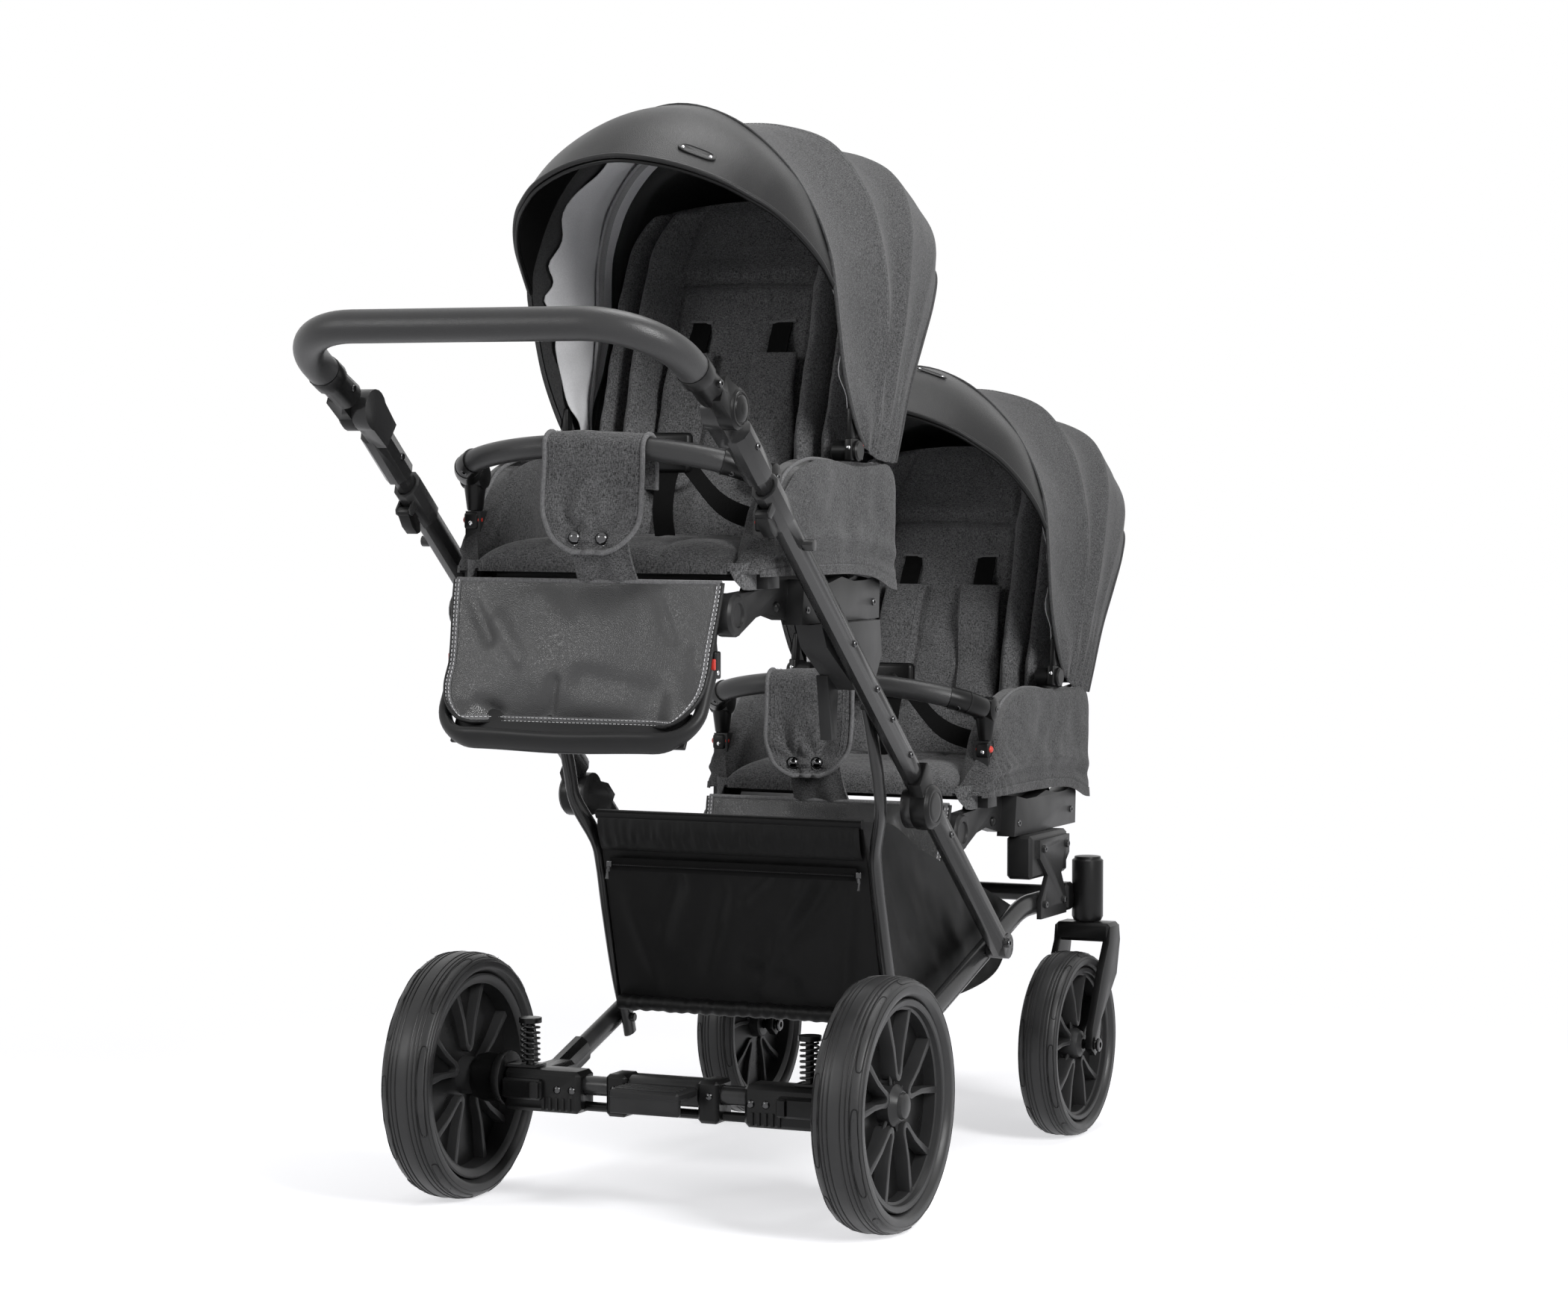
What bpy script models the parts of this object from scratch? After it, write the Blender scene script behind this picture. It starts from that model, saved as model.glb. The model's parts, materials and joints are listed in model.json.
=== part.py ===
"""Tandem twin pushchair with two rear-facing seats, one high and one low.

X runs across, with +X on the right of someone who pushes it. +Y is the way it travels, +Z is up.
The wheels stand on z = 0, and the middle of the whole is at x = 0, y = 0. Sizes are in metres.
"""
import math

import bmesh
import bpy
from mathutils import Matrix, Vector

# Overall layout: everything is drawn from the rear axle, which lies this far from the middle
REAR_AXLE_Y = -0.3347
GAP = 0.0003
WELD = 0.00001
FLAT_ANGLE = math.radians(0.2)

# Rear wheels
REAR_TYRE_RADIUS = 0.145
REAR_TYRE_WIDTH = 0.062
REAR_RIM_RADIUS = 0.1205
REAR_RIM_WIDTH = 0.050
REAR_WHEEL_X = 0.271
WHEEL_SIDES = 24
HUB_BORE_RADIUS = 0.0065
AXLE_PIN_RADIUS = 0.0060
SPOKE_PAIRS = 5
RIM_FACE = 0.018
RIM_WEB = 0.009
HUB_BORE_END = 0.011

# Front wheels, each in a fork that trails behind its swivel
FRONT_TYRE_RADIUS = 0.118
FRONT_TYRE_WIDTH = 0.052
FRONT_RIM_RADIUS = 0.098
FRONT_RIM_WIDTH = 0.042
FRONT_WHEEL_X = 0.225
FRONT_AXLE_Y = 0.711
SWIVEL_TRAIL = 0.072
FORK_LEG_THICKNESS = 0.009
FORK_SIDE_CLEARANCE = 0.003
FORK_CROWN_TOP = 0.268
FORK_CROWN_HEIGHT = 0.024
KING_PIN_RADIUS = 0.008
HEAD_RADIUS = 0.0205
HEAD_TOP = 0.353

# Rear axle, its moulded housings and the sprung hub carriers
AXLE_TUBE_RADIUS = 0.0115
AXLE_TUBE_Z = 0.143
BRAKE_ROD_RADIUS = 0.0057
BRAKE_ROD_Z = 0.1185
HOUSING_INNER_X = 0.105
HOUSING_OUTER_X = 0.205
HOUSING_DEPTH = 0.042
HOUSING_BOTTOM = 0.111
HOUSING_TOP = 0.160
SOCKET_DEPTH = 0.040
SOCKET_CLEARANCE = 0.0005
HUB_DRUM_RADIUS = 0.032
SPRING_X = 0.179
SPRING_POST_RADIUS = 0.0050
SPRING_CAP_RADIUS = 0.0135
SPRING_COIL_RADIUS = 0.0105
SPRING_WIRE_RADIUS = 0.0015
SPRING_CURLS = 7
SPRING_STEPS = 8
SPRING_LENGTH = 0.048
SPRING_PLATE_THICKNESS = 0.0035

# Main tubes: one straight slope from the bottom tubes up to the handle, on each side
MAIN_X = 0.2205
MAIN_WIDTH = 0.025
MAIN_HEIGHT = 0.034
MAIN_WALL = 0.0024
MAIN_SLOPE_DEG = 39.56
MAIN_POINT = (0.070, 0.609)
FOLD_PIVOT = (0.2185, 0.4625)
FOLD_DISC_RADIUS = 0.027
FOLD_TUBE_GAP = 0.032
LOWER_PIVOT = (0.472, 0.274)
TELESCOPE_CLEARANCE = 0.0004
HANDLE_PIVOT_Y = -0.3125
HANDLE_DISC_RADIUS = 0.023
HANDLE_HALF_WIDTH = 0.0185
HANDLE_RISE_DEG = 27.5
HANDLE_SLEEVE_END = 0.108
CLAMP_DISTANCE = 0.158
TELESCOPE_END = 0.285
COLLAR_LENGTH = 0.055
COLLAR_WALL = 0.0025
LEVER_HALF_WIDTH = 0.0070
HOLE_RADIUS = 0.0035

# Grip
GRIP_RADIUS = 0.0180
GRIP_START = 0.090
GRIP_REACH = 0.097
GRIP_CORNER_RADIUS = 0.086

# Bottom tubes and rear legs
BOTTOM_WIDTH = 0.020
BOTTOM_HEIGHT = 0.028
SIDE_PLAY = 0.0005
BOTTOM_POINT = (0.165, 0.157)
BOTTOM_SLOPE_DEG = 17.85
BOTTOM_LEVEL_Z = 0.302
BOTTOM_START_Y = 0.105
LEG_WIDTH = 0.012
LEG_HEIGHT = 0.024
LEG_TOP_PIVOT = (0.118, 0.570)
LEG_FOOT_PIVOT = (0.258, 0.186)
CROSSBAR_RADIUS = 0.011

# Basket
BASKET_HALF_WIDTH = 0.1745
BASKET_WALL = 0.0025

# Seats: each is drawn from its mount, and the low one is the high one moved by this step
HIGH_SEAT_MOUNT = (0.030, 0.715)
SEAT_STEP = (0.657, -0.294)
ARM_INNER_X = 0.154
ARM_OUTER_X = 0.172
ARM_END_RADIUS = 0.024
SHELL_OUTER_X = 0.192
PAN_TOP = 0.030
PAN_THICKNESS = 0.008
FOOTREST_PIVOT = (-0.210, -0.0135)
FOOTREST_DROP_DEG = 60.4
FOOTREST_LENGTH = 0.166
FOOTREST_TUBE_WIDTH = 0.015
RECLINE_PIVOT = (0.095, 0.047)
RECLINE_DEG = 18.0
BACKREST_HEIGHT = 0.438
BACKREST_THICKNESS = 0.045
BACKREST_HALF_WIDTH = 0.158
WING_INNER_X = 0.1630
WING_OUTER_X = 0.1895
WING_TOP = 0.147
HOOD_PIVOT = (0.080, 0.165)
HOOD_OUTER_X = 0.1950
HOOD_SKIN = 0.0040
# Bows from front to back: foot, top, squareness and bend, all from the side and from the hood's pivot
HOOD_BOWS = (((-0.015, 0.010), (-0.245, 0.328), 3.2, 1.75),
             ((-0.010, 0.008), (-0.080, 0.396), 2.6, 0.55),
             ((0.010, 0.003), (0.045, 0.397), 3.0, 0.80),
             ((0.030, -0.002), (0.175, 0.366), 3.5, 1.00),
             ((0.055, -0.008), (0.285, 0.348), 3.5, 1.20),
             ((0.075, -0.014), (0.355, 0.297), 3.5, 1.40),
             ((0.090, -0.018), (0.377, 0.228), 3.5, 1.50))
LOW_HOOD_TURN_DEG = 6.0
BUMPER_X = 0.1815
BUMPER_PIVOT = (-0.155, 0.137)
BUMPER_RADIUS = 0.0125
BUMPER_REACH = 0.085
BUMPER_RISE = 0.034
SEAT_TONGUE = (0.013, 0.060, 0.024)
FOOTBOARD_HEIGHT = 0.026
APRON_TOP = (-0.0210, 0.0355)
APRON_BOTTOM_Z = -0.1205
APRON_SLOPE = 0.25
APRON_HALF_WIDTH = 0.165
APRON_THICKNESS = 0.0050
FLAP_HALF_WIDTH = 0.059
HIGH_FLAP_X = 0.019
LOW_FLAP_X = -0.015


# Scene set-up

def clear_scene():
    for old in list(bpy.data.objects):
        bpy.data.objects.remove(old, do_unlink=True)


def new_collection(name):
    made = bpy.data.collections.new(name)
    bpy.context.scene.collection.children.link(made)
    return made


def new_material(name, colour, roughness, metallic=0.0):
    made = bpy.data.materials.new(name)
    made.use_nodes = True
    shader = made.node_tree.nodes["Principled BSDF"]
    shader.inputs["Base Color"].default_value = (*colour, 1.0)
    shader.inputs["Roughness"].default_value = roughness
    shader.inputs["Metallic"].default_value = metallic
    return made


def new_empty(name, y, z, parent=None):
    made = bpy.data.objects.new(name, None)
    made.empty_display_size = 0.05
    made.location = (0.0, y, z)
    made.parent = parent
    PARTS.objects.link(made)
    return made


def add_part(name, mesh, material, parent, origin=(0.0, 0.0, 0.0)):
    """One named sub-part, whose own origin is moved to a chosen point."""
    mesh.transform(Matrix.Translation(-Vector(origin)))
    mesh.name = name
    mesh.materials.clear()
    mesh.materials.append(material)
    made = bpy.data.objects.new(name, mesh)
    made.location = origin
    made.parent = parent
    PARTS.objects.link(made)
    mesh.shade_smooth()
    mesh.set_sharp_from_angle(angle=math.radians(35))
    return made


def add_pair(name, mesh, material, parent, origin=(0.0, 0.0, 0.0)):
    """The right-hand piece as drawn, and its mirror image on the left."""
    twin = mirrored(mesh)
    across = (-origin[0], origin[1], origin[2])
    add_part(name + "_right", mesh, material, parent, origin)
    add_part(name + "_left", twin, material, parent, across)


# Shapes, each returned as a mesh

def evaluated_mesh(made):
    """The finished mesh of a temporary object, which is then removed."""
    bpy.context.view_layer.update()
    graph = bpy.context.evaluated_depsgraph_get()
    mesh = bpy.data.meshes.new_from_object(made.evaluated_get(graph))
    bpy.data.objects.remove(made, do_unlink=True)
    shape = bmesh.new()
    shape.from_mesh(mesh)
    bmesh.ops.remove_doubles(shape, verts=shape.verts, dist=WELD)
    bmesh.ops.recalc_face_normals(shape, faces=shape.faces)
    shape.to_mesh(mesh)
    shape.free()
    return mesh


def temporary(data):
    made = bpy.data.objects.new("temporary", data)
    bpy.context.scene.collection.objects.link(made)
    return made


def to_mesh(shape):
    mesh = bpy.data.meshes.new("shape")
    bmesh.ops.recalc_face_normals(shape, faces=shape.faces)
    shape.to_mesh(mesh)
    shape.free()
    return mesh


def mirrored(mesh):
    twin = mesh.copy()
    twin.transform(Matrix.Scale(-1.0, 4, Vector((1.0, 0.0, 0.0))))
    twin.flip_normals()
    return twin


def block(low, high, round_off=0.0):
    """A box between two corners, with its edges rounded off."""
    shape = bmesh.new()
    bmesh.ops.create_cube(shape, size=1.0)
    size = Vector(high) - Vector(low)
    middle = (Vector(high) + Vector(low)) / 2.0
    bmesh.ops.scale(shape, vec=size, verts=shape.verts)
    bmesh.ops.translate(shape, vec=middle, verts=shape.verts)
    if round_off > 0.0:
        bmesh.ops.bevel(shape, geom=shape.edges, offset=round_off, segments=1, profile=0.5,
                        affect="EDGES", clamp_overlap=True)
    return to_mesh(shape)


def rod(start, end, radius, sides=16, end_radius=None):
    """A cylinder or cone from one point to another."""
    start = Vector(start)
    end = Vector(end)
    along = end - start
    turn = along.to_track_quat("Z", "Y").to_matrix().to_4x4()
    shape = bmesh.new()
    bmesh.ops.create_cone(shape, cap_ends=True, segments=sides, radius1=radius,
                          radius2=radius if end_radius is None else end_radius,
                          depth=along.length, matrix=Matrix.Translation((start + end) / 2.0) @ turn)
    return to_mesh(shape)


def pipe(points, radius, squash_x=1.0, resolution=3):
    """A round bar along points, or one whose width across X is squashed by a factor."""
    curve = bpy.data.curves.new("pipe", "CURVE")
    curve.dimensions = "3D"
    curve.twist_mode = "Z_UP"
    curve.bevel_depth = radius
    curve.bevel_resolution = resolution
    curve.use_fill_caps = True
    spline = curve.splines.new("POLY")
    spline.points.add(len(points) - 1)
    for place, point in zip(spline.points, points):
        place.co = (point[0] / squash_x, point[1], point[2], 1.0)
    mesh = evaluated_mesh(temporary(curve))
    mesh.transform(Matrix.Scale(squash_x, 4, Vector((1.0, 0.0, 0.0))))
    return mesh


def rounded_path(points, radius, steps=4):
    """A path whose inner corners are arcs of one radius."""
    points = [Vector(point) for point in points]
    path = [points[0]]
    for before, corner, after in zip(points, points[1:], points[2:]):
        way_in = (corner - before).normalized()
        way_out = (after - corner).normalized()
        turn = way_in.angle(way_out)
        if turn < 0.01:
            continue
        cut_back = radius * math.tan(turn / 2.0)
        first = corner - way_in * cut_back
        centre_way = (way_out - way_in).normalized()
        centre = corner + centre_way * (radius / math.cos(turn / 2.0))
        arm = first - centre
        axis = way_in.cross(way_out).normalized()
        for step in range(steps + 1):
            path.append(centre + Matrix.Rotation(turn * step / steps, 3, axis) @ arm)
    path.append(points[-1])
    return path


def plate(outline, low_x, high_x, round_off=0.0, holes=()):
    """A flat outline of (y, z) points, with holes in it, and a thickness across X."""
    curve = bpy.data.curves.new("plate", "CURVE")
    curve.dimensions = "2D"
    curve.fill_mode = "BOTH"
    curve.extrude = (high_x - low_x) / 2.0 - round_off
    curve.bevel_depth = round_off
    curve.offset = -round_off
    curve.bevel_resolution = 0
    for loop in (outline, *holes):
        spline = curve.splines.new("POLY")
        spline.points.add(len(loop) - 1)
        for place, point in zip(spline.points, loop):
            place.co = (point[0], point[1], 0.0, 1.0)
        spline.use_cyclic_u = True
    mesh = evaluated_mesh(temporary(curve))
    # The drawing's x, y and thickness become the model's y, z and x
    mesh.transform(Matrix(((0.0, 0.0, 1.0, (low_x + high_x) / 2.0),
                           (1.0, 0.0, 0.0, 0.0),
                           (0.0, 1.0, 0.0, 0.0),
                           (0.0, 0.0, 0.0, 1.0))))
    return mesh


def turned(profile, centre, outward=1.0, sides=16, closed=False):
    """A profile of (radius, place along X) points turned about a line along X."""
    mesh = bpy.data.meshes.new("turned")
    vertices = [(radius, 0.0, along) for radius, along in profile]
    edges = [(index, index + 1) for index in range(len(profile) - 1)]
    if closed:
        edges.append((len(profile) - 1, 0))
    mesh.from_pydata(vertices, edges, [])
    made = temporary(mesh)
    screw = made.modifiers.new("turn", "SCREW")
    screw.axis = "Z"
    screw.steps = sides
    screw.render_steps = sides
    screw.use_merge_vertices = True
    screw.merge_threshold = WELD
    mesh = evaluated_mesh(made)
    # A flat, not a corner, ends up at the bottom
    mesh.transform(Matrix.Rotation(math.pi / sides, 4, "Z"))
    mesh.transform(Matrix(((0.0, 0.0, outward, 0.0),
                           (outward, 0.0, 0.0, 0.0),
                           (0.0, 1.0, 0.0, 0.0),
                           (0.0, 0.0, 0.0, 1.0))))
    mesh.transform(Matrix.Translation(Vector(centre)))
    return mesh


def tidied(mesh):
    """Joins the flat faces that a cut or union leaves side by side."""
    shape = bmesh.new()
    shape.from_mesh(mesh)
    bmesh.ops.dissolve_limit(shape, angle_limit=FLAT_ANGLE, verts=shape.verts, edges=shape.edges)
    bmesh.ops.remove_doubles(shape, verts=shape.verts, dist=WELD)
    shape.to_mesh(mesh)
    shape.free()
    return mesh


def combined(mesh, other, operation):
    base = temporary(mesh)
    tool = temporary(other)
    step = base.modifiers.new("step", "BOOLEAN")
    step.operation = operation
    step.solver = "EXACT"
    step.object = tool
    result = evaluated_mesh(base)
    bpy.data.objects.remove(tool, do_unlink=True)
    return tidied(result)


def fused(*meshes):
    whole = meshes[0]
    for other in meshes[1:]:
        whole = combined(whole, other, "UNION")
    return whole


def cut(mesh, *tools):
    for tool in tools:
        mesh = combined(mesh, tool, "DIFFERENCE")
    return mesh


def two_skins(across, along, outer, inner):
    """A closed body between two surfaces, each a function of u and v from -1 to 1."""
    shape = bmesh.new()
    sheets = []
    for skin in (outer, inner):
        rows = []
        for row in range(along + 1):
            v = -1.0 + 2.0 * row / along
            rows.append([shape.verts.new(skin(-1.0 + 2.0 * column / across, v))
                         for column in range(across + 1)])
        sheets.append(rows)
    for row in range(along):
        for column in range(across):
            for rows in sheets:
                shape.faces.new((rows[row][column], rows[row][column + 1],
                                 rows[row + 1][column + 1], rows[row + 1][column]))
    rim = [(0, column) for column in range(across)]
    rim += [(row, across) for row in range(along)]
    rim += [(along, column) for column in range(across, 0, -1)]
    rim += [(row, 0) for row in range(along, 0, -1)]
    for here, there in zip(rim, rim[1:] + rim[:1]):
        shape.faces.new((sheets[0][here[0]][here[1]], sheets[0][there[0]][there[1]],
                         sheets[1][there[0]][there[1]], sheets[1][here[0]][here[1]]))
    return to_mesh(shape)


def smooth_step(value):
    value = max(0.0, min(1.0, value))
    return value * value * (3.0 - 2.0 * value)


def slope_point(distance, drop=0.0):
    """A point on the main tubes' line, a distance up from its reference point."""
    angle = math.radians(MAIN_SLOPE_DEG)
    return (MAIN_POINT[0] - distance * math.cos(angle) - drop * math.sin(angle),
            MAIN_POINT[1] + distance * math.sin(angle) - drop * math.cos(angle))


def slope_distance(y):
    """How far up the main tubes' line a given y lies."""
    return (MAIN_POINT[0] - y) / math.cos(math.radians(MAIN_SLOPE_DEG))


def slope_along(y, z):
    """How far up that line a point beside it lies."""
    angle = math.radians(MAIN_SLOPE_DEG)
    return (MAIN_POINT[0] - y) * math.cos(angle) + (z - MAIN_POINT[1]) * math.sin(angle)


# Wheels

def tyre_mesh(radius, rim_radius, width, x, y, z):
    corner = radius / math.cos(math.pi / WHEEL_SIDES)
    half = width / 2.0
    wall = radius - rim_radius
    profile = [(rim_radius + GAP, 0.80 * half),
               (rim_radius + 0.50 * wall, half),
               (rim_radius + 0.84 * wall, 0.80 * half),
               (corner, 0.40 * half),
               (corner, -0.40 * half),
               (rim_radius + 0.84 * wall, -0.80 * half),
               (rim_radius + 0.50 * wall, -half),
               (rim_radius + GAP, -0.80 * half)]
    return turned(profile, (x, y, z), sides=WHEEL_SIDES, closed=True)


def rim_window(outline, scale, middle_deg, y, z):
    """The outline of one window, from (radius, degrees) points for half of it."""
    places = list(outline) + [(radius, -angle) for radius, angle in reversed(outline) if angle > 0.0]
    points = []
    for radius, angle in places:
        turn = math.radians(middle_deg + angle)
        points.append((y + scale * radius * math.cos(turn), z + scale * radius * math.sin(turn)))
    return points


def rim_mesh(radius, width, x, y, z, through):
    scale = radius / REAR_RIM_RADIUS
    half = width / 2.0
    face = RIM_FACE * scale
    bead = 0.108 * scale
    ring = turned([(radius, half), (radius, -half), (bead + 0.005 * scale, -half + 0.001),
                   (bead, face - RIM_WEB), (bead, face), (bead + 0.004 * scale, half - 0.001)],
                  (x, y, z), sides=WHEEL_SIDES, closed=True)
    hub_profile = [(0.0165, half - 0.003), (0.0210 * scale, face - 0.002), (0.0205 * scale, -half + 0.001),
                   (HUB_BORE_RADIUS, -half + 0.001)]
    if through:
        hub_profile = [(HUB_BORE_RADIUS, half + 0.001), (0.0100, half + 0.001)] + hub_profile
    else:
        hub_profile = ([(0.0, half + 0.002), (0.0090, half + 0.001)] + hub_profile
                       + [(HUB_BORE_RADIUS, HUB_BORE_END), (0.0, HUB_BORE_END)])
    hub = turned(hub_profile, (x, y, z), sides=12, closed=through)
    inside_pair = [(0.0335, 0.0), (0.0480, 7.0), (0.1115, 14.5)]
    between_pairs = [(0.0305, 0.0), (0.0335, 10.5), (0.0660, 21.5), (0.1115, 17.5)]
    windows = []
    for number in range(SPOKE_PAIRS):
        middle = 90.0 + 360.0 / SPOKE_PAIRS * number
        windows.append(rim_window(inside_pair, scale, middle, y, z))
        windows.append(rim_window(between_pairs, scale, middle + 180.0 / SPOKE_PAIRS, y, z))
    disc = []
    disc_radius = bead + 0.0045 * scale
    for number in range(WHEEL_SIDES):
        turn = 2.0 * math.pi * (number + 0.5) / WHEEL_SIDES
        disc.append((y + disc_radius * math.cos(turn), z + disc_radius * math.sin(turn)))
    web = plate(disc, x + face - RIM_WEB + 0.0004, x + face - 0.0004, holes=windows)
    bore = rod((x + face - RIM_WEB - 0.002, y, z), (x + face + 0.002, y, z), 0.014, 12)
    return fused(cut(web, bore), hub, ring)


def build_rear_wheels():
    centre = (REAR_WHEEL_X, 0.0, REAR_TYRE_RADIUS)
    tyre = tyre_mesh(REAR_TYRE_RADIUS, REAR_RIM_RADIUS, REAR_TYRE_WIDTH, *centre)
    rim = rim_mesh(REAR_RIM_RADIUS, REAR_RIM_WIDTH, *centre, through=False)
    add_pair("rear_tyre", tyre, RUBBER, CHASSIS, centre)
    add_pair("rear_rim", rim, RIM_GREY, CHASSIS, centre)


def build_front_wheels():
    centre = (FRONT_WHEEL_X, FRONT_AXLE_Y, FRONT_TYRE_RADIUS)
    tyre = tyre_mesh(FRONT_TYRE_RADIUS, FRONT_RIM_RADIUS, FRONT_TYRE_WIDTH, *centre)
    rim = rim_mesh(FRONT_RIM_RADIUS, FRONT_RIM_WIDTH, *centre, through=True)
    add_pair("front_tyre", tyre, RUBBER, CHASSIS, centre)
    add_pair("front_rim", rim, RIM_GREY, CHASSIS, centre)


# Front forks and swivel heads

def build_forks():
    axle_z = FRONT_TYRE_RADIUS
    swivel_y = FRONT_AXLE_Y + SWIVEL_TRAIL
    inner = FRONT_TYRE_WIDTH / 2.0 + FORK_SIDE_CLEARANCE
    outer = inner + FORK_LEG_THICKNESS
    crown_low = FORK_CROWN_TOP - FORK_CROWN_HEIGHT
    leg = [(swivel_y + 0.016, FORK_CROWN_TOP - 0.004), (swivel_y + 0.020, crown_low),
           (swivel_y + 0.008, 0.5 * (crown_low + axle_z) + 0.020), (FRONT_AXLE_Y + 0.022, axle_z + 0.030),
           (FRONT_AXLE_Y + 0.014, axle_z - 0.006), (FRONT_AXLE_Y, axle_z - 0.014),
           (FRONT_AXLE_Y - 0.014, axle_z - 0.004), (FRONT_AXLE_Y - 0.010, axle_z + 0.022),
           (FRONT_AXLE_Y + 0.026, axle_z + 0.090), (swivel_y - 0.022, crown_low),
           (swivel_y - 0.018, FORK_CROWN_TOP - 0.004)]
    outside = plate(leg, FRONT_WHEEL_X + inner, FRONT_WHEEL_X + outer)
    inside = plate(leg, FRONT_WHEEL_X - outer, FRONT_WHEEL_X - inner)
    crown = block((FRONT_WHEEL_X - outer + 0.0005, swivel_y - 0.021, crown_low),
                  (FRONT_WHEEL_X + outer - 0.0005, swivel_y + 0.019, FORK_CROWN_TOP), 0.004)
    king_pin = rod((FRONT_WHEEL_X, swivel_y, FORK_CROWN_TOP - 0.004),
                   (FRONT_WHEEL_X, swivel_y, HEAD_TOP - 0.020), KING_PIN_RADIUS, 12)
    axle = rod((FRONT_WHEEL_X - outer - 0.004, FRONT_AXLE_Y, axle_z),
               (FRONT_WHEEL_X + outer + 0.004, FRONT_AXLE_Y, axle_z), AXLE_PIN_RADIUS, 12)
    fork = fused(crown, outside, inside, king_pin, axle)
    add_pair("front_fork", fork, MOULDED_BLACK, CHASSIS, (FRONT_WHEEL_X, swivel_y, FORK_CROWN_TOP))


def bottom_line_z(y):
    return BOTTOM_POINT[1] + (y - BOTTOM_POINT[0]) * math.tan(math.radians(BOTTOM_SLOPE_DEG))


def bottom_path():
    """The bottom tube's centre line, sloping up and then level into the swivel head."""
    bend_y = BOTTOM_POINT[0] + (BOTTOM_LEVEL_Z - BOTTOM_POINT[1]) / math.tan(math.radians(BOTTOM_SLOPE_DEG))
    swivel_y = FRONT_AXLE_Y + SWIVEL_TRAIL
    return rounded_path([(BOTTOM_X, BOTTOM_START_Y, bottom_line_z(BOTTOM_START_Y)),
                         (BOTTOM_X, bend_y, BOTTOM_LEVEL_Z),
                         (BOTTOM_X, swivel_y - HEAD_RADIUS - 0.008, BOTTOM_LEVEL_Z)], 0.180, 6)


def build_heads():
    swivel_y = FRONT_AXLE_Y + SWIVEL_TRAIL
    bottom = FORK_CROWN_TOP + 0.001
    bore = KING_PIN_RADIUS + SOCKET_CLEARANCE
    profile = [(0.0, HEAD_TOP), (HEAD_RADIUS - 0.004, HEAD_TOP), (HEAD_RADIUS - 0.003, HEAD_TOP - 0.003),
               (HEAD_RADIUS, HEAD_TOP - 0.005), (HEAD_RADIUS, bottom + 0.006),
               (HEAD_RADIUS - 0.003, bottom), (bore, bottom), (bore, HEAD_TOP - 0.018),
               (0.0, HEAD_TOP - 0.018)]
    barrel = turned(profile, (0.0, 0.0, 0.0), sides=16)
    barrel.transform(Matrix.Rotation(-math.pi / 2.0, 4, "Y"))
    barrel.transform(Matrix.Translation((FRONT_WHEEL_X, swivel_y, 0.0)))
    half = BOTTOM_HEIGHT / 2.0 + 0.004
    wide = BOTTOM_WIDTH / 2.0 + 0.003
    socket = block((BOTTOM_X - wide, swivel_y - HEAD_RADIUS - 0.014, BOTTOM_LEVEL_Z - half),
                   (BOTTOM_X + wide, swivel_y - 0.009, BOTTOM_LEVEL_Z + half), 0.004)
    tube_room = pipe([(BOTTOM_X, swivel_y - 0.120, BOTTOM_LEVEL_Z),
                      (BOTTOM_X, swivel_y - HEAD_RADIUS - 0.0075, BOTTOM_LEVEL_Z)],
                     BOTTOM_HEIGHT / 2.0 + SOCKET_CLEARANCE, BOTTOM_WIDTH / BOTTOM_HEIGHT)
    bar_room = rod((0.0, swivel_y, BOTTOM_LEVEL_Z), (FRONT_WHEEL_X - 0.016, swivel_y, BOTTOM_LEVEL_Z),
                   CROSSBAR_RADIUS + SOCKET_CLEARANCE)
    sleeve = rod((FRONT_WHEEL_X - 0.055, swivel_y, BOTTOM_LEVEL_Z),
                 (FRONT_WHEEL_X - 0.012, swivel_y, BOTTOM_LEVEL_Z), CROSSBAR_RADIUS + 0.004)
    head = cut(fused(barrel, socket, sleeve), tube_room, bar_room)
    add_pair("front_head", head, MOULDED_BLACK, CHASSIS, (FRONT_WHEEL_X, swivel_y, BOTTOM_LEVEL_Z))
    reach = FRONT_WHEEL_X - 0.0165
    crossbar = rod((-reach, swivel_y, BOTTOM_LEVEL_Z), (reach, swivel_y, BOTTOM_LEVEL_Z), CROSSBAR_RADIUS)
    add_part("front_crossbar", crossbar, TUBE_BLACK, CHASSIS, (0.0, swivel_y, BOTTOM_LEVEL_Z))


def build_bottom_tubes():
    tube = pipe(bottom_path(), BOTTOM_HEIGHT / 2.0, BOTTOM_WIDTH / BOTTOM_HEIGHT)
    add_pair("bottom_tube", tube, TUBE_BLACK, CHASSIS, (BOTTOM_X, BOTTOM_POINT[0], BOTTOM_POINT[1]))


# Rear axle, springs and brake

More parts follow.
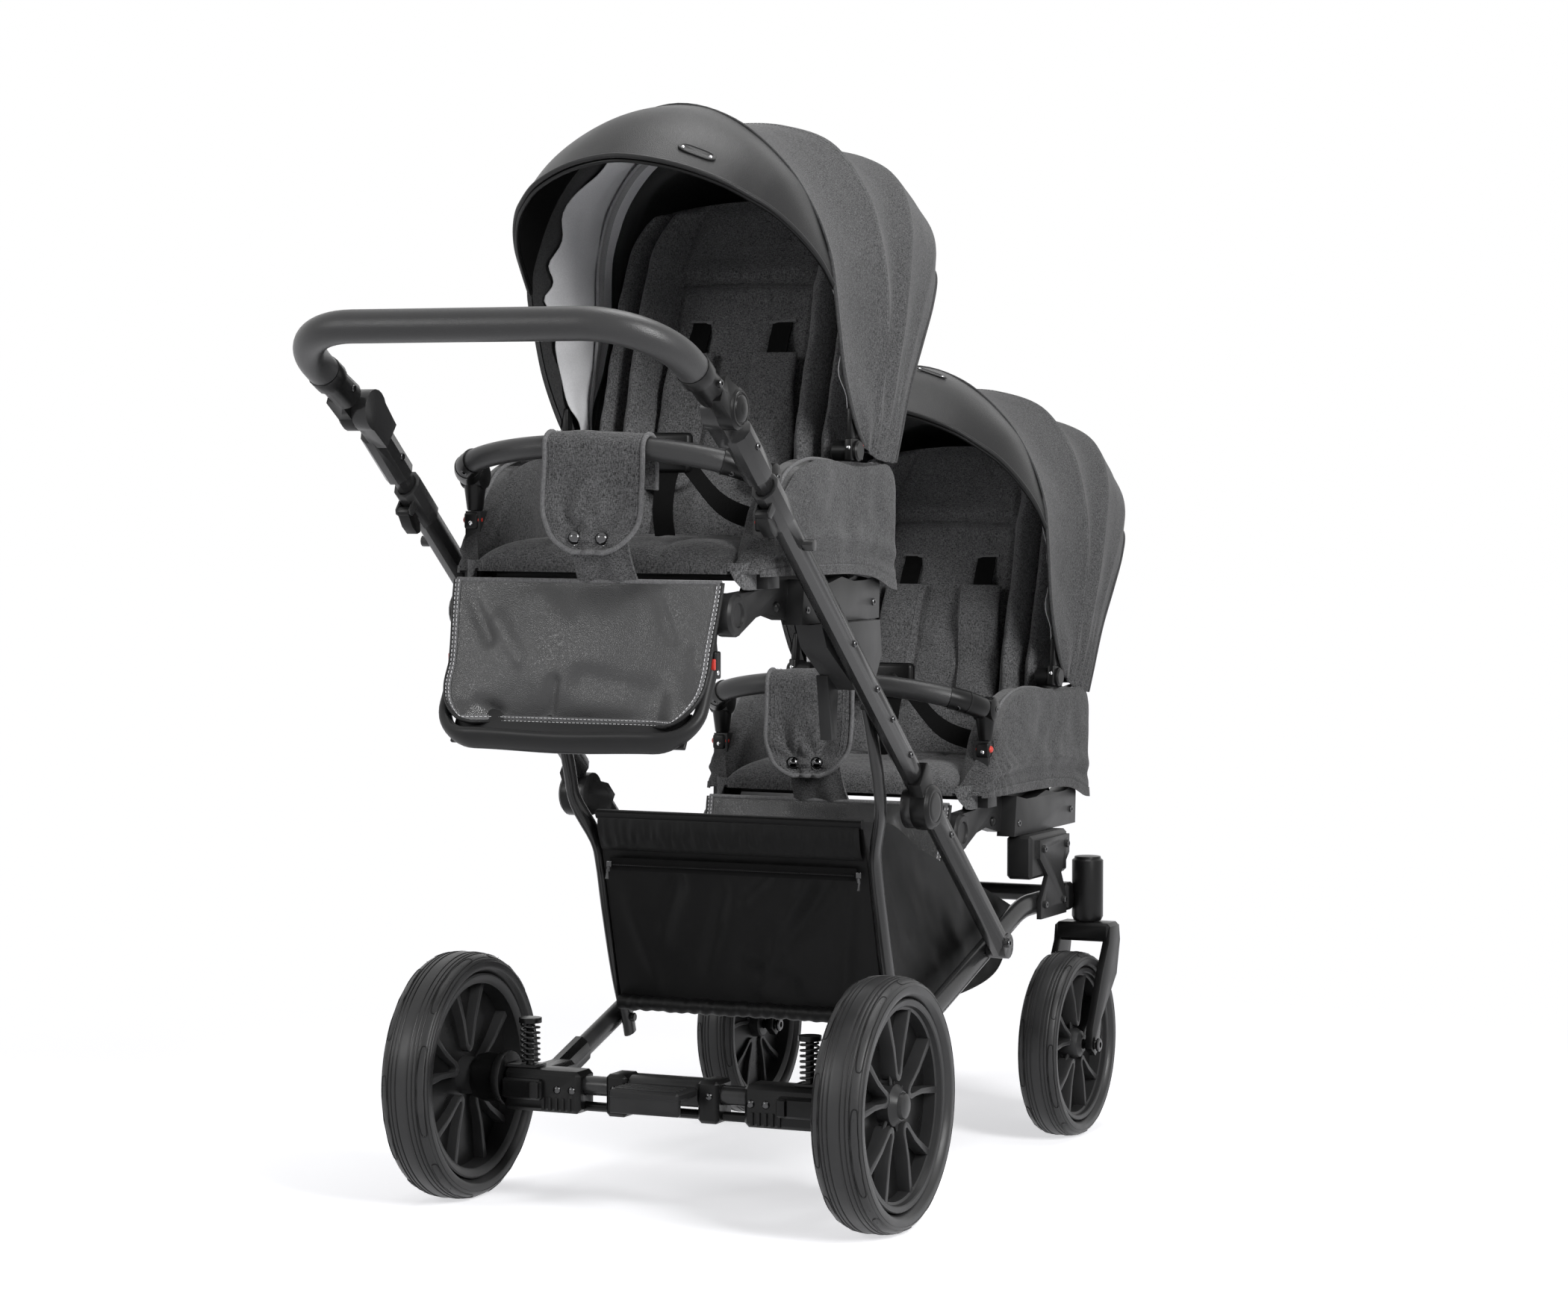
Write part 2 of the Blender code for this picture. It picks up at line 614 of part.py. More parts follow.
def build_rear_axle():
    reach = HOUSING_INNER_X + SOCKET_DEPTH - 2.0 * SOCKET_CLEARANCE
    tube = rod((-reach, 0.0, AXLE_TUBE_Z), (reach, 0.0, AXLE_TUBE_Z), AXLE_TUBE_RADIUS, 20)
    add_part("rear_axle_tube", tube, TUBE_BLACK, CHASSIS, (0.0, 0.0, AXLE_TUBE_Z))

    half = HOUSING_DEPTH / 2.0
    body = block((HOUSING_INNER_X, -half, HOUSING_BOTTOM), (HOUSING_OUTER_X, half, HOUSING_TOP), 0.005)
    latch = block((0.150, -half - 0.010, 0.126), (0.202, -half + 0.004, 0.150), 0.003)
    catch = block((0.152, -half - 0.014, 0.128), (0.164, -half - 0.008, 0.148), 0.0015)
    arm = block((0.172, 0.0, 0.118), (HOUSING_OUTER_X - 0.0005, BOTTOM_START_Y, 0.1545), 0.005)
    along = math.radians(BOTTOM_SLOPE_DEG)
    mouth_y = BOTTOM_POINT[0]
    root_y = BOTTOM_START_Y - 0.020
    collar = pipe([(BOTTOM_X, root_y, bottom_line_z(root_y)), (BOTTOM_X, mouth_y, bottom_line_z(mouth_y))],
                  BOTTOM_HEIGHT / 2.0 + 0.0045, (BOTTOM_WIDTH + 0.007) / (BOTTOM_HEIGHT + 0.009))
    post = rod((SPRING_X, 0.0, HOUSING_TOP - 0.006), (SPRING_X, 0.0, SPRING_SEAT_Z + SPRING_LENGTH + 0.003),
               SPRING_POST_RADIUS, 12)
    cap_z = SPRING_SEAT_Z + SPRING_LENGTH + GAP
    cap = rod((SPRING_X, 0.0, cap_z), (SPRING_X, 0.0, cap_z + 0.006), SPRING_CAP_RADIUS, 16)
    housing = fused(body, latch, catch, arm, collar, post, cap)
    for number in range(5):
        rib_x = HOUSING_INNER_X + 0.010 + 0.0085 * number
        housing = fused(housing, block((rib_x, -half - 0.0025, HOUSING_BOTTOM + 0.003),
                                       (rib_x + 0.0035, -half + 0.002, HOUSING_BOTTOM + 0.018)))
    tube_room = rod((HOUSING_INNER_X - 0.010, 0.0, AXLE_TUBE_Z),
                    (HOUSING_INNER_X + SOCKET_DEPTH, 0.0, AXLE_TUBE_Z),
                    AXLE_TUBE_RADIUS + SOCKET_CLEARANCE, 20)
    rod_room = rod((HOUSING_INNER_X - 0.010, 0.0, BRAKE_ROD_Z), (HOUSING_INNER_X + 0.020, 0.0, BRAKE_ROD_Z),
                   BRAKE_ROD_RADIUS + 0.0003, 12)
    room_ends = (BOTTOM_START_Y - 0.0005, mouth_y + 0.030)
    leg_room = pipe([(BOTTOM_X, end, bottom_line_z(end)) for end in room_ends],
                    BOTTOM_HEIGHT / 2.0 + SOCKET_CLEARANCE, BOTTOM_WIDTH / BOTTOM_HEIGHT)
    housing = cut(housing, tube_room, rod_room, leg_room)
    add_pair("rear_housing", housing, MOULDED_BLACK, CHASSIS, (HOUSING_INNER_X, 0.0, AXLE_TUBE_Z))


def build_hub_carriers():
    """The sprung carriers: a drum with the wheel's axle pin and a plate under the spring."""
    drum_outer = REAR_WHEEL_X - REAR_RIM_WIDTH / 2.0 + 0.0005
    centre = (0.0, 0.0, REAR_TYRE_RADIUS)
    inner = HOUSING_OUTER_X + 0.0005
    profile = [(0.0, REAR_WHEEL_X + 0.0095), (AXLE_PIN_RADIUS, REAR_WHEEL_X + 0.0095),
               (AXLE_PIN_RADIUS, drum_outer), (HUB_DRUM_RADIUS - 0.006, drum_outer),
               (HUB_DRUM_RADIUS - 0.003, drum_outer - 0.010), (HUB_DRUM_RADIUS - 0.003, inner + 0.012),
               (HUB_DRUM_RADIUS, inner + 0.010), (HUB_DRUM_RADIUS, inner), (0.0, inner)]
    drum = turned(profile, centre, sides=20)
    top = HOUSING_TOP + GAP + SPRING_PLATE_THICKNESS
    plate_block = block((SPRING_X - 0.014, -0.0135, HOUSING_TOP + GAP), (inner + 0.006, 0.0135, top))
    hole = rod((SPRING_X, 0.0, HOUSING_TOP - 0.010), (SPRING_X, 0.0, top + 0.010),
               SPRING_POST_RADIUS + 0.0005, 12)
    carrier = cut(fused(drum, plate_block), hole)
    add_pair("hub_carrier", carrier, MOULDED_BLACK, CHASSIS, (REAR_WHEEL_X, 0.0, REAR_TYRE_RADIUS))


def spring_points():
    """An even coil from the plate up to the cap."""
    total = SPRING_CURLS * SPRING_STEPS
    low = SPRING_SEAT_Z + SPRING_WIRE_RADIUS + GAP
    rise = SPRING_LENGTH - 2.0 * SPRING_WIRE_RADIUS - 2.0 * GAP
    points = []
    for step in range(total + 1):
        turn = 2.0 * math.pi * step / SPRING_STEPS
        part = step / total
        points.append(Vector((SPRING_X + SPRING_COIL_RADIUS * math.cos(turn),
                              SPRING_COIL_RADIUS * math.sin(turn), low + rise * part)))
    return points


def least_gap(points, radius):
    """The least distance between the wire's surface and its next curl."""
    least = 1.0
    for index in range(len(points) - SPRING_STEPS + 2):
        for other in range(index + SPRING_STEPS - 2, min(len(points), index + SPRING_STEPS + 3)):
            least = min(least, (points[index] - points[other]).length)
    return least - 2.0 * radius


def build_springs():
    points = spring_points()
    print("least gap between curls, mm:", round(1000.0 * least_gap(points, SPRING_WIRE_RADIUS), 2))
    wire = pipe(points, SPRING_WIRE_RADIUS, resolution=1)
    add_pair("suspension_spring", wire, SPRING_STEEL, CHASSIS, (SPRING_X, 0.0, SPRING_SEAT_Z))


def build_brake():
    """The cross rod with its clamp block, and the pedal that turns on the axle tube."""
    rod_reach = HOUSING_INNER_X + 0.019
    parts = [rod((-rod_reach, 0.0, BRAKE_ROD_Z), (rod_reach, 0.0, BRAKE_ROD_Z), BRAKE_ROD_RADIUS, 12)]
    for side in (-1.0, 1.0):
        ends = sorted((side * 0.0455, side * 0.0720))
        parts.append(block((ends[0], -0.0185, 0.1110), (ends[1], 0.0215, 0.1605), 0.004))
    parts.append(block((-0.050, 0.0180, 0.1280), (0.050, 0.0212, 0.1580)))
    room = rod((-0.100, 0.0, AXLE_TUBE_Z), (0.100, 0.0, AXLE_TUBE_Z), AXLE_TUBE_RADIUS + GAP, 20)
    add_part("brake_block", cut(fused(*parts), room), MOULDED_BLACK, CHASSIS, (0.0, 0.0, BRAKE_ROD_Z))

    half = 0.0450
    sleeve = rod((-half, 0.0, AXLE_TUBE_Z), (half, 0.0, AXLE_TUBE_Z), AXLE_TUBE_RADIUS + 0.0050, 20)
    tread = block((-half + 0.0005, -0.0660, 0.1410), (half - 0.0005, -0.0080, 0.1520), 0.003)
    skirt = block((-half + 0.0010, -0.0640, 0.1240), (half - 0.0010, -0.0560, 0.1480), 0.0015)
    pedal = fused(sleeve, tread, skirt)
    for number in range(4):
        rib_y = -0.0600 + 0.0090 * number
        pedal = fused(pedal, block((-half + 0.006, rib_y, 0.1505), (half - 0.006, rib_y + 0.0030, 0.1535)))
    bore = rod((-0.100, 0.0, AXLE_TUBE_Z), (0.100, 0.0, AXLE_TUBE_Z), AXLE_TUBE_RADIUS + 0.0005, 20)
    pedal = cut(pedal, bore)
    add_part("brake_pedal", pedal, MOULDED_GREY, CHASSIS, (0.0, 0.0, AXLE_TUBE_Z))


# Main tubes, legs and handle

def slope_pipe(start, end, width, height, drop=0.0):
    ends = [slope_point(start, drop), slope_point(end, drop)]
    return pipe([(MAIN_X, y, z) for y, z in ends], height / 2.0, width / height)


def tube_hole(distance):
    y, z = slope_point(distance)
    inside = MAIN_X + MAIN_WIDTH / 2.0 - MAIN_WALL - 0.0008
    return rod((inside, y, z), (MAIN_X + MAIN_WIDTH, y, z), HOLE_RADIUS, 8)


def build_lower_tubes():
    inner = MAIN_X - MAIN_WIDTH / 2.0
    top = slope_along(*FOLD_PIVOT) - FOLD_TUBE_GAP
    end = slope_along(*LOWER_PIVOT)
    tube = slope_pipe(end - 0.010, top, MAIN_WIDTH, MAIN_HEIGHT)
    foot_y, foot_z = slope_point(end - 0.010)
    foot = rod((MAIN_X - MAIN_WIDTH / 2.0, foot_y, foot_z), (MAIN_X + MAIN_WIDTH / 2.0, foot_y, foot_z),
               MAIN_HEIGHT / 2.0 - 0.001, 16)
    cheek_outline = [slope_point(top - 0.018, -0.016), slope_point(top - 0.018, 0.018),
                     slope_point(top + 0.012, 0.026), slope_point(top + 0.028, 0.024),
                     slope_point(top + 0.028, -0.004), slope_point(top + 0.006, -0.016)]
    cheek = plate(cheek_outline, inner, MAIN_X - GAP / 2.0)
    disc = rod((inner, *FOLD_PIVOT), (MAIN_X - GAP / 2.0, *FOLD_PIVOT), FOLD_DISC_RADIUS - 0.001, 24)
    bolt = rod((MAIN_X, *LOWER_PIVOT), (MAIN_X + MAIN_WIDTH / 2.0 + 0.0035, *LOWER_PIVOT), 0.0060, 12)
    lower = cut(fused(tube, foot, cheek, disc, bolt), tube_hole(slope_distance(0.295)))
    add_pair("lower_tube", lower, TUBE_BLACK, CHASSIS, (MAIN_X, *LOWER_PIVOT))


def build_upper_tubes():
    start = slope_along(*FOLD_PIVOT) + FOLD_TUBE_GAP
    clamp = slope_distance(HANDLE_PIVOT_Y) - CLAMP_DISTANCE
    end = clamp + COLLAR_LENGTH / 2.0
    tube = slope_pipe(start, end, MAIN_WIDTH, MAIN_HEIGHT)
    collar = slope_pipe(clamp - COLLAR_LENGTH / 2.0, end + 0.001, MAIN_WIDTH + 2.0 * COLLAR_WALL,
                        MAIN_HEIGHT + 2.0 * COLLAR_WALL)
    knob_y, knob_z = slope_point(clamp - 0.0735)
    knob = rod((MAIN_X + MAIN_WIDTH / 2.0 - 0.001, knob_y, knob_z),
               (MAIN_X + MAIN_WIDTH / 2.0 + 0.011, knob_y, knob_z), 0.0065, 12)
    tongue = slope_pipe(start - 0.004, start + 0.012, MAIN_WIDTH - 0.001, MAIN_HEIGHT - 0.001)
    room = slope_pipe(clamp - 0.160, end + 0.020, MAIN_WIDTH - 2.0 * MAIN_WALL, MAIN_HEIGHT - 2.0 * MAIN_WALL)
    drop = MAIN_HEIGHT / 2.0 + COLLAR_WALL
    lug_outline = [slope_point(clamp + 0.018, drop - 0.0060), slope_point(clamp + 0.018, drop + 0.0080),
                   slope_point(clamp + 0.014, drop + 0.0115), slope_point(clamp + 0.009, drop + 0.0100),
                   slope_point(clamp + 0.006, drop - 0.0060)]
    lugs = []
    for side in (-1.0, 1.0):
        ends = sorted((side * (LEVER_HALF_WIDTH + GAP), side * (LEVER_HALF_WIDTH + 0.0025)))
        lugs.append(plate(lug_outline, MAIN_X + ends[0], MAIN_X + ends[1]))
    upper = fused(tube, collar, knob, tongue, *lugs)
    upper = cut(upper, room)
    for y in (0.004, 0.070, 0.169):
        upper = cut(upper, tube_hole(slope_distance(y)))
    add_pair("upper_tube", upper, TUBE_BLACK, CHASSIS, (MAIN_X, *FOLD_PIVOT))

    # The outer half of the fold joint, in the same body as the upper tube
    outer = MAIN_X + 0.0225
    profile = [(0.0, outer - 0.0035), (0.0175, outer - 0.0035), (0.0185, outer - 0.001),
               (0.0225, outer), (FOLD_DISC_RADIUS, outer - 0.004), (FOLD_DISC_RADIUS, MAIN_X + GAP / 2.0),
               (0.0, MAIN_X + GAP / 2.0)]
    disc = turned(profile, (0.0, *FOLD_PIVOT), sides=24)
    cheek_outline = [slope_point(start + 0.010, -0.016), slope_point(start + 0.010, 0.018),
                     slope_point(start - 0.012, 0.026), slope_point(start - 0.028, 0.024),
                     slope_point(start - 0.028, -0.004), slope_point(start - 0.006, -0.016)]
    cheek = plate(cheek_outline, MAIN_X + GAP / 2.0, MAIN_X + 0.0165)
    room = slope_pipe(start - 0.0045, start + 0.060, MAIN_WIDTH + 2.0 * GAP, MAIN_HEIGHT + 2.0 * GAP)
    half = cut(fused(disc, cheek), room)
    add_pair("fold_disc", half, MOULDED_BLACK, CHASSIS, (MAIN_X, *FOLD_PIVOT))


def build_rear_legs():
    low = LEG_X
    path = [(LEG_TOP_X, LEG_TOP_PIVOT[0] - 0.009, LEG_TOP_PIVOT[1] + 0.018),
            (LEG_TOP_X, LEG_TOP_PIVOT[0], LEG_TOP_PIVOT[1]),
            (LEG_TOP_X, 0.144, 0.500), (LEG_TOP_X - 0.002, 0.156, 0.460),
            (low + 0.003, 0.178, 0.415), (low, 0.188, 0.385),
            (low, 0.203, 0.330), (low, 0.224, 0.262), (low, 0.241, 0.218),
            (low, LEG_FOOT_PIVOT[0], LEG_FOOT_PIVOT[1]), (low, 0.265, 0.166)]
    leg = pipe(path, LEG_HEIGHT / 2.0, LEG_WIDTH / LEG_HEIGHT)
    nut_inner = low - LEG_WIDTH / 2.0 - 0.0045
    nut = rod((nut_inner, *LEG_FOOT_PIVOT), (low, *LEG_FOOT_PIVOT), 0.0055, 12)
    leg = fused(leg, nut)
    add_pair("rear_leg", leg, TUBE_BLACK, CHASSIS, (low, *LEG_FOOT_PIVOT))


def build_telescope():
    pivot = slope_distance(HANDLE_PIVOT_Y)
    width = MAIN_WIDTH - 2.0 * MAIN_WALL - 2.0 * TELESCOPE_CLEARANCE
    height = MAIN_HEIGHT - 2.0 * MAIN_WALL - 2.0 * TELESCOPE_CLEARANCE
    tube = slope_pipe(pivot - TELESCOPE_END, pivot - 0.045, width, height)
    sleeve = slope_pipe(pivot - HANDLE_SLEEVE_END, pivot - 0.036, 2.0 * HANDLE_HALF_WIDTH - 0.0045, 0.037)
    inner = MAIN_X - HANDLE_HALF_WIDTH
    centre = slope_point(pivot)
    disc = rod((inner, *centre), (MAIN_X - GAP / 2.0, *centre), HANDLE_DISC_RADIUS, 20)
    outline = [slope_point(pivot - 0.045, -0.0165), slope_point(pivot - 0.045, 0.0165),
               slope_point(pivot - 0.004, 0.0205), slope_point(pivot - 0.004, -0.0205)]
    cheek = plate(outline, inner, MAIN_X - GAP / 2.0)
    whole = fused(tube, sleeve, cheek, disc)
    add_pair("telescope_tube", whole, TUBE_BLACK, CHASSIS, (MAIN_X, *centre))


def handle_point(along, aside=0.0):
    """A point of the handle's plane, counted from the tilt pivot towards the grip."""
    angle = math.radians(HANDLE_RISE_DEG)
    y, z = slope_point(slope_distance(HANDLE_PIVOT_Y))
    return (y - along * math.cos(angle) + aside * math.sin(angle),
            z + along * math.sin(angle) + aside * math.cos(angle))


def build_handle():
    centre = handle_point(0.0)
    outer = MAIN_X + HANDLE_HALF_WIDTH
    profile = [(0.0, outer + 0.0045), (0.009, outer + 0.0040), (0.0145, outer + 0.0015),
               (0.0160, outer - 0.0010), (0.0200, outer), (HANDLE_DISC_RADIUS, outer - 0.0030),
               (HANDLE_DISC_RADIUS, MAIN_X + GAP / 2.0), (0.0, MAIN_X + GAP / 2.0)]
    disc = turned(profile, (0.0, *centre), sides=20)
    cheek = plate([handle_point(0.002, -0.0200), handle_point(0.002, 0.0200), handle_point(0.045, 0.0150),
                   handle_point(0.045, -0.0150)], MAIN_X + GAP / 2.0, outer - 0.002)
    neck = rod((MAIN_X, *handle_point(0.034)), (MAIN_X, *handle_point(GRIP_START - 0.008)),
               0.0170, 16, 0.0160)
    ferrule = rod((MAIN_X, *handle_point(GRIP_START - 0.018)), (MAIN_X, *handle_point(GRIP_START - GAP)),
                  GRIP_RADIUS + 0.0012, 16)
    bolt = rod((MAIN_X, *handle_point(0.056)), (MAIN_X + 0.0190, *handle_point(0.056)), 0.0050, 10)
    half = fused(disc, cheek, neck, ferrule, bolt)
    clear = rod((MAIN_X - 0.030, *centre), (MAIN_X + GAP / 2.0, *centre), HANDLE_DISC_RADIUS + 0.006, 24)
    half = cut(half, clear)
    add_pair("handle_pivot", half, MOULDED_BLACK, CHASSIS, (MAIN_X, *centre))

    end = GRIP_START + GRIP_REACH
    corners = [(MAIN_X, *handle_point(GRIP_START)), (MAIN_X, *handle_point(end)),
               (-MAIN_X, *handle_point(end)), (-MAIN_X, *handle_point(GRIP_START))]
    grip = pipe(rounded_path(corners, GRIP_CORNER_RADIUS, 8), GRIP_RADIUS)
    add_part("handle_grip", grip, LEATHERETTE, CHASSIS, (0.0, *centre))


def build_clamp_levers():
    """The flip levers under the collars, each on its own pin."""
    clamp = slope_distance(HANDLE_PIVOT_Y) - CLAMP_DISTANCE
    drop = MAIN_HEIGHT / 2.0 + COLLAR_WALL + 2.0 * GAP
    pivot = slope_point(clamp + 0.012, drop + 0.006)
    eye = rod((MAIN_X - LEVER_HALF_WIDTH, *pivot), (MAIN_X + LEVER_HALF_WIDTH, *pivot), 0.0058, 12)
    outline = [slope_point(clamp + 0.012, drop + 0.0004), slope_point(clamp + 0.012, drop + 0.0118),
               slope_point(clamp - 0.002, drop + 0.0160), slope_point(clamp - 0.016, drop + 0.0150),
               slope_point(clamp - 0.020, drop + 0.0090), slope_point(clamp - 0.012, drop + 0.0010)]
    tab = plate(outline, MAIN_X - LEVER_HALF_WIDTH + GAP, MAIN_X + LEVER_HALF_WIDTH - GAP)
    lever = fused(eye, tab)
    add_pair("clamp_lever", lever, MOULDED_BLACK, CHASSIS, (MAIN_X, *pivot))


# Seat adapters and basket

def tongue_room(mount, x_low):
    y, z = mount
    length = SEAT_TONGUE[1]
    play = SOCKET_CLEARANCE
    top = z + ADAPTER_TOP
    return block((x_low - play, y - length / 2.0 - play, top - SEAT_TONGUE[2] - 0.001),
                 (x_low + SEAT_TONGUE[0] + play, y + length / 2.0 + play, top + 0.020))


def build_high_adapters():
    """The upper sockets, which sit against the inner faces of the main tubes."""
    y, z = HIGH_SEAT_MOUNT
    top = z + ADAPTER_TOP - GAP
    outer = MAIN_X - MAIN_WIDTH / 2.0 - GAP
    inner = TONGUE_X - 0.004
    outline = [(y - 0.062, top), (y + 0.105, top), (y + 0.110, top - 0.040), (y + 0.085, top - 0.078),
               (y + 0.035, top - 0.078), (y - 0.048, top - 0.026)]
    body = plate(outline, inner, outer)
    lever = plate([(y + 0.005, top - 0.060), (y + 0.037, top - 0.060), (y + 0.031, top - 0.135),
                   (y + 0.017, top - 0.135)], inner - 0.004, inner + 0.010)
    adapter = cut(fused(body, lever), tongue_room(HIGH_SEAT_MOUNT, TONGUE_X))
    add_pair("high_seat_adapter", adapter, MOULDED_GREY, CHASSIS, (MAIN_X, y, z))


def build_low_adapters():
    y, z = LOW_SEAT_MOUNT
    top = z + ADAPTER_TOP - GAP
    tube_outer = BOTTOM_X + BOTTOM_WIDTH / 2.0
    block_low = BOTTOM_LEVEL_Z + BOTTOM_HEIGHT / 2.0 + 0.020
    body = block((TONGUE_X - 0.005, y - 0.065, block_low), (tube_outer + 0.001, y + 0.065, top), 0.004)
    waist = 0.024
    foot = BOTTOM_LEVEL_Z - 0.018
    plate_outline = [(y - 0.048, top - 0.006), (y + 0.058, top - 0.006), (y + 0.058, top - 0.030),
                     (y + 0.005 + waist, 0.5 * (top + foot)), (y + 0.048, foot + 0.022), (y + 0.048, foot),
                     (y - 0.044, foot), (y - 0.044, foot + 0.022), (y + 0.005 - waist, 0.5 * (top + foot)),
                     (y - 0.048, top - 0.030)]
    side_plate = plate(plate_outline, tube_outer + GAP, tube_outer + 0.0065, 0.0)
    parts = [body, side_plate]
    for bolt_y, bolt_z in ((y - 0.032, foot + 0.018), (y + 0.036, foot + 0.018), (y - 0.036, top - 0.018),
                           (y + 0.046, top - 0.018)):
        parts.append(rod((tube_outer + 0.004, bolt_y, bolt_z), (tube_outer + 0.0095, bolt_y, bolt_z),
                         0.0050, 10))
    adapter = cut(fused(*parts), tongue_room((y, z), TONGUE_X))
    add_pair("low_seat_adapter", adapter, MOULDED_GREY, CHASSIS, (BOTTOM_X, y, z))


def build_basket():
    """A fabric tub between the rear legs and the front wheels, open at the top."""
    half = BASKET_HALF_WIDTH
    side = [(0.163, 0.447), (0.226, 0.214), (0.400, 0.206), (0.590, 0.222), (0.650, 0.298), (0.470, 0.358),
            (0.340, 0.400), (0.250, 0.437)]
    shape = bmesh.new()
    ends = []
    for x in (-half, half):
        ends.append([shape.verts.new((x, y, z)) for y, z in side])
    left, right = ends
    shape.faces.new(left)
    shape.faces.new(list(reversed(right)))
    for index in range(4):
        shape.faces.new((left[index], left[index + 1], right[index + 1], right[index]))
    mesh = to_mesh(shape)
    made = temporary(mesh)
    skin = made.modifiers.new("skin", "SOLIDIFY")
    skin.thickness = BASKET_WALL
    skin.offset = -1.0
    skin.use_even_offset = True
    basket = evaluated_mesh(made)
    add_part("basket", basket, BASKET_FABRIC, CHASSIS, (0.0, 0.30, 0.30))


# Seats, drawn in the frame of their own mount

def seat_arm():
    """One side of the seat: an arm out to the footrest, a ribbed shell, a tongue and a bumper post."""
    pivot_y, pivot_z = FOOTREST_PIVOT
    top = PAN_TOP - 0.001
    outline = [(pivot_y, pivot_z + ARM_END_RADIUS - 0.001),
               (pivot_y + 0.045, pivot_z + ARM_END_RADIUS + 0.001), (pivot_y + 0.058, top), (0.088, top),
               (0.104, 0.002), (0.146, -0.006), (0.146, -0.024), (-0.080, -0.024), (-0.130, -0.014),
               (-0.160, -0.018), (pivot_y + 0.014, pivot_z - 0.019)]
    arm = plate(outline, ARM_INNER_X, ARM_OUTER_X)
    ear_y, ear_z = RECLINE_PIVOT
    ear = plate([(ear_y - 0.012, 0.008), (ear_y + 0.004, 0.004), (ear_y + 0.010, ear_z - 0.006),
                 (ear_y + 0.009, ear_z + 0.007), (ear_y, ear_z + 0.011), (ear_y - 0.009, ear_z + 0.007),
                 (ear_y - 0.012, ear_z - 0.006)], BACKREST_HALF_WIDTH + GAP, WING_INNER_X - GAP)
    profile = [(0.0, ARM_OUTER_X), (0.013, ARM_OUTER_X), (0.014, ARM_OUTER_X + 0.0025),
               (0.0205, ARM_OUTER_X + 0.0025), (ARM_END_RADIUS, ARM_OUTER_X - 0.001),
               (ARM_END_RADIUS, ARM_INNER_X), (0.0, ARM_INNER_X)]
    disc = turned(profile, (0.0, pivot_y, pivot_z), sides=18)
    wave = [(-0.082, -0.029), (0.138, -0.029), (0.140, 0.012)]
    for step in range(7):
        part = step / 6.0
        wave.append((0.134 - 0.208 * part, 0.018 + 0.004 * math.cos(4.0 * math.pi * part)))
    shell = plate(wave, ARM_OUTER_X - 0.004, SHELL_OUTER_X)
    tongue = block((TONGUE_X, -SEAT_TONGUE[1] / 2.0, ADAPTER_TOP - SEAT_TONGUE[2]),
                   (TONGUE_X + SEAT_TONGUE[0], SEAT_TONGUE[1] / 2.0, ADAPTER_TOP + 0.010))
    post = plate([(BUMPER_PIVOT[0] - 0.011, 0.014), (BUMPER_PIVOT[0] + 0.020, 0.014),
                  (BUMPER_PIVOT[0] + 0.012, POST_TOP), (BUMPER_PIVOT[0] - 0.009, POST_TOP)],
                 ARM_OUTER_X - 0.002, BUMPER_X + 0.0075)
    pin_room = rod((BUMPER_X, BUMPER_PIVOT[0], POST_TOP - 0.020),
                   (BUMPER_X, BUMPER_PIVOT[0], POST_TOP + 0.010), 0.0045, 8)
    return cut(fused(arm, disc, shell, tongue, post, ear), pin_room)


def build_seat_frame(prefix, seat):
    arm = seat_arm()
    pan_front = FOOTREST_PIVOT[0] + 0.056
    reach = ARM_INNER_X + 0.003
    pan = block((-reach, pan_front, PAN_TOP - PAN_THICKNESS), (reach, 0.100, PAN_TOP - 0.0005))
    frame = fused(arm, pan, mirrored(arm))
    add_part(prefix + "_seat_frame", frame, MOULDED_GREY, seat)


def build_seat_pad(prefix, seat):
    """The cushion with its crown and channels, and the padded wings at its sides."""
    low = PAN_TOP + GAP
    front = FOOTREST_PIVOT[0] + 0.014
    back = 0.068
    half = WING_INNER_X + 0.007

    def outline(u, v):
        sag = 0.005 * (1.0 - u * u) * v
        return half * u * (1.0 - 0.03 * v * v), front + (back - front) * (v + 1.0) / 2.0 + sag

    def top(u, v):
        x, y = outline(u, v)
        crown = 0.032 * (1.0 - u ** 4) * (1.0 - v ** 4) ** 0.5 + 0.010
        channel = 0.006 * math.exp(-((abs(u) - 0.45) / 0.07) ** 2) * (1.0 - v ** 4)
        return x, y, low + crown - channel

    def bottom(u, v):
        x, y = outline(u, v)
        return x, y, low

    cushion = two_skins(12, 5, top, bottom)

    def wing(u, v, edge_x, middle_x):
        length = (v + 1.0) / 2.0
        height = (u + 1.0) / 2.0
        start = -0.125 + 0.085 * height ** 1.3
        end = 0.192
        y = start + (end - start) * length
        front_dip = 0.024 * (1.0 - smooth_step(length / 0.4))
        crest = WING_TOP - front_dip - 0.008 * smooth_step((length - 0.7) / 0.3)
        bulge = (1.0 - u ** 6) * (1.0 - v ** 6)
        return edge_x + (middle_x - edge_x) * bulge, y, low + (crest - low) * height

    right = two_skins(4, 6, lambda u, v: wing(u, v, WING_OUTER_X - 0.005, WING_OUTER_X),
                      lambda u, v: wing(u, v, WING_INNER_X + 0.002, WING_INNER_X))
    pad = fused(cushion, right, mirrored(right))
    add_part(prefix + "_seat_pad", pad, SEAT_FABRIC, seat)


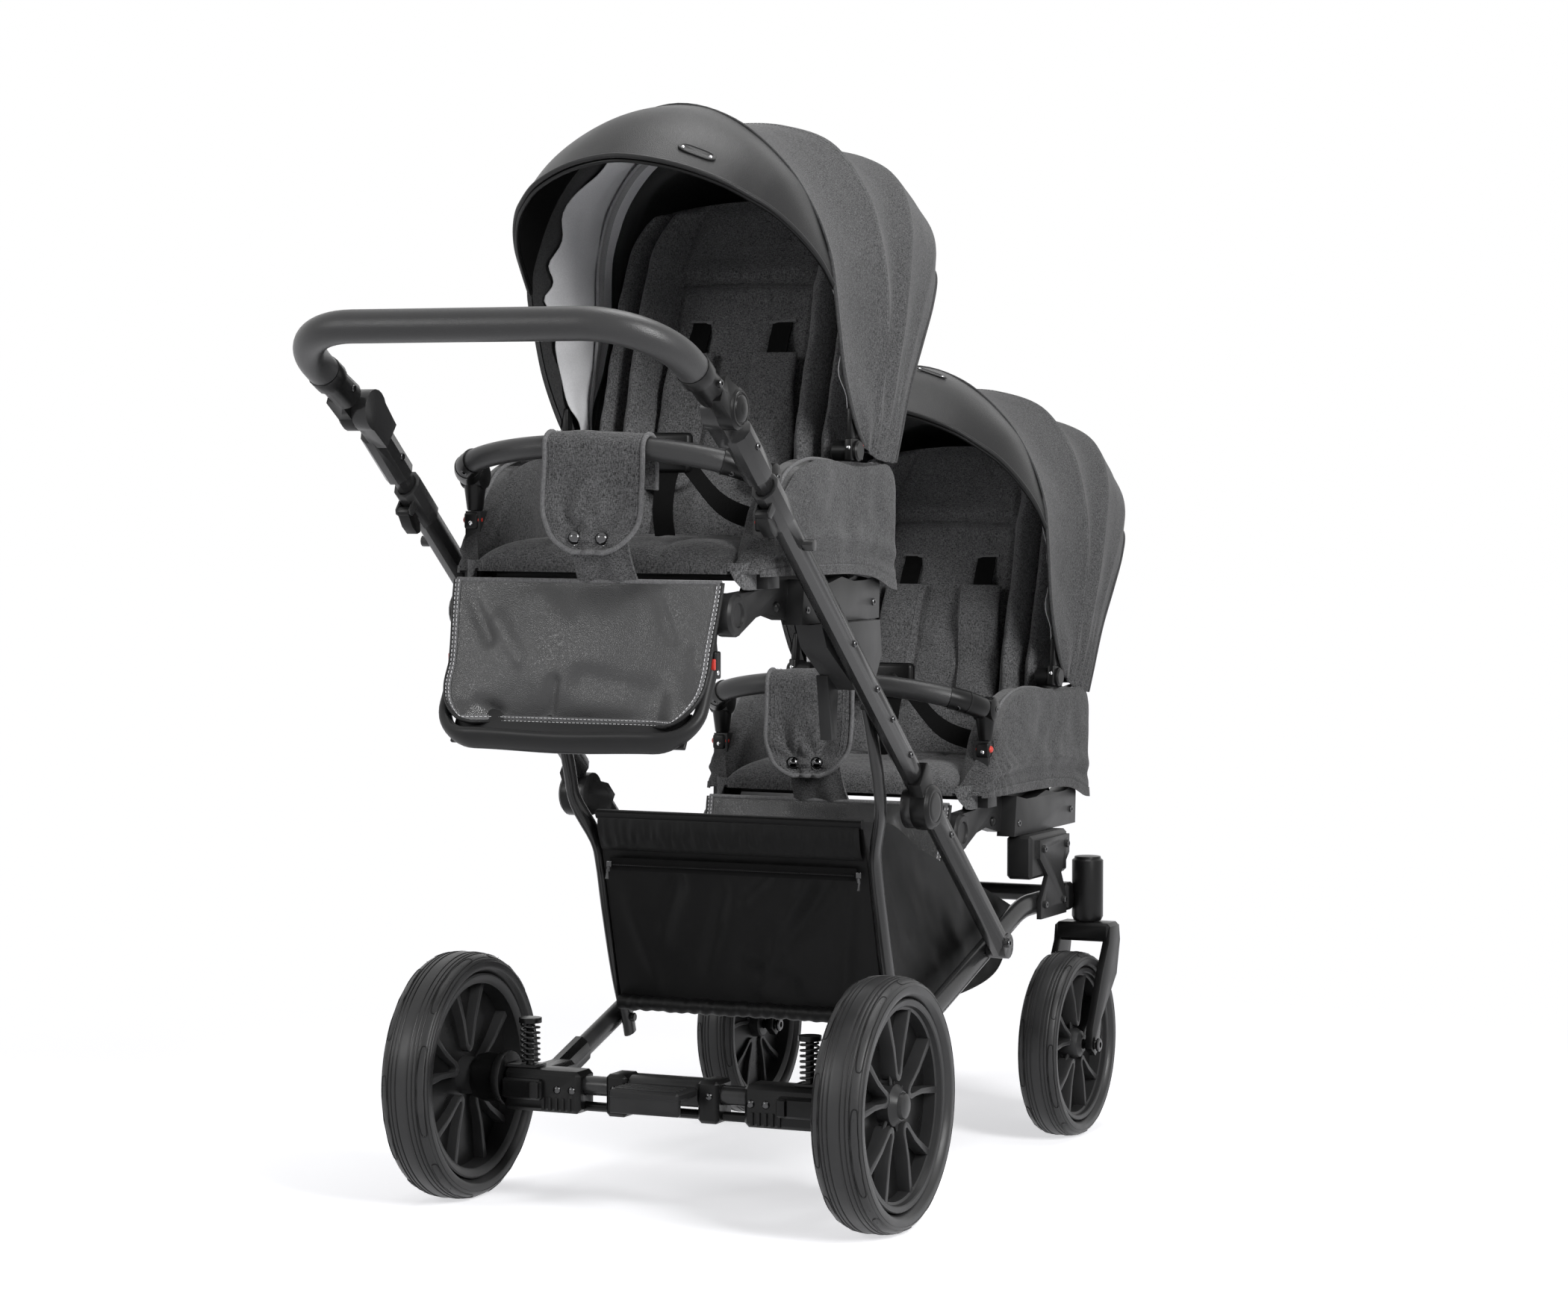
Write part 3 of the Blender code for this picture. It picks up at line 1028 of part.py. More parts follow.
def build_backrest(prefix, seat):
    """A padded back with deep bolsters at its sides and a seam across its upper part."""
    lean = math.radians(RECLINE_DEG)
    up = Vector((0.0, math.sin(lean), math.cos(lean)))
    back = Vector((0.0, math.cos(lean), -math.sin(lean)))
    base = Vector((0.0, *RECLINE_PIVOT))

    def place(u, v, depth):
        height = (v + 1.0) / 2.0
        corner = max(0.0, (height - 0.80) / 0.20)
        half = BACKREST_HALF_WIDTH * (1.0 - 0.26 * corner ** 2.2)
        along = BACKREST_HEIGHT * height - 0.012 * u * u * corner
        return base + Vector((half * u, 0.0, 0.0)) + up * along + back * depth

    def front(u, v):
        height = (v + 1.0) / 2.0
        bolster = smooth_step((abs(u) - 0.60) / 0.20) * (1.0 - smooth_step((abs(u) - 0.90) / 0.14) * 0.35)
        taper = 1.0 - 0.55 * smooth_step((height - 0.45) / 0.5)
        deep = (0.030 + 0.040 * smooth_step(height / 0.25)) * taper
        crown = 0.006 * (1.0 - min(1.0, abs(u) / 0.7) ** 2)
        edge = smooth_step((1.0 - height) / 0.06)
        return place(u, v, -(crown + deep * bolster) * edge)

    def rear(u, v):
        return place(u, v, BACKREST_THICKNESS * (1.0 - 0.35 * max(abs(u), abs(v)) ** 8))

    back_pad = two_skins(14, 7, front, rear)
    add_part(prefix + "_backrest", back_pad, SEAT_FABRIC, seat, (0.0, *RECLINE_PIVOT))


def footrest_point(along, aside=0.0):
    """A point of the footrest's plane: along it from its pivot, and aside towards the front face."""
    angle = math.radians(FOOTREST_DROP_DEG)
    return (FOOTREST_PIVOT[0] - along * math.cos(angle) - aside * math.sin(angle),
            FOOTREST_PIVOT[1] - along * math.sin(angle) + aside * math.cos(angle))


def build_footrest(prefix, seat):
    end = FOOTREST_LENGTH
    half = ARM_INNER_X - SIDE_PLAY - FOOTREST_TUBE_WIDTH / 2.0
    corners = [(half, *footrest_point(0.0)), (half, *footrest_point(end)),
               (-half, *footrest_point(end)), (-half, *footrest_point(0.0))]
    bow = pipe(rounded_path(corners, 0.045, 4), FOOTREST_TUBE_WIDTH / 2.0, resolution=2)
    eyes = []
    for side in (-1.0, 1.0):
        eyes.append(rod((side * (ARM_INNER_X - SIDE_PLAY - FOOTREST_TUBE_WIDTH), *FOOTREST_PIVOT),
                        (side * (ARM_INNER_X - SIDE_PLAY), *FOOTREST_PIVOT), 0.0185, 14))
    board = block((-half, -0.003, 0.0), (half, 0.003, FOOTBOARD_HEIGHT))
    board.transform(Matrix.Rotation(math.radians(90.0 - FOOTREST_DROP_DEG), 4, "X"))
    board.transform(Matrix.Translation((0.0, *footrest_point(end))))
    frame = fused(bow, *eyes, board)
    add_part(prefix + "_footrest", frame, MOULDED_GREY, seat, (0.0, *FOOTREST_PIVOT))


def build_apron(prefix, seat):
    """The leatherette cover over the front of the footrest, hollow between its two arms."""
    pivot_y, pivot_z = FOOTREST_PIVOT
    top_y, top_z = APRON_TOP
    low_z = APRON_BOTTOM_Z
    drop = math.radians(FOOTREST_DROP_DEG)
    drop_slope = 1.0 / math.tan(drop)
    over_arm = FOOTREST_TUBE_WIDTH / 2.0 / math.sin(drop) + APRON_THICKNESS / 2.0 + 0.0005

    def skin(u, v, offset):
        part = (v + 1.0) / 2.0
        corner = max(0.0, 0.32 - part) / 0.32
        edge_rise = 0.030 * max(0.0, abs(u) - 0.72) / 0.28 * corner
        z = low_z + (top_z - low_z) * part + edge_rise
        half = APRON_HALF_WIDTH - 0.018 * corner ** 2.0 - 0.003 * part
        y_flat = top_y - APRON_SLOPE * (top_z - z)
        y_arm = min(y_flat, z * drop_slope - over_arm)
        beside = smooth_step((abs(u) - 0.62) / 0.18)
        dent = 0.0022 * math.cos(5.0 * u + 1.0) * math.sin(math.pi * part) * (1.0 - beside)
        y = y_flat + (y_arm - y_flat) * beside - offset + dent
        return half * u, pivot_y + y, pivot_z + z

    apron = two_skins(12, 5, lambda u, v: skin(u, v, APRON_THICKNESS / 2.0),
                      lambda u, v: skin(u, v, -APRON_THICKNESS / 2.0))
    add_part(prefix + "_apron", apron, LEATHERETTE, seat, (0.0, *FOOTREST_PIVOT))


def bumper_bow():
    """The centre line of the bumper bar, from the right side to the left."""
    bow = []
    for step in range(11):
        turn = math.pi * step / 10.0
        bow.append((BUMPER_X * math.cos(turn), BUMPER_PIVOT[0] - BUMPER_REACH * math.sin(turn) ** 0.75,
                    BUMPER_PIVOT[1] + BUMPER_RISE * math.sin(turn) ** 1.1))
    return bow


def bumper_line(x):
    """The bar's y and z at a place across it."""
    bow = bumper_bow()
    for here, there in zip(bow, bow[1:]):
        if here[0] >= x >= there[0]:
            part = (here[0] - x) / (here[0] - there[0])
            return here[1] + (there[1] - here[1]) * part, here[2] + (there[2] - here[2]) * part
    return BUMPER_PIVOT


def build_bumper(prefix, seat):
    pivot_y, pivot_z = BUMPER_PIVOT
    low = POST_TOP + GAP
    bar = pipe(bumper_bow(), BUMPER_RADIUS, resolution=2)
    parts = [bar]
    for side in (-1.0, 1.0):
        x = side * BUMPER_X
        parts.append(rod((x, pivot_y, pivot_z - 0.002), (x, pivot_y, low), BUMPER_RADIUS - 0.0005,
                         10, 0.0080))
        parts.append(rod((x - 0.0140, pivot_y + 0.0003, pivot_z), (x + 0.0140, pivot_y + 0.0003, pivot_z),
                         BUMPER_RADIUS + 0.0020, 12))
        parts.append(rod((x, pivot_y, low + 0.004), (x, pivot_y, POST_TOP - 0.018), 0.0040, 8))
    add_part(prefix + "_bumper", fused(*parts), MOULDED_BLACK, seat, (0.0, pivot_y, pivot_z))


def build_flap(prefix, seat, middle_x):
    """The crotch flap, which hangs over the bumper bar and down to the cushion."""
    bar_y = BUMPER_PIVOT[0] - BUMPER_REACH
    bar_z = BUMPER_PIVOT[1] + BUMPER_RISE
    thick = 0.0040
    radius = BUMPER_RADIUS + 0.0012 + thick / 2.0
    drop_back = 0.040
    arc = math.pi * radius
    drop_front = 0.124

    def route(run):
        """A side view of the flap: up behind the bar, over it and down in front."""
        if run < drop_back:
            return (bar_y + radius, bar_z - drop_back + run), (1.0, 0.0)
        if run < drop_back + arc:
            turn = (run - drop_back) / radius
            way = (math.cos(turn), math.sin(turn))
            return (bar_y + radius * way[0], bar_z + radius * way[1]), way
        fall = run - drop_back - arc
        return (bar_y - radius, bar_z - fall), (-1.0, 0.0)

    stops = [0.0, drop_back] + [drop_back + arc * step / 5.0 for step in range(1, 6)]
    stops += [drop_back + arc + drop_front * part for part in (0.25, 0.5, 0.64, 0.72, 0.76, 1.0)]
    count = len(stops) - 1

    def skin(u, v, offset):
        run = stops[round((v + 1.0) / 2.0 * count)]
        (y, z), (out_y, out_z) = route(run)
        fall = max(0.0, run - drop_back - arc) / drop_front
        half = FLAP_HALF_WIDTH - 0.020 * smooth_step((fall - 0.50) / 0.24)
        fold = 0.0018 * math.cos(5.5 * u) * smooth_step(fall / 0.3)
        x = middle_x + half * u
        line_y, line_z = bumper_line(x)
        return x, y + line_y - bar_y + out_y * (offset + fold), z + line_z - bar_z + out_z * (offset + fold)

    flap = two_skins(6, count, lambda u, v: skin(u, v, thick / 2.0), lambda u, v: skin(u, v, -thick / 2.0))
    add_part(prefix + "_crotch_flap", flap, SEAT_FABRIC, seat, (0.0, bar_y, bar_z))


def hood_point(u, bow, inset):
    """A point of the hood: u goes over one of its bows from side to side."""
    foot, top, squareness, bend = HOOD_BOWS[bow]
    turn = (1.0 - abs(u)) * math.pi / 2.0
    power = 2.0 / squareness
    across = (HOOD_OUTER_X - inset) * math.cos(turn) ** power if abs(u) > 0.0 else 0.0
    rise = math.sin(turn) ** power
    shrink = 1.0 - inset / math.hypot(*top)
    y = foot[0] + (top[0] * shrink - foot[0]) * rise ** bend
    z = foot[1] + (top[1] * shrink - foot[1]) * rise
    return math.copysign(across, u), HOOD_PIVOT[0] + y, HOOD_PIVOT[1] + z


def build_hood(prefix, seat, extra_turn_deg):
    """A fabric hood on bows: a visor in front, then two panels with a bow between them."""
    pivot = Vector((0.0, *HOOD_PIVOT))
    last = len(HOOD_BOWS) - 1

    def skin(u, v, inset):
        return hood_point(u, round((v + 1.0) / 2.0 * last), inset)

    shell = two_skins(16, last, lambda u, v: skin(u, v, 0.0), lambda u, v: skin(u, v, HOOD_SKIN))
    if extra_turn_deg:
        shell.transform(Matrix.Translation(pivot) @ Matrix.Rotation(-math.radians(extra_turn_deg), 4, "X")
                        @ Matrix.Translation(-pivot))
    stubs = []
    for side in (-1.0, 1.0):
        stubs.append(rod((side * (BACKREST_HALF_WIDTH + GAP), *HOOD_PIVOT),
                         (side * (HOOD_OUTER_X + 0.0015), *HOOD_PIVOT), 0.0120, 12))
    add_part(prefix + "_hood", fused(shell, *stubs), SEAT_FABRIC, seat, (0.0, *HOOD_PIVOT))


def build_seat(prefix, mount, hood_turn_deg, flap_x):
    seat = new_empty(prefix + "_seat_mount", mount[0], mount[1], CHASSIS)
    build_seat_frame(prefix, seat)
    build_seat_pad(prefix, seat)
    build_backrest(prefix, seat)
    build_footrest(prefix, seat)
    build_apron(prefix, seat)
    build_bumper(prefix, seat)
    build_flap(prefix, seat, flap_x)
    build_hood(prefix, seat, hood_turn_deg)


# Values that follow from the driving dimensions
BOTTOM_X = MAIN_X - MAIN_WIDTH / 2.0 - SIDE_PLAY - BOTTOM_WIDTH / 2.0
LEG_X = BOTTOM_X - BOTTOM_WIDTH / 2.0 - SIDE_PLAY - LEG_WIDTH / 2.0
LEG_TOP_X = MAIN_X - MAIN_WIDTH / 2.0 - SIDE_PLAY - LEG_WIDTH / 2.0
SPRING_SEAT_Z = HOUSING_TOP + GAP + SPRING_PLATE_THICKNESS
ADAPTER_TOP = -0.0293
TONGUE_X = ARM_OUTER_X + 0.007
POST_TOP = BUMPER_PIVOT[1] - 0.040
LOW_SEAT_MOUNT = (HIGH_SEAT_MOUNT[0] + SEAT_STEP[0], HIGH_SEAT_MOUNT[1] + SEAT_STEP[1])

clear_scene()
PARTS = new_collection("double_stroller")
RUBBER = new_material("tyre rubber", (0.030, 0.030, 0.032), 0.75)
RIM_GREY = new_material("rim plastic", (0.060, 0.060, 0.063), 0.45)
TUBE_BLACK = new_material("coated tube", (0.028, 0.028, 0.030), 0.35, 0.6)
MOULDED_BLACK = new_material("black plastic", (0.030, 0.030, 0.032), 0.50)
MOULDED_GREY = new_material("dark grey plastic", (0.085, 0.085, 0.090), 0.50)
SPRING_STEEL = new_material("dark spring steel", (0.060, 0.060, 0.060), 0.30, 1.0)
LEATHERETTE = new_material("dark leatherette", (0.070, 0.070, 0.072), 0.55)
SEAT_FABRIC = new_material("seat fabric", (0.105, 0.105, 0.110), 0.95)
BASKET_FABRIC = new_material("basket fabric", (0.018, 0.018, 0.019), 0.85)

CHASSIS = new_empty("chassis_origin", REAR_AXLE_Y, 0.0)
build_rear_wheels()
build_front_wheels()
build_forks()
build_heads()
build_bottom_tubes()
build_rear_axle()
build_hub_carriers()
build_springs()
build_brake()
build_lower_tubes()
build_upper_tubes()
build_rear_legs()
build_telescope()
build_handle()
build_clamp_levers()
build_high_adapters()
build_low_adapters()
build_basket()
build_seat("high", HIGH_SEAT_MOUNT, 0.0, HIGH_FLAP_X)
build_seat("low", LOW_SEAT_MOUNT, LOW_HOOD_TURN_DEG, LOW_FLAP_X)
bpy.context.view_layer.update()
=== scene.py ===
# %% [markdown]
# # A tandem pushchair for two children
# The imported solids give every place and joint. This script dresses them: tubes and wheels are turned and
# swept with Blender's own operators, the fabric is laid over the bows, and each finish gets its own nodes.
# %% Load the frame
import json
import math
import bmesh
import bpy
from mathutils import Matrix, Vector, noise

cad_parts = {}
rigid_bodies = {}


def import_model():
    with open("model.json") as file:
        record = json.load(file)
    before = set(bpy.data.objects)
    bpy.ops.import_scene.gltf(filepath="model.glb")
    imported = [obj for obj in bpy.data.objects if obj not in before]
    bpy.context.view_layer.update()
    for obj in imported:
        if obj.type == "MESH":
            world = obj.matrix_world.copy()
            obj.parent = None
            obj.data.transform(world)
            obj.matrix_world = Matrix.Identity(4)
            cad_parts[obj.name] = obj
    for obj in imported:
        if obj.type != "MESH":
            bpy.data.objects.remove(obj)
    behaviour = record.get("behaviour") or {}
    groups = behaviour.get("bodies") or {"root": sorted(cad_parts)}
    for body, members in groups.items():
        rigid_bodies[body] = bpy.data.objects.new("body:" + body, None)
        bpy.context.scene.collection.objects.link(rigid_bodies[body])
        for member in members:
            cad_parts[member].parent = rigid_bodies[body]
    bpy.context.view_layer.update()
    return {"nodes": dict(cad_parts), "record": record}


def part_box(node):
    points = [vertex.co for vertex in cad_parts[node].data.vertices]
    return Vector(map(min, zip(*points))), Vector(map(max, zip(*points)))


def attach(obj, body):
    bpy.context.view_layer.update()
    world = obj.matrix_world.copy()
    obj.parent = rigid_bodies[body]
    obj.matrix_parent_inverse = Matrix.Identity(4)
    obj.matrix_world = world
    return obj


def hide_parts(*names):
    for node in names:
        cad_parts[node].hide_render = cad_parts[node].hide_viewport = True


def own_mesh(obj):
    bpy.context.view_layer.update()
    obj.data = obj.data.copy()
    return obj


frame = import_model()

BODY_OF = {node: body for body, nodes in frame["record"]["behaviour"]["bodies"].items() for node in nodes}
AXLE = sum(corner.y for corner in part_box("rear_axle_tube")) / 2.0
CHASSIS = Vector((0.0, AXLE, 0.0))
HIGH = CHASSIS + Vector((0.0, 0.030, 0.715))
LOW = HIGH + Vector((0.0, 0.657, -0.294))
SEATS = {"high": HIGH, "low": LOW}

# %% [markdown]
# ## Node tools
# A material is a small tree. These helpers add a node with its values or links in one line, and make a
# shared effect as a node group with named sockets, so that every finish below stays readable.
# %% Node helpers


def add_node(tree, kind, inputs=None, **settings):
    """Adds a shader node; a socket as a value makes a link, anything else a default."""
    node = tree.nodes.new("ShaderNode" + kind)
    for key, value in settings.items():
        setattr(node, key, value)
    for key, value in (inputs or {}).items():
        if isinstance(value, bpy.types.NodeSocket):
            tree.links.new(value, node.inputs[key])
        else:
            node.inputs[key].default_value = value
    return node


def start_group(name, inputs, outputs):
    """A node group that is given a place and some values, with the sockets at its two ends."""
    tree = bpy.data.node_groups.new(name, "ShaderNodeTree")
    tree.interface.new_socket("Vector", in_out="INPUT", socket_type="NodeSocketVector")
    for label, (kind, value) in inputs.items():
        socket = tree.interface.new_socket(label, in_out="INPUT", socket_type="NodeSocket" + kind)
        socket.default_value = value
    for label, kind in outputs.items():
        tree.interface.new_socket(label, in_out="OUTPUT", socket_type="NodeSocket" + kind)
    return tree, tree.nodes.new("NodeGroupInput").outputs, tree.nodes.new("NodeGroupOutput").inputs


def give(tree, out, **results):
    """Links a group's results to the sockets that it puts out."""
    for label, result in results.items():
        tree.links.new(result, out[label])
    return tree


def scaled_noise(tree, vector, scale, detail=2.0):
    """Noise whose grain has its own density along X, Y and Z."""
    stretch = add_node(tree, "Mapping", {"Vector": vector, "Scale": scale})
    return add_node(tree, "TexNoise", {"Vector": stretch.outputs[0], "Scale": 1.0,
                                       "Detail": detail}).outputs["Fac"]


# %% [markdown]
# ## Shared effects
# Melange cloth is spun from light and dark fibres, so short streaks run along both threads. Leather has a
# cell grain, moulded plastic a fine spark finish, and every part that gets handled is paler on its edges.
# %% Effect groups


def melange_group():
    tree, given, out = start_group("melange cloth", {"Light": ("Color", (0.16, 0.16, 0.16, 1)),
                                                     "Dark": ("Color", (0.05, 0.05, 0.05, 1))},
                                   {"Colour": "Color", "Height": "Float"})
    upright = scaled_noise(tree, given["Vector"], (1300.0, 1300.0, 300.0), 2.5)
    level = scaled_noise(tree, given["Vector"], (320.0, 320.0, 1300.0), 2.5)
    cloud = scaled_noise(tree, given["Vector"], (9.0, 9.0, 9.0), 2.0)
    threads = add_node(tree, "Mix", {0: 0.42, 2: upright, 3: level}).outputs[0]
    mixed = add_node(tree, "Math", {0: cloud, 1: 0.06, 2: threads}, operation="MULTIPLY_ADD").outputs[0]
    ramp = add_node(tree, "MapRange", {"Value": mixed, "From Min": 0.40, "From Max": 0.68}).outputs[0]
    colour = add_node(tree, "Mix", {0: ramp, 6: given["Dark"], 7: given["Light"]},
                      data_type="RGBA").outputs[2]
    return give(tree, out, Colour=colour, Height=threads)


def leather_group():
    tree, given, out = start_group("leather grain", {"Cells": ("Float", 620.0)},
                                   {"Height": "Float", "Patches": "Float"})
    cells = add_node(tree, "TexVoronoi", {"Vector": given["Vector"], "Scale": given["Cells"]},
                     feature="DISTANCE_TO_EDGE").outputs["Distance"]
    round_cells = add_node(tree, "MapRange", {"Value": cells, "From Max": 0.35}).outputs[0]
    patches = scaled_noise(tree, given["Vector"], (14.0, 14.0, 14.0), 3.0)
    return give(tree, out, Height=round_cells, Patches=patches)


def moulded_group():
    tree, given, out = start_group("moulded skin", {"Fineness": ("Float", 1500.0)},
                                   {"Height": "Float", "Wear": "Float", "Patches": "Float"})
    spark = add_node(tree, "TexNoise", {"Vector": given["Vector"], "Scale": given["Fineness"], "Detail": 1.0})
    patches = scaled_noise(tree, given["Vector"], (22.0, 22.0, 22.0), 3.0)
    edge = add_node(tree, "NewGeometry").outputs["Pointiness"]
    worn = add_node(tree, "MapRange", {"Value": edge, "From Min": 0.515, "From Max": 0.60}).outputs[0]
    broken = add_node(tree, "Math", {0: worn, 1: patches}, operation="MULTIPLY").outputs[0]
    return give(tree, out, Height=spark.outputs["Fac"], Wear=broken, Patches=patches)


def twill_group():
    tree, given, out = start_group("bag twill", {"Pitch": ("Float", 900.0)},
                                   {"Height": "Float", "Patches": "Float"})
    turned = add_node(tree, "Mapping", {"Vector": given["Vector"], "Rotation": (0.6, 0.0, 0.7)}).outputs[0]
    ribs = add_node(tree, "TexWave", {"Vector": turned, "Scale": given["Pitch"],
                                      "Distortion": 0.4}).outputs["Fac"]
    return give(tree, out, Height=ribs, Patches=scaled_noise(tree, given["Vector"], (16.0, 16.0, 16.0), 3.0))


MELANGE = melange_group()
LEATHER = leather_group()
MOULDED = moulded_group()
TWILL = twill_group()
print("shared effects", [tree.name for tree in (MELANGE, LEATHER, MOULDED, TWILL)])

# %% [markdown]
# ## The finishes
# Each finish is one Principled shader fed by an effect. Only what changes over the surface is linked; values
# that are the same everywhere, such as sheen, are set on the shader's own socket.
# %% Finish makers


def grey(value):
    return (value, value, value * 1.02, 1.0)


def start_material(name, effect, **values):
    made = bpy.data.materials.new(name)
    made.use_nodes = True
    tree = made.node_tree
    shader = tree.nodes["Principled BSDF"]
    place = add_node(tree, "TexCoord").outputs["Object"]
    group = tree.nodes.new("ShaderNodeGroup")
    group.node_tree = effect
    tree.links.new(place, group.inputs["Vector"])
    for key, value in values.items():
        shader.inputs[key.replace("_", " ")].default_value = value
    return made, tree, shader, group


def raise_surface(tree, shader, height, strength, distance):
    bump = add_node(tree, "Bump", {"Height": height, "Strength": strength, "Distance": distance})
    tree.links.new(bump.outputs[0], shader.inputs["Normal"])


def cloth_finish(name, light, dark, strength=0.5):
    made, tree, shader, group = start_material(name, MELANGE, Roughness=0.95, Sheen_Weight=0.18,
                                               Sheen_Roughness=0.5, Specular_IOR_Level=0.15)
    group.inputs["Light"].default_value = grey(light)
    group.inputs["Dark"].default_value = grey(dark)
    tree.links.new(group.outputs["Colour"], shader.inputs["Base Color"])
    raise_surface(tree, shader, group.outputs["Height"], strength, 0.0006)
    return made


def patched_finish(name, effect, base, spread, rough, rough_spread, strength, distance, wear=0.0, **values):
    """A finish whose colour and gloss drift in soft patches, and whose edges may be paler."""
    made, tree, shader, group = start_material(name, effect, **values)
    low = grey(base * (1.0 - spread))
    high = grey(base * (1.0 + spread))
    colour = add_node(tree, "Mix", {0: group.outputs["Patches"], 6: low, 7: high},
                      data_type="RGBA").outputs[2]
    if wear:
        mask = add_node(tree, "Math", {0: group.outputs["Wear"], 1: wear}, operation="MULTIPLY").outputs[0]
        colour = add_node(tree, "Mix", {0: mask, 6: colour, 7: grey(base * 3.0 + 0.03)},
                          data_type="RGBA").outputs[2]
    gloss = add_node(tree, "MapRange", {"Value": group.outputs["Patches"], "From Min": 0.3, "From Max": 0.7,
                                        "To Min": rough - rough_spread,
                                        "To Max": rough + rough_spread}).outputs[0]
    tree.links.new(colour, shader.inputs["Base Color"])
    tree.links.new(gloss, shader.inputs["Roughness"])
    raise_surface(tree, shader, group.outputs["Height"], strength, distance)
    return made


# %% The finishes of this pushchair
# One melange fabric in two copies: the seat's is paler as painted light on the shaded inner parts, the hood's
# darker as painted shade on the lit hood and wings.
SEAT_CLOTH_PAINTED_LIGHT = cloth_finish("seat fabric melange with painted light", 0.215, 0.024)
HOOD_CLOTH_PAINTED_SHADE = cloth_finish("hood fabric melange with painted shade", 0.145, 0.016)
EDGE_TAPE = cloth_finish("edge binding", 0.230, 0.110, 0.3)
DARK_TAPE = cloth_finish("dark seam tape", 0.085, 0.035, 0.3)
LINING = cloth_finish("hood lining", 0.92, 0.80, 0.2)
BOW_TAPE = cloth_finish("bow tape", 0.48, 0.36, 0.2)
LINING_DARK = cloth_finish("hood lining grey", 0.060, 0.025, 0.2)
LEATHERETTE = patched_finish("dark leatherette finish", LEATHER, 0.018, 0.14, 0.36, 0.05, 0.30, 0.0004,
                             Specular_IOR_Level=0.20)
APRON_LEATHER = patched_finish("apron leatherette finish", LEATHER, 0.034, 0.16, 0.31, 0.05, 0.35, 0.0005,
                               Specular_IOR_Level=0.60)
GRIP_LEATHER = patched_finish("grip leatherette finish", LEATHER, 0.038, 0.14, 0.34, 0.05, 0.28, 0.0003,
                              Specular_IOR_Level=0.34)
TUBE_COAT = patched_finish("coated tube finish", MOULDED, 0.017, 0.18, 0.24, 0.03, 0.06, 0.0001,
                           wear=0.5, Specular_IOR_Level=0.34)
BLACK_PLASTIC = patched_finish("black plastic finish", MOULDED, 0.0045, 0.25, 0.32, 0.06, 0.20, 0.0002,
                               wear=0.3, Specular_IOR_Level=0.20)
GREY_PLASTIC = patched_finish("dark grey plastic finish", MOULDED, 0.016, 0.18, 0.38, 0.05, 0.22, 0.0002,
                              wear=0.3, Specular_IOR_Level=0.20)
RIM_PLASTIC = patched_finish("rim plastic finish", MOULDED, 0.030, 0.15, 0.36, 0.05, 0.15, 0.0002,
                             wear=0.2, Specular_IOR_Level=0.20)
TYRE_RUBBER = patched_finish("tyre rubber finish", MOULDED, 0.030, 0.35, 0.38, 0.10, 0.30, 0.0003,
                             wear=0.06, Specular_IOR_Level=0.30)
BAG_CLOTH = patched_finish("basket fabric finish", TWILL, 0.0024, 0.30, 0.40, 0.05, 0.25, 0.0003,
                           Specular_IOR_Level=0.17)
WEBBING = patched_finish("belt webbing", TWILL, 0.005, 0.20, 0.80, 0.05, 0.60, 0.0006,
                         Specular_IOR_Level=0.10)
SPRING_STEEL = patched_finish("spring steel finish", MOULDED, 0.030, 0.20, 0.28, 0.05, 0.05, 0.0001,
                              Metallic=0.5, Specular_IOR_Level=0.30)
DARK_METAL = patched_finish("screw metal", MOULDED, 0.075, 0.20, 0.22, 0.06, 0.05, 0.0001, Metallic=0.95)
DARK_CHROME = patched_finish("dark mirror snap", MOULDED, 0.10, 0.10, 0.06, 0.02, 0.02, 0.0001, Metallic=1.0)
BRIGHT_METAL = patched_finish("nickel", MOULDED, 0.55, 0.10, 0.14, 0.04, 0.02, 0.0001, Metallic=1.0)
RED_PLASTIC = patched_finish("red button", MOULDED, 0.30, 0.10, 0.35, 0.05, 0.10, 0.0001)
for node in RED_PLASTIC.node_tree.nodes:
    if node.bl_idname == "ShaderNodeMix":
        node.inputs[6].default_value = (0.55, 0.035, 0.025, 1.0)
        node.inputs[7].default_value = (0.75, 0.060, 0.040, 1.0)
SLOTS = {"seat fabric": (SEAT_CLOTH_PAINTED_LIGHT, HOOD_CLOTH_PAINTED_SHADE, EDGE_TAPE, DARK_TAPE, LINING, BOW_TAPE, LINING_DARK),
         "dark leatherette": (LEATHERETTE, APRON_LEATHER, GRIP_LEATHER),
         "basket fabric": (BAG_CLOTH, WEBBING),
         "coated tube": (TUBE_COAT,), "rim plastic": (RIM_PLASTIC,), "tyre rubber": (TYRE_RUBBER,),
         "black plastic": (BLACK_PLASTIC, RED_PLASTIC), "dark grey plastic": (GREY_PLASTIC,),
         "dark spring steel": (SPRING_STEEL, DARK_METAL, DARK_CHROME, BRIGHT_METAL)}
SLOT_OF = {finish.name: slot for slot, finishes in SLOTS.items() for finish in finishes}
HARD_SLOTS = ("black plastic", "dark grey plastic", "dark spring steel")
print("finishes", len(bpy.data.materials))

# %% [markdown]
# ## Finishing a piece
# However a piece is modelled, it ends the same way: a name, a finish, smooth shading with sharp corners kept,
# its place put into its mesh, and the body it moves with. `done` does that in one call, and `maker` gives a
# shorter call to all pieces that share a body.
# %% Piece helpers


def pick(*pieces):
    bpy.ops.object.select_all(action="DESELECT")
    for piece in pieces:
        piece.select_set(True)
    bpy.context.view_layer.objects.active = pieces[0]


def settle(piece):
    """Puts a piece's own place, turn and size into its mesh."""
    pick(piece)
    bpy.ops.object.transform_apply(location=True, rotation=True, scale=True)
    return piece


def edited(piece, *actions):
    """Runs edit-mode actions on the whole mesh of a piece."""
    pick(piece)
    bpy.ops.object.mode_set(mode="EDIT")
    bpy.ops.mesh.select_all(action="SELECT")
    for action in actions:
        action()
    bpy.ops.object.mode_set(mode="OBJECT")
    return piece


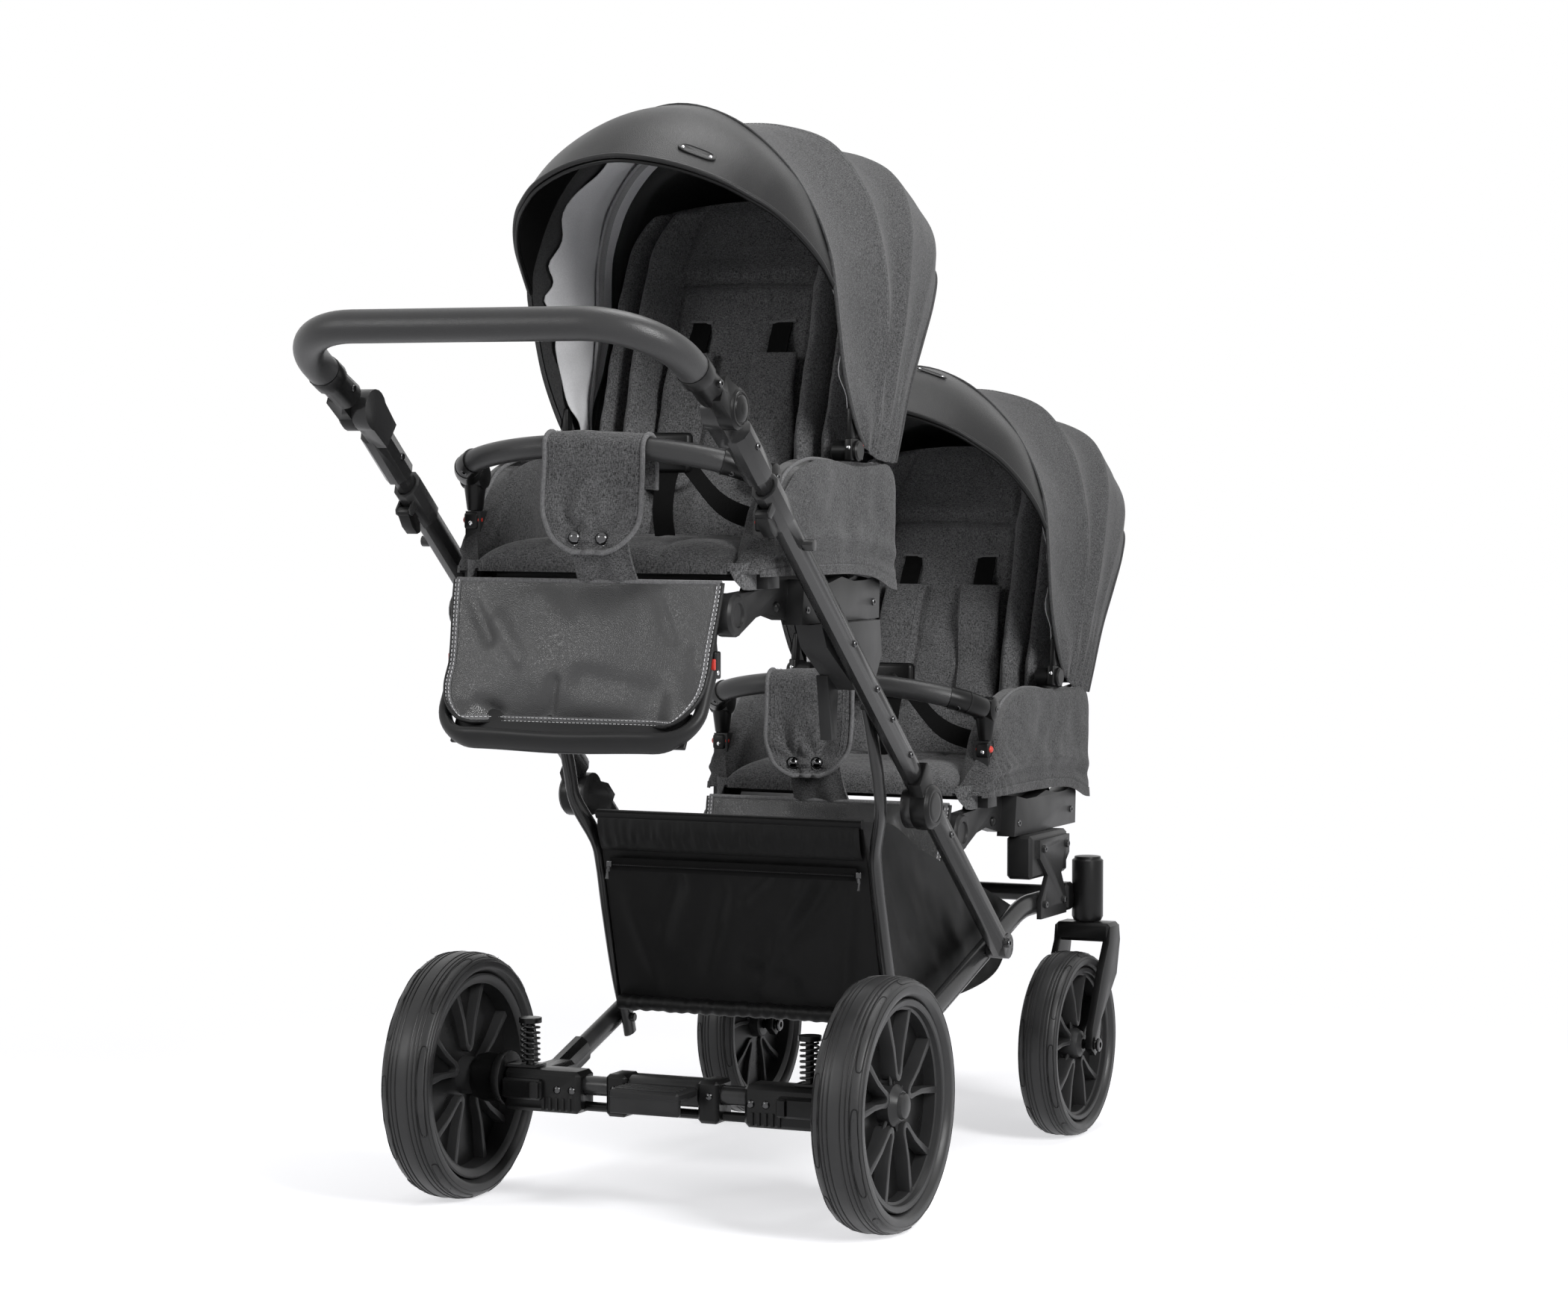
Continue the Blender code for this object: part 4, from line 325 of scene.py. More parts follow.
def modified(piece, kind, **settings):
    """Gives a piece one modifier and applies it."""
    modifier = piece.modifiers.new(kind.lower(), kind)
    for key, value in settings.items():
        setattr(modifier, key, value)
    pick(piece)
    bpy.ops.object.modifier_apply(modifier=modifier.name)
    return piece


def done(piece, name, finish, body, offset=CHASSIS, replaces=(), angle=None, turn=None, slot=None):
    settle(piece)
    if turn is not None:
        piece.data.transform(turn)
    piece.data.transform(Matrix.Translation(offset))
    piece.name = name
    piece.data.name = name
    piece.data.materials.clear()
    piece.data.materials.append(finish)
    slot = slot or SLOT_OF[finish.name]
    pick(piece)
    bpy.ops.object.shade_smooth_by_angle(angle=math.radians(angle or (35.0 if slot in HARD_SLOTS else 60.0)))
    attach(piece, body)
    if replaces:
        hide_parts(*replaces)
    return piece


def maker(prefix, part, mount, turn=None):
    """A shorter `done` for the pieces of one body of one seat."""
    def put(piece, name, finish, replaces=(), angle=None):
        return done(piece, f"{prefix}_{name}", finish, f"{prefix}_{part}", mount,
                    tuple(f"{prefix}_{node}" for node in replaces), angle, turn)
    return put


def declare_sheet(piece, width, spare=1.06):
    """Prints a cloth piece's flat size; its cut is a little more than its laid-out area."""
    area = sum(face.area for face in piece.data.polygons) / 2.0
    flat = (width, area * spare / width)
    print(piece.name, "flat", [round(1000 * side) for side in flat], "mm, cut", round(area, 4), "m2")


def joined(pieces):
    for piece in pieces:
        settle(piece)
    pick(*pieces)
    bpy.ops.object.join()
    return bpy.context.view_layer.objects.active


def copy_of(piece):
    twin = piece.copy()
    twin.data = piece.data.copy()
    bpy.context.scene.collection.objects.link(twin)
    return twin


def twin_across(piece):
    """A mirror image across the middle plane, as its own mesh."""
    twin = copy_of(settle(piece))
    twin.data.transform(Matrix.Scale(-1.0, 4, Vector((1.0, 0.0, 0.0))))
    return edited(twin, bpy.ops.mesh.flip_normals)


def closed_up(piece, weld=0.00001):
    """Merges doubles and points all faces outwards."""
    return edited(piece, lambda: bpy.ops.mesh.remove_doubles(threshold=weld),
                  lambda: bpy.ops.mesh.normals_make_consistent(inside=False))


def rounded_edges(piece, width, segments=2, angle=30.0):
    return modified(piece, "BEVEL", width=width, segments=segments, limit_method="ANGLE",
                    angle_limit=math.radians(angle), use_clamp_overlap=True)


# %% [markdown]
# ## Basic shapes
# Turned parts start as one point that is extruded along their profile and spun round the axle. Bent tubes are
# a curve with a round section. Flat cut parts are a filled outline that is extruded and rounded.
# %% Shape helpers


def turned_part(profile, centre=(0.0, 0.0, 0.0), steps=48, axis=(1.0, 0.0, 0.0)):
    """A profile of (radius, place along the axis), spun round a line along X or Z."""
    bpy.ops.object.select_all(action="DESELECT")
    bpy.ops.mesh.primitive_plane_add(size=0.001)
    piece = bpy.context.object
    bpy.ops.object.mode_set(mode="EDIT")
    bpy.ops.mesh.select_all(action="SELECT")
    bpy.ops.mesh.merge(type="CENTER")
    spots = [Vector((radius, 0.0, along) if axis[2] > 0.5 else (along, 0.0, radius))
             for radius, along in profile]
    bpy.ops.transform.translate(value=spots[0])
    for here, there in zip(spots, spots[1:]):
        bpy.ops.mesh.extrude_vertices_move(TRANSFORM_OT_translate={"value": there - here})
    bpy.ops.mesh.select_all(action="SELECT")
    bpy.ops.mesh.spin(steps=steps, angle=2.0 * math.pi, center=(0.0, 0.0, 0.0), axis=axis)
    bpy.ops.object.mode_set(mode="OBJECT")
    piece.data.transform(Matrix.Translation(Vector(centre)))
    return closed_up(piece)


def swept(lines, radius, resolution, cyclic=False, twist="MINIMUM", taper=None):
    """Round bars along lists of points, drawn as one curve and turned into one mesh."""
    bpy.ops.object.select_all(action="DESELECT")
    bpy.ops.curve.primitive_bezier_curve_add()
    piece = bpy.context.object
    curve = piece.data
    curve.splines.clear()
    for line in lines:
        spline = curve.splines.new("POLY")
        spline.points.add(len(line) - 1)
        for number, point in enumerate(line):
            spline.points[number].co = (*point, 1.0)
            spline.points[number].radius = taper[number] if taper else 1.0
        spline.use_cyclic_u = cyclic
    curve.twist_mode = twist
    curve.bevel_depth = radius
    curve.bevel_resolution = resolution
    curve.use_fill_caps = not cyclic
    pick(piece)
    bpy.ops.object.convert(target="MESH")
    return bpy.context.object


def bent_tube(points, radius, squash=1.0, sides=20, closed=False, taper=None):
    """A round or oval bar along points; its width across X may be squashed."""
    line = [(x / squash, y, z) for x, y, z in points]
    piece = swept([line], radius, max(0, (sides - 4) // 2), closed, "Z_UP" if squash != 1.0 else "MINIMUM",
                  taper)
    piece.data.transform(Matrix.Scale(squash, 4, Vector((1.0, 0.0, 0.0))))
    return closed_up(piece)


def short_bars(pairs, radius):
    return closed_up(swept(pairs, radius, 0), 0.000002)


def cut_plate(outline, low_x, high_x, edge=0.0008, segments=2):
    """A flat outline of (y, z) points, extruded across X with rounded edges."""
    bpy.ops.object.select_all(action="DESELECT")
    bpy.ops.mesh.primitive_circle_add(vertices=len(outline), fill_type="NGON")
    piece = bpy.context.object
    for vertex, (y, z) in zip(piece.data.vertices, outline):
        vertex.co = (low_x, y, z)
    way = {"value": (high_x - low_x, 0.0, 0.0)}
    edited(piece, lambda: bpy.ops.mesh.extrude_region_move(TRANSFORM_OT_translate=way))
    return rounded_edges(closed_up(piece), edge, segments)


def moulded_block(low, high, edge=0.002, segments=3):
    bpy.ops.object.select_all(action="DESELECT")
    bpy.ops.mesh.primitive_cube_add(size=1.0, location=(Vector(low) + Vector(high)) / 2.0)
    piece = bpy.context.object
    piece.scale = Vector(high) - Vector(low)
    return rounded_edges(settle(piece), edge, segments)


def from_rows(rows, around=False):
    """A mesh from rows of points; rows that close on themselves get their ends filled."""
    mesh = bpy.data.meshes.new("rows")
    shape = bmesh.new()
    lines = [[shape.verts.new(point) for point in row] for row in rows]
    for row, following in zip(lines, lines[1:]):
        for index in range(len(row) if around else len(row) - 1):
            other = (index + 1) % len(row)
            shape.faces.new((row[index], row[other], following[other], following[index]))
    if around:
        shape.faces.new(list(reversed(lines[0])))
        shape.faces.new(lines[-1])
    bmesh.ops.recalc_face_normals(shape, faces=shape.faces)
    shape.to_mesh(mesh)
    shape.free()
    piece = bpy.data.objects.new("rows", mesh)
    bpy.context.scene.collection.objects.link(piece)
    return piece


def thickened(piece, thickness, offset=-1.0):
    return modified(piece, "SOLIDIFY", thickness=thickness, offset=offset)


def stitch_row(points, length=0.0034, gap=0.0020, radius=0.0004):
    """Short round stitches laid at even steps along a line of points."""
    points = [Vector(point) for point in points]
    marks = [0.0]
    for here, there in zip(points, points[1:]):
        marks.append(marks[-1] + (there - here).length)

    def at(run):
        index = 0
        while index < len(points) - 2 and marks[index + 1] < run:
            index += 1
        part = (run - marks[index]) / max(1e-9, marks[index + 1] - marks[index])
        return points[index].lerp(points[index + 1], part)

    starts = [number * (length + gap) for number in range(int(marks[-1] / (length + gap)))]
    return short_bars([(at(start), at(start + length)) for start in starts], radius)


def stitched(put, points, name, finish=EDGE_TAPE, **sizes):
    put(stitch_row(points, **sizes), name, finish)


def spread(low, high, count):
    """Evenly spaced values from low to high, in so many steps."""
    return [low + (high - low) * step / count for step in range(count + 1)]


def turns(count):
    """The angles of a full circle in so many steps, without the last."""
    return [2.0 * math.pi * step / count for step in range(count)]


def flipped(points):
    return [Vector((-point[0], point[1], point[2])) for point in points]


def ease(value):
    value = max(0.0, min(1.0, value))
    return value * value * (3.0 - 2.0 * value)


def bell(value, centre, width):
    return math.exp(-((value - centre) / width) ** 2)


def away_from_line(point, first, last):
    way = last - first
    part = max(0.0, min(1.0, (point - first).dot(way) / way.dot(way)))
    return (point - first - way * part).length


def between(before, first, last, after, t):
    """A smooth place between the middle two of four points, t from 0 to 1."""
    return 0.5 * (2.0 * first + (last - before) * t
                  + (2.0 * before - 5.0 * first + 4.0 * last - after) * t * t
                  + (3.0 * first - 3.0 * last + after - before) * t ** 3)


def along_points(points, part):
    """A smooth place on a line of points, part from 0 to 1 by index."""
    place = max(0.0, min(1.0, part)) * (len(points) - 1)
    index = min(int(place), len(points) - 2)
    first, last = Vector(points[index]), Vector(points[index + 1])
    before = Vector(points[index - 1]) if index else 2.0 * first - last
    after = Vector(points[index + 2]) if index + 2 < len(points) else 2.0 * last - first
    return between(before, first, last, after, place - index)


def crease_sum(here, creases, tall):
    """How far creases push a surface; each is a line from (a, b) to (c, d), a width and a depth."""
    return sum(depth * bell(away_from_line(here, Vector((a, b * tall, 0.0)), Vector((c, d * tall, 0.0))),
                            0.0, width)
               for a, b, c, d, width, depth in creases)


def ripple(point, scale, seed=0.0):
    """Smooth repeatable noise from -1 to 1."""
    return noise.noise(Vector(point) * scale + Vector((seed, seed * 0.7, -seed)))


# %% [markdown]
# ## Dressing the moulded parts
# The housings, heads, forks and adapters already have the right shape as solids. Sharp solid edges look
# false, though: each one gets a merged copy whose edges are rounded by a fraction of a millimetre.
# %% Dressed copies of rigid solids


def dressed(node, finish, edge=0.0008):
    piece = copy_of(frame["nodes"][node])
    for key in list(piece.keys()):
        del piece[key]
    piece.parent = None
    piece.matrix_world = Matrix.Identity(4)
    edited(piece, lambda: bpy.ops.mesh.remove_doubles(threshold=0.000005),
           lambda: bpy.ops.mesh.dissolve_limited(angle_limit=math.radians(1.0)))
    rounded_edges(piece, edge, 2, 28.0)
    done(piece, node + "_dressed", finish, BODY_OF[node], Vector(), (node,), 40.0)


RIGID = [(BLACK_PLASTIC, 0.0008, ["brake_block"], [
    "front_fork", "front_head", "rear_housing", "hub_carrier", "handle_pivot", "clamp_lever", "fold_disc"]),
    (GREY_PLASTIC, 0.0008, ["brake_pedal", "high_seat_frame", "low_seat_frame"],
     ["high_seat_adapter", "low_seat_adapter"]),
    (TUBE_COAT, 0.0005, ["front_crossbar", "rear_axle_tube"], ["upper_tube", "lower_tube", "telescope_tube"])]
for finish, edge, singles, pairs in RIGID:
    for part in singles + [name + side for side in ("_left", "_right") for name in pairs]:
        dressed(part, finish, edge)
print("dressed", sum(len(singles) + 2 * len(pairs) for _, _, singles, pairs in RIGID), "rigid solids")

# %% [markdown]
# ## Tyres
# An air tyre is a turned ring. Fine grooves run round the tread, raised scallops mark each shoulder, and
# little moulding hairs stand on it. Thin black bars along the grooves and scallop outlines are painted shade
# of those recesses. The ring is spun from its section; the rest are thin bars.
# %% Tyre section and scallops
SIDES = {"right": 1.0, "left": -1.0}
WHEELS = {"rear": (0.145, 0.1208, 0.031, 0.271, 0.0), "front": (0.118, 0.0983, 0.026, 0.225, 0.711)}


def tyre_section(radius, seat, half, part):
    """The tyre's outside from one bead (0) over the tread (0.5) to the other (1)."""
    swing = math.pi * (part - 0.5) * 1.16
    wall = radius - seat
    squared = abs(math.sin(swing)) ** 0.90
    along = math.copysign(half * squared, swing) * 0.985
    height = seat + wall * (0.42 + 0.58 * max(0.0, math.cos(swing)) ** 0.62) if math.cos(swing) > 0.0 else (
        seat + wall * 0.42 * (1.0 - 1.9 * abs(math.cos(swing))))
    return height, along


TREAD_LINES = (0.335, 0.385, 0.44, 0.56, 0.615, 0.665)


def tyre_profile(radius, seat, half):
    profile = []
    for part in spread(0.0, 1.0, 74):
        height, along = tyre_section(radius, seat, half, part)
        height -= sum(0.0011 * bell(part, groove, 0.0055) for groove in TREAD_LINES)
        height -= sum(0.0009 * bell(part, groove, 0.009) for groove in (0.20, 0.80))
        profile.append((max(height, seat), along))
    return profile + [(seat, 0.6 * half), (seat, -0.6 * half), profile[0]]


def scallop_shade_line(radius, seat, half, side, middle):
    """The outline of one raised shoulder block, a thin bar lying on the tyre; its black finish is painted
    shade of the groove round the block.
    """
    points = []
    for turn in turns(36):
        angle = middle + math.copysign(abs(math.cos(turn)) ** 0.35, math.cos(turn)) * 0.38
        drop = math.copysign(abs(math.sin(turn)) ** 0.55, math.sin(turn)) * 0.062 + 0.245
        height, along = tyre_section(radius + 0.0001, seat, half, 0.5 + side * drop)
        points.append((along, height * math.cos(angle), height * math.sin(angle)))
    return bent_tube(points, 0.00075, sides=6, closed=True)


def tyre_hairs(radius, seat, half):
    """Thin rubber hairs left by the mould, in rows round the tread and shoulders."""
    pairs = []
    for row, part in enumerate((0.27, 0.36, 0.64, 0.73)):
        for number in range(30):
            angle = 2.0 * math.pi * (number + 0.27 * row + 0.2 * ripple((number, row, 0.0), 3.1)) / 30.0
            height, along = tyre_section(radius, seat, half, part)
            if math.sin(angle) < -0.93:
                continue
            foot = Vector((along, (height - 0.001) * math.cos(angle), (height - 0.001) * math.sin(angle)))
            lean = 0.0018 + 0.0014 * ripple((number, row, 5.0), 2.3)
            tip = foot + Vector((math.copysign(0.0014, along), lean * math.cos(angle),
                                 lean * math.sin(angle)))
            pairs.append((foot, tip))
    return short_bars(pairs, 0.00025)


def tread_groove_shade_line(radius, seat, half, part):
    """A thin black bar that runs round the tyre at a place of its section, as painted shade where the rubber
    is recessed.
    """
    height, along = tyre_section(radius, seat, half, part)
    points = [(along, (height + 0.0001) * math.cos(turn), (height + 0.0001) * math.sin(turn))
              for turn in turns(120)]
    return bent_tube(points, 0.0005, sides=4, closed=True)


def on_wheels(end, part, made, name, finish, angle, replaces=True, slot=None):
    """Puts the right-hand piece as made, and its mirror image, on the two wheels of one end."""
    radius, _, _, x, y = WHEELS[end]
    for side, piece in (("right", made), ("left", twin_across(made))):
        done(piece, f"{end}_{part}_{side}_{name}", finish, f"{end}_wheel_{side}",
             CHASSIS + Vector((SIDES[side] * x, y, radius)), (f"{end}_{part}_{side}",) if replaces else (),
             angle,
             slot=slot)


# %% Make the tyres
for end, (*sizes, _, _) in WHEELS.items():
    rubber = [turned_part(tyre_profile(*sizes), steps=128)] + [tyre_hairs(*sizes)]
    lines = [scallop_shade_line(*sizes, side, 2.0 * math.pi * (number + 0.25 * (side > 0.0)) / 6.0)
             for side in (-1.0, 1.0) for number in range(6)]
    lines += [tread_groove_shade_line(*sizes, part) for part in (0.11, *TREAD_LINES, 0.89)]
    on_wheels(end, "tyre", joined(rubber), "rubber", TYRE_RUBBER, 50.0)
    # These black bars are painted shade: the grooves and scallop outlines are only recesses in the rubber.
    on_wheels(end, "tyre", joined(lines), "lines", BLACK_PLASTIC, 50.0, False)
    print(end, "tyre", round(2000 * sizes[0]), "mm across")

# %% [markdown]
# ## Rims
# The wheel has five hairpin spokes: each runs from the flange in to the hub, round a small bend and out
# again, with a kink half way. Each is cut from a plate at its own angle; flange and hub are turned, and so is
# the thin wall that closes the rim behind the spokes, made black as painted shade of the rim's hollow.
# %% Hairpin spoke


def polar(radius, degrees, middle):
    turn = math.radians(middle + degrees)
    return radius * math.cos(turn), radius * math.sin(turn)


def hairpin_outline(scale, middle):
    outer = [(0.1130, 19.0), (0.0690, 14.9), (0.0500, 13.8), (0.0370, 14.5), (0.0300, 10.0), (0.0275, 0.0)]
    inner = [(0.0350, 0.0), (0.0375, 4.6), (0.0480, 7.2), (0.0670, 9.0), (0.1130, 14.6)]
    outer_full = outer + [(radius, -angle) for radius, angle in reversed(outer) if angle > 0.0]
    inner_full = [(radius, -angle) for radius, angle in reversed(inner)] + inner[1:]
    return [polar(radius * scale, angle, middle) for radius, angle in outer_full + inner_full]


def rim_piece(scale, half, capped):
    """Flange, hub and spokes of one wheel, drawn round the origin with the face towards +X."""
    face = 0.018 * scale
    radius = 0.1205 * scale
    bead = 0.1080 * scale
    flange = turned_part([(radius, half - 0.0012), (radius, -half + 0.0012), (radius - 0.002, -half),
                          (bead + 0.005, -half + 0.001), (bead + 0.001, -half + 0.004), (bead, face - 0.010),
                          (bead, face - 0.001), (bead + 0.0015, face), (bead + 0.0030, face + 0.0004),
                          (bead + 0.0045 * scale, half - 0.0015), (bead + 0.0060 * scale, half - 0.0004),
                          (radius - 0.0030, half - 0.0002), (radius - 0.0012, half),
                          (radius, half - 0.0012)], steps=96)
    hub_radius = 0.0210 * scale
    front = [(0.0, half + 0.0040), (0.006, half + 0.0037), (0.0105, half + 0.0028), (0.0140, half + 0.0012),
             (0.0150, half - 0.0010), (0.0156, half - 0.0030), (0.0168, half - 0.0030),
             (0.0175, half - 0.0040)]
    if not capped:
        front = [(0.0065, half + 0.001), (0.0100, half + 0.001), (0.0108, half), (0.0165, half - 0.003)]
    back = [(hub_radius + 0.003, face - 0.004), (hub_radius + 0.002, 0.0), (hub_radius, -half + 0.003),
            (hub_radius - 0.002, -half + 0.001), (0.0066, -half + 0.001)]
    inside = [(0.0066, 0.012), (0.0, 0.012)] if capped else [(0.0066, half + 0.001)]
    hub = turned_part(front + back + inside, steps=48)
    parts = [flange, hub]
    for number in range(5):
        outline = hairpin_outline(scale, 90.0 + 72.0 * number)
        parts.append(cut_plate(outline, face - 0.030 * scale, face, 0.0009, 2))
        for edge in (-1.0, 1.0):
            root = [polar(0.020 * scale, edge * 10.0, 90.0 + 72.0 * number),
                    polar(0.050 * scale, edge * 10.2, 90.0 + 72.0 * number)]
            parts.append(bent_tube([(face - 0.009, *root[0]), (face - 0.009, *root[1])], 0.0022, sides=8))
    return joined(parts)


def rim_shade_wall(scale):
    """The thin wall that closes the rim behind its spokes; it is finished black as painted shade of the
    hollow rim.
    """
    face, bead = 0.018 * scale, 0.1080 * scale
    return turned_part([(0.020 * scale, face - 0.0200), (0.070 * scale, face - 0.0165),
                        (bead + 0.0006, face - 0.0150),
                        (bead + 0.0006, face - 0.0170), (0.070 * scale, face - 0.0185),
                        (0.020 * scale, face - 0.0220),
                        (0.020 * scale, face - 0.0200)], steps=72)


# %% Make the rims
for end, (radius, seat, half, x, y) in WHEELS.items():
    scale = (seat - 0.0003) / 0.1205
    rim = rim_piece(scale, half - (0.006 if end == "rear" else 0.005), end == "rear")
    on_wheels(end, "rim", rim, "moulded", RIM_PLASTIC, 32.0)
    # The closing wall is black plastic, darker than the rim, as painted shade of the hollow behind the
    # spokes.
    on_wheels(end, "rim", rim_shade_wall(scale), "web", BLACK_PLASTIC, 32.0, False, "rim plastic")
print("rims", 4)

# %% [markdown]
# ## Bottom tubes, legs and springs
# The bottom tubes and the flattened rear legs are bent bars, swept along the same points as their solids.
# The springs are round wire, wound finely here because their curls catch the light.
# %% Bent bars


def rounded_line(points, radius, steps=8):
    points = [Vector(point) for point in points]
    path = [points[0]]
    for before, corner, after in zip(points, points[1:], points[2:]):
        way_in = (corner - before).normalized()
        way_out = (after - corner).normalized()
        turn = way_in.angle(way_out)
        if turn < 0.01:
            continue
        back = radius * math.tan(turn / 2.0)
        first = corner - way_in * back
        centre = corner + (way_out - way_in).normalized() * (radius / math.cos(turn / 2.0))
        axis = way_in.cross(way_out).normalized()
        for step in range(steps + 1):
            path.append(centre + Matrix.Rotation(turn * step / steps, 3, axis) @ (first - centre))
    path.append(points[-1])
    return path


def bottom_z(y):
    return 0.157 + (y - 0.165) * math.tan(math.radians(17.85))


def both_sides(piece, name, finish, bodies, nodes=(), angle=None):
    """The right-hand piece as made and its mirror image on the left."""
    for side, made in (("right", piece), ("left", twin_across(piece))):
        body = bodies if isinstance(bodies, str) else bodies[0] + "_" + side
        done(made, f"{name}_{side}", finish, body, CHASSIS, tuple(f"{node}_{side}" for node in nodes), angle)


BEND_Y = 0.165 + (0.302 - 0.157) / math.tan(math.radians(17.85))
bottom = rounded_line([(0.1975, 0.105, bottom_z(0.105)), (0.1975, BEND_Y, 0.302), (0.1975, 0.7545, 0.302)],
                      0.180, 14)
both_sides(bent_tube(bottom, 0.014, 20.0 / 28.0, 28), "bottom_tube_bar", TUBE_COAT, "chassis",
           ("bottom_tube",), 40.0)

LEG_LINE = [(0.2015, 0.109, 0.588), (0.2015, 0.118, 0.570), (0.2015, 0.144, 0.500), (0.1995, 0.156, 0.460),
            (0.184, 0.178, 0.415), (0.181, 0.188, 0.385), (0.181, 0.203, 0.330), (0.181, 0.224, 0.262),
            (0.181, 0.241, 0.218), (0.181, 0.258, 0.186), (0.181, 0.265, 0.166)]
leg = bent_tube([along_points(LEG_LINE, part) for part in spread(0.0, 1.0, 40)], 0.012, 0.5, 24)
nut = turned_part([(0.0, 0.1705), (0.0045, 0.1705), (0.0055, 0.1715), (0.0055, 0.176), (0.0, 0.176)],
                  (0.0, 0.258, 0.186), 24)
both_sides(joined([leg, nut]), "rear_leg_bar", TUBE_COAT, "rear_legs", ("rear_leg",), 40.0)

SPRING_X, SPRING_LOW, SPRING_HIGH = 0.179, 0.1656, 0.2100
coil = [(SPRING_X + 0.0105 * math.cos(14.0 * math.pi * part), 0.0105 * math.sin(14.0 * math.pi * part),
         SPRING_LOW + (SPRING_HIGH - SPRING_LOW) * part) for part in spread(0.0, 1.0, 168)]
both_sides(bent_tube(coil, 0.0015, sides=10), "suspension_spring_coil", SPRING_STEEL, "chassis",
           ("suspension_spring",), 50.0)
for side, sign in SIDES.items():
    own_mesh(bpy.data.objects["suspension_spring_coil_" + side])
print("bars and springs made")

# %% [markdown]
# ## Grip
# The handle is a U of foam-filled leatherette: one bent tube along a line with two round corners.
# %% Handle grip
HANDLE_RISE = math.radians(27.5)
HANDLE_PIVOT = (-0.3125, 0.92495)


def handle_place(x, along, aside=0.0):
    """A point of the handle's plane, counted from its tilt pivot."""
    return (x, HANDLE_PIVOT[0] - along * math.cos(HANDLE_RISE) + aside * math.sin(HANDLE_RISE),
            HANDLE_PIVOT[1] + along * math.sin(HANDLE_RISE) + aside * math.cos(HANDLE_RISE))


GRIP_CORNERS = [handle_place(x, along) for x, along in ((0.2205, 0.090), (0.2205, 0.187), (-0.2205, 0.187),
                                                        (-0.2205, 0.090))]
grip = bent_tube(rounded_line(GRIP_CORNERS, 0.086, 16), 0.0180, sides=40)
done(grip, "handle_grip_leatherette", GRIP_LEATHER, "handle", CHASSIS, ("handle_grip",))

# %% [markdown]
# ## Small hardware
# Rivets, screws and buttons are what tells a real pushchair from a toy. One function turns a rivet or a
# screw and lays it on a face, and each group of them is mirrored to the other side.
# %% Rivets and screws
MAIN_X = 0.2205
SLOPE = math.radians(39.56)
RIGHT, LEFT, REARWARDS = (1.0, 0.0, 0.0), (-1.0, 0.0, 0.0), (0.0, -1.0, 0.0)


def facing(place, towards):
    """The move that lays a head made along X on a face that looks towards a direction."""
    turn = Vector(RIGHT).rotation_difference(Vector(towards).normalized()).to_matrix().to_4x4()
    return Matrix.Translation(Vector(place)) @ turn


def rivet(place, radius=0.0042, rise=0.0016, towards=RIGHT, socket=False):
    """A domed head, or a screw head with a socket."""
    profile = [(0.0, rise), (0.45 * radius, rise * 0.92), (0.8 * radius, rise * 0.6), (radius, 0.1 * rise),
               (radius, -0.001), (0.0, -0.001)]
    if socket:
        profile = [(0.0, rise * 0.3), (0.42 * radius, rise * 0.3), (0.45 * radius, rise),
                   (0.85 * radius, rise * 0.95), (radius, rise * 0.5), (radius, -0.001), (0.0, -0.001)]
    piece = turned_part(profile, steps=20)
    piece.data.transform(facing(place, towards))
    return piece


def slope_place(x, y):
    """A point on the main tubes' middle line."""
    return (x, y, 0.609 + (0.070 - y) * math.tan(SLOPE))


def ring_and_dome(centre, face, ring_radius, dome_radius, rise):
    """The raised ring and domed button on the outside of a pivot."""
    profile = [(0.0, rise), (0.5 * dome_radius, rise * 0.85), (0.85 * dome_radius, rise * 0.45),
               (dome_radius, 0.0),
               (dome_radius + 0.0006, -0.0006), (ring_radius - 0.0026, -0.0006),
               (ring_radius - 0.0018, 0.0006),
               (ring_radius - 0.0004, 0.0006), (ring_radius + 0.0004, -0.0014), (0.0, -0.0014)]
    return turned_part([(radius, face + along) for radius, along in profile], centre, 48)


FOLD_PIVOT = (0.2185, 0.4625)
SLOPE_RUN = math.cos(SLOPE)
plate_low, plate_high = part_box("low_seat_adapter_right")
ADAPTER_Y = 0.687
screws = {
    "upper_tube_screws": ("upper_tubes", [
        rivet(slope_place(MAIN_X + 0.0121, y), socket=True) for y in (0.004, 0.070, 0.169, 0.115)]),
    "lower_tube_screws": ("lower_tubes", [
        rivet(slope_place(MAIN_X + 0.0121, 0.295), socket=True),
        rivet((MAIN_X + 0.0162, 0.472, 0.274), 0.0055, 0.0022, socket=True)]),
    "telescope_screws": ("telescope", [
        rivet(slope_place(MAIN_X + 0.0163, HANDLE_PIVOT[0] + 0.062 * SLOPE_RUN), socket=True),
        rivet(slope_place(MAIN_X - 0.0163, HANDLE_PIVOT[0] + 0.080 * SLOPE_RUN), towards=LEFT, socket=True)]),
    "handle_screws": ("handle", [
        rivet(handle_place(MAIN_X + 0.0185, 0.056), 0.0045, socket=True),
        rivet(handle_place(MAIN_X - 0.0165, 0.050), 0.0040, towards=LEFT, socket=True)]),
    "adapter_screws": ("chassis", [
        rivet((plate_high.x - 0.0004, ADAPTER_Y + y, z), socket=True) for y, z in (
            (-0.032, plate_low.z + 0.018), (0.036, plate_low.z + 0.018), (-0.036, plate_high.z - 0.018),
            (0.046, plate_high.z - 0.018))])}
for name, (body, heads) in screws.items():
    both_sides(joined(heads), name, DARK_METAL, body)
dome = ring_and_dome((0.0, *HANDLE_PIVOT), MAIN_X + 0.0188, 0.0192, 0.0125, 0.0052)
both_sides(dome, "tilt_button", BLACK_PLASTIC, "handle")
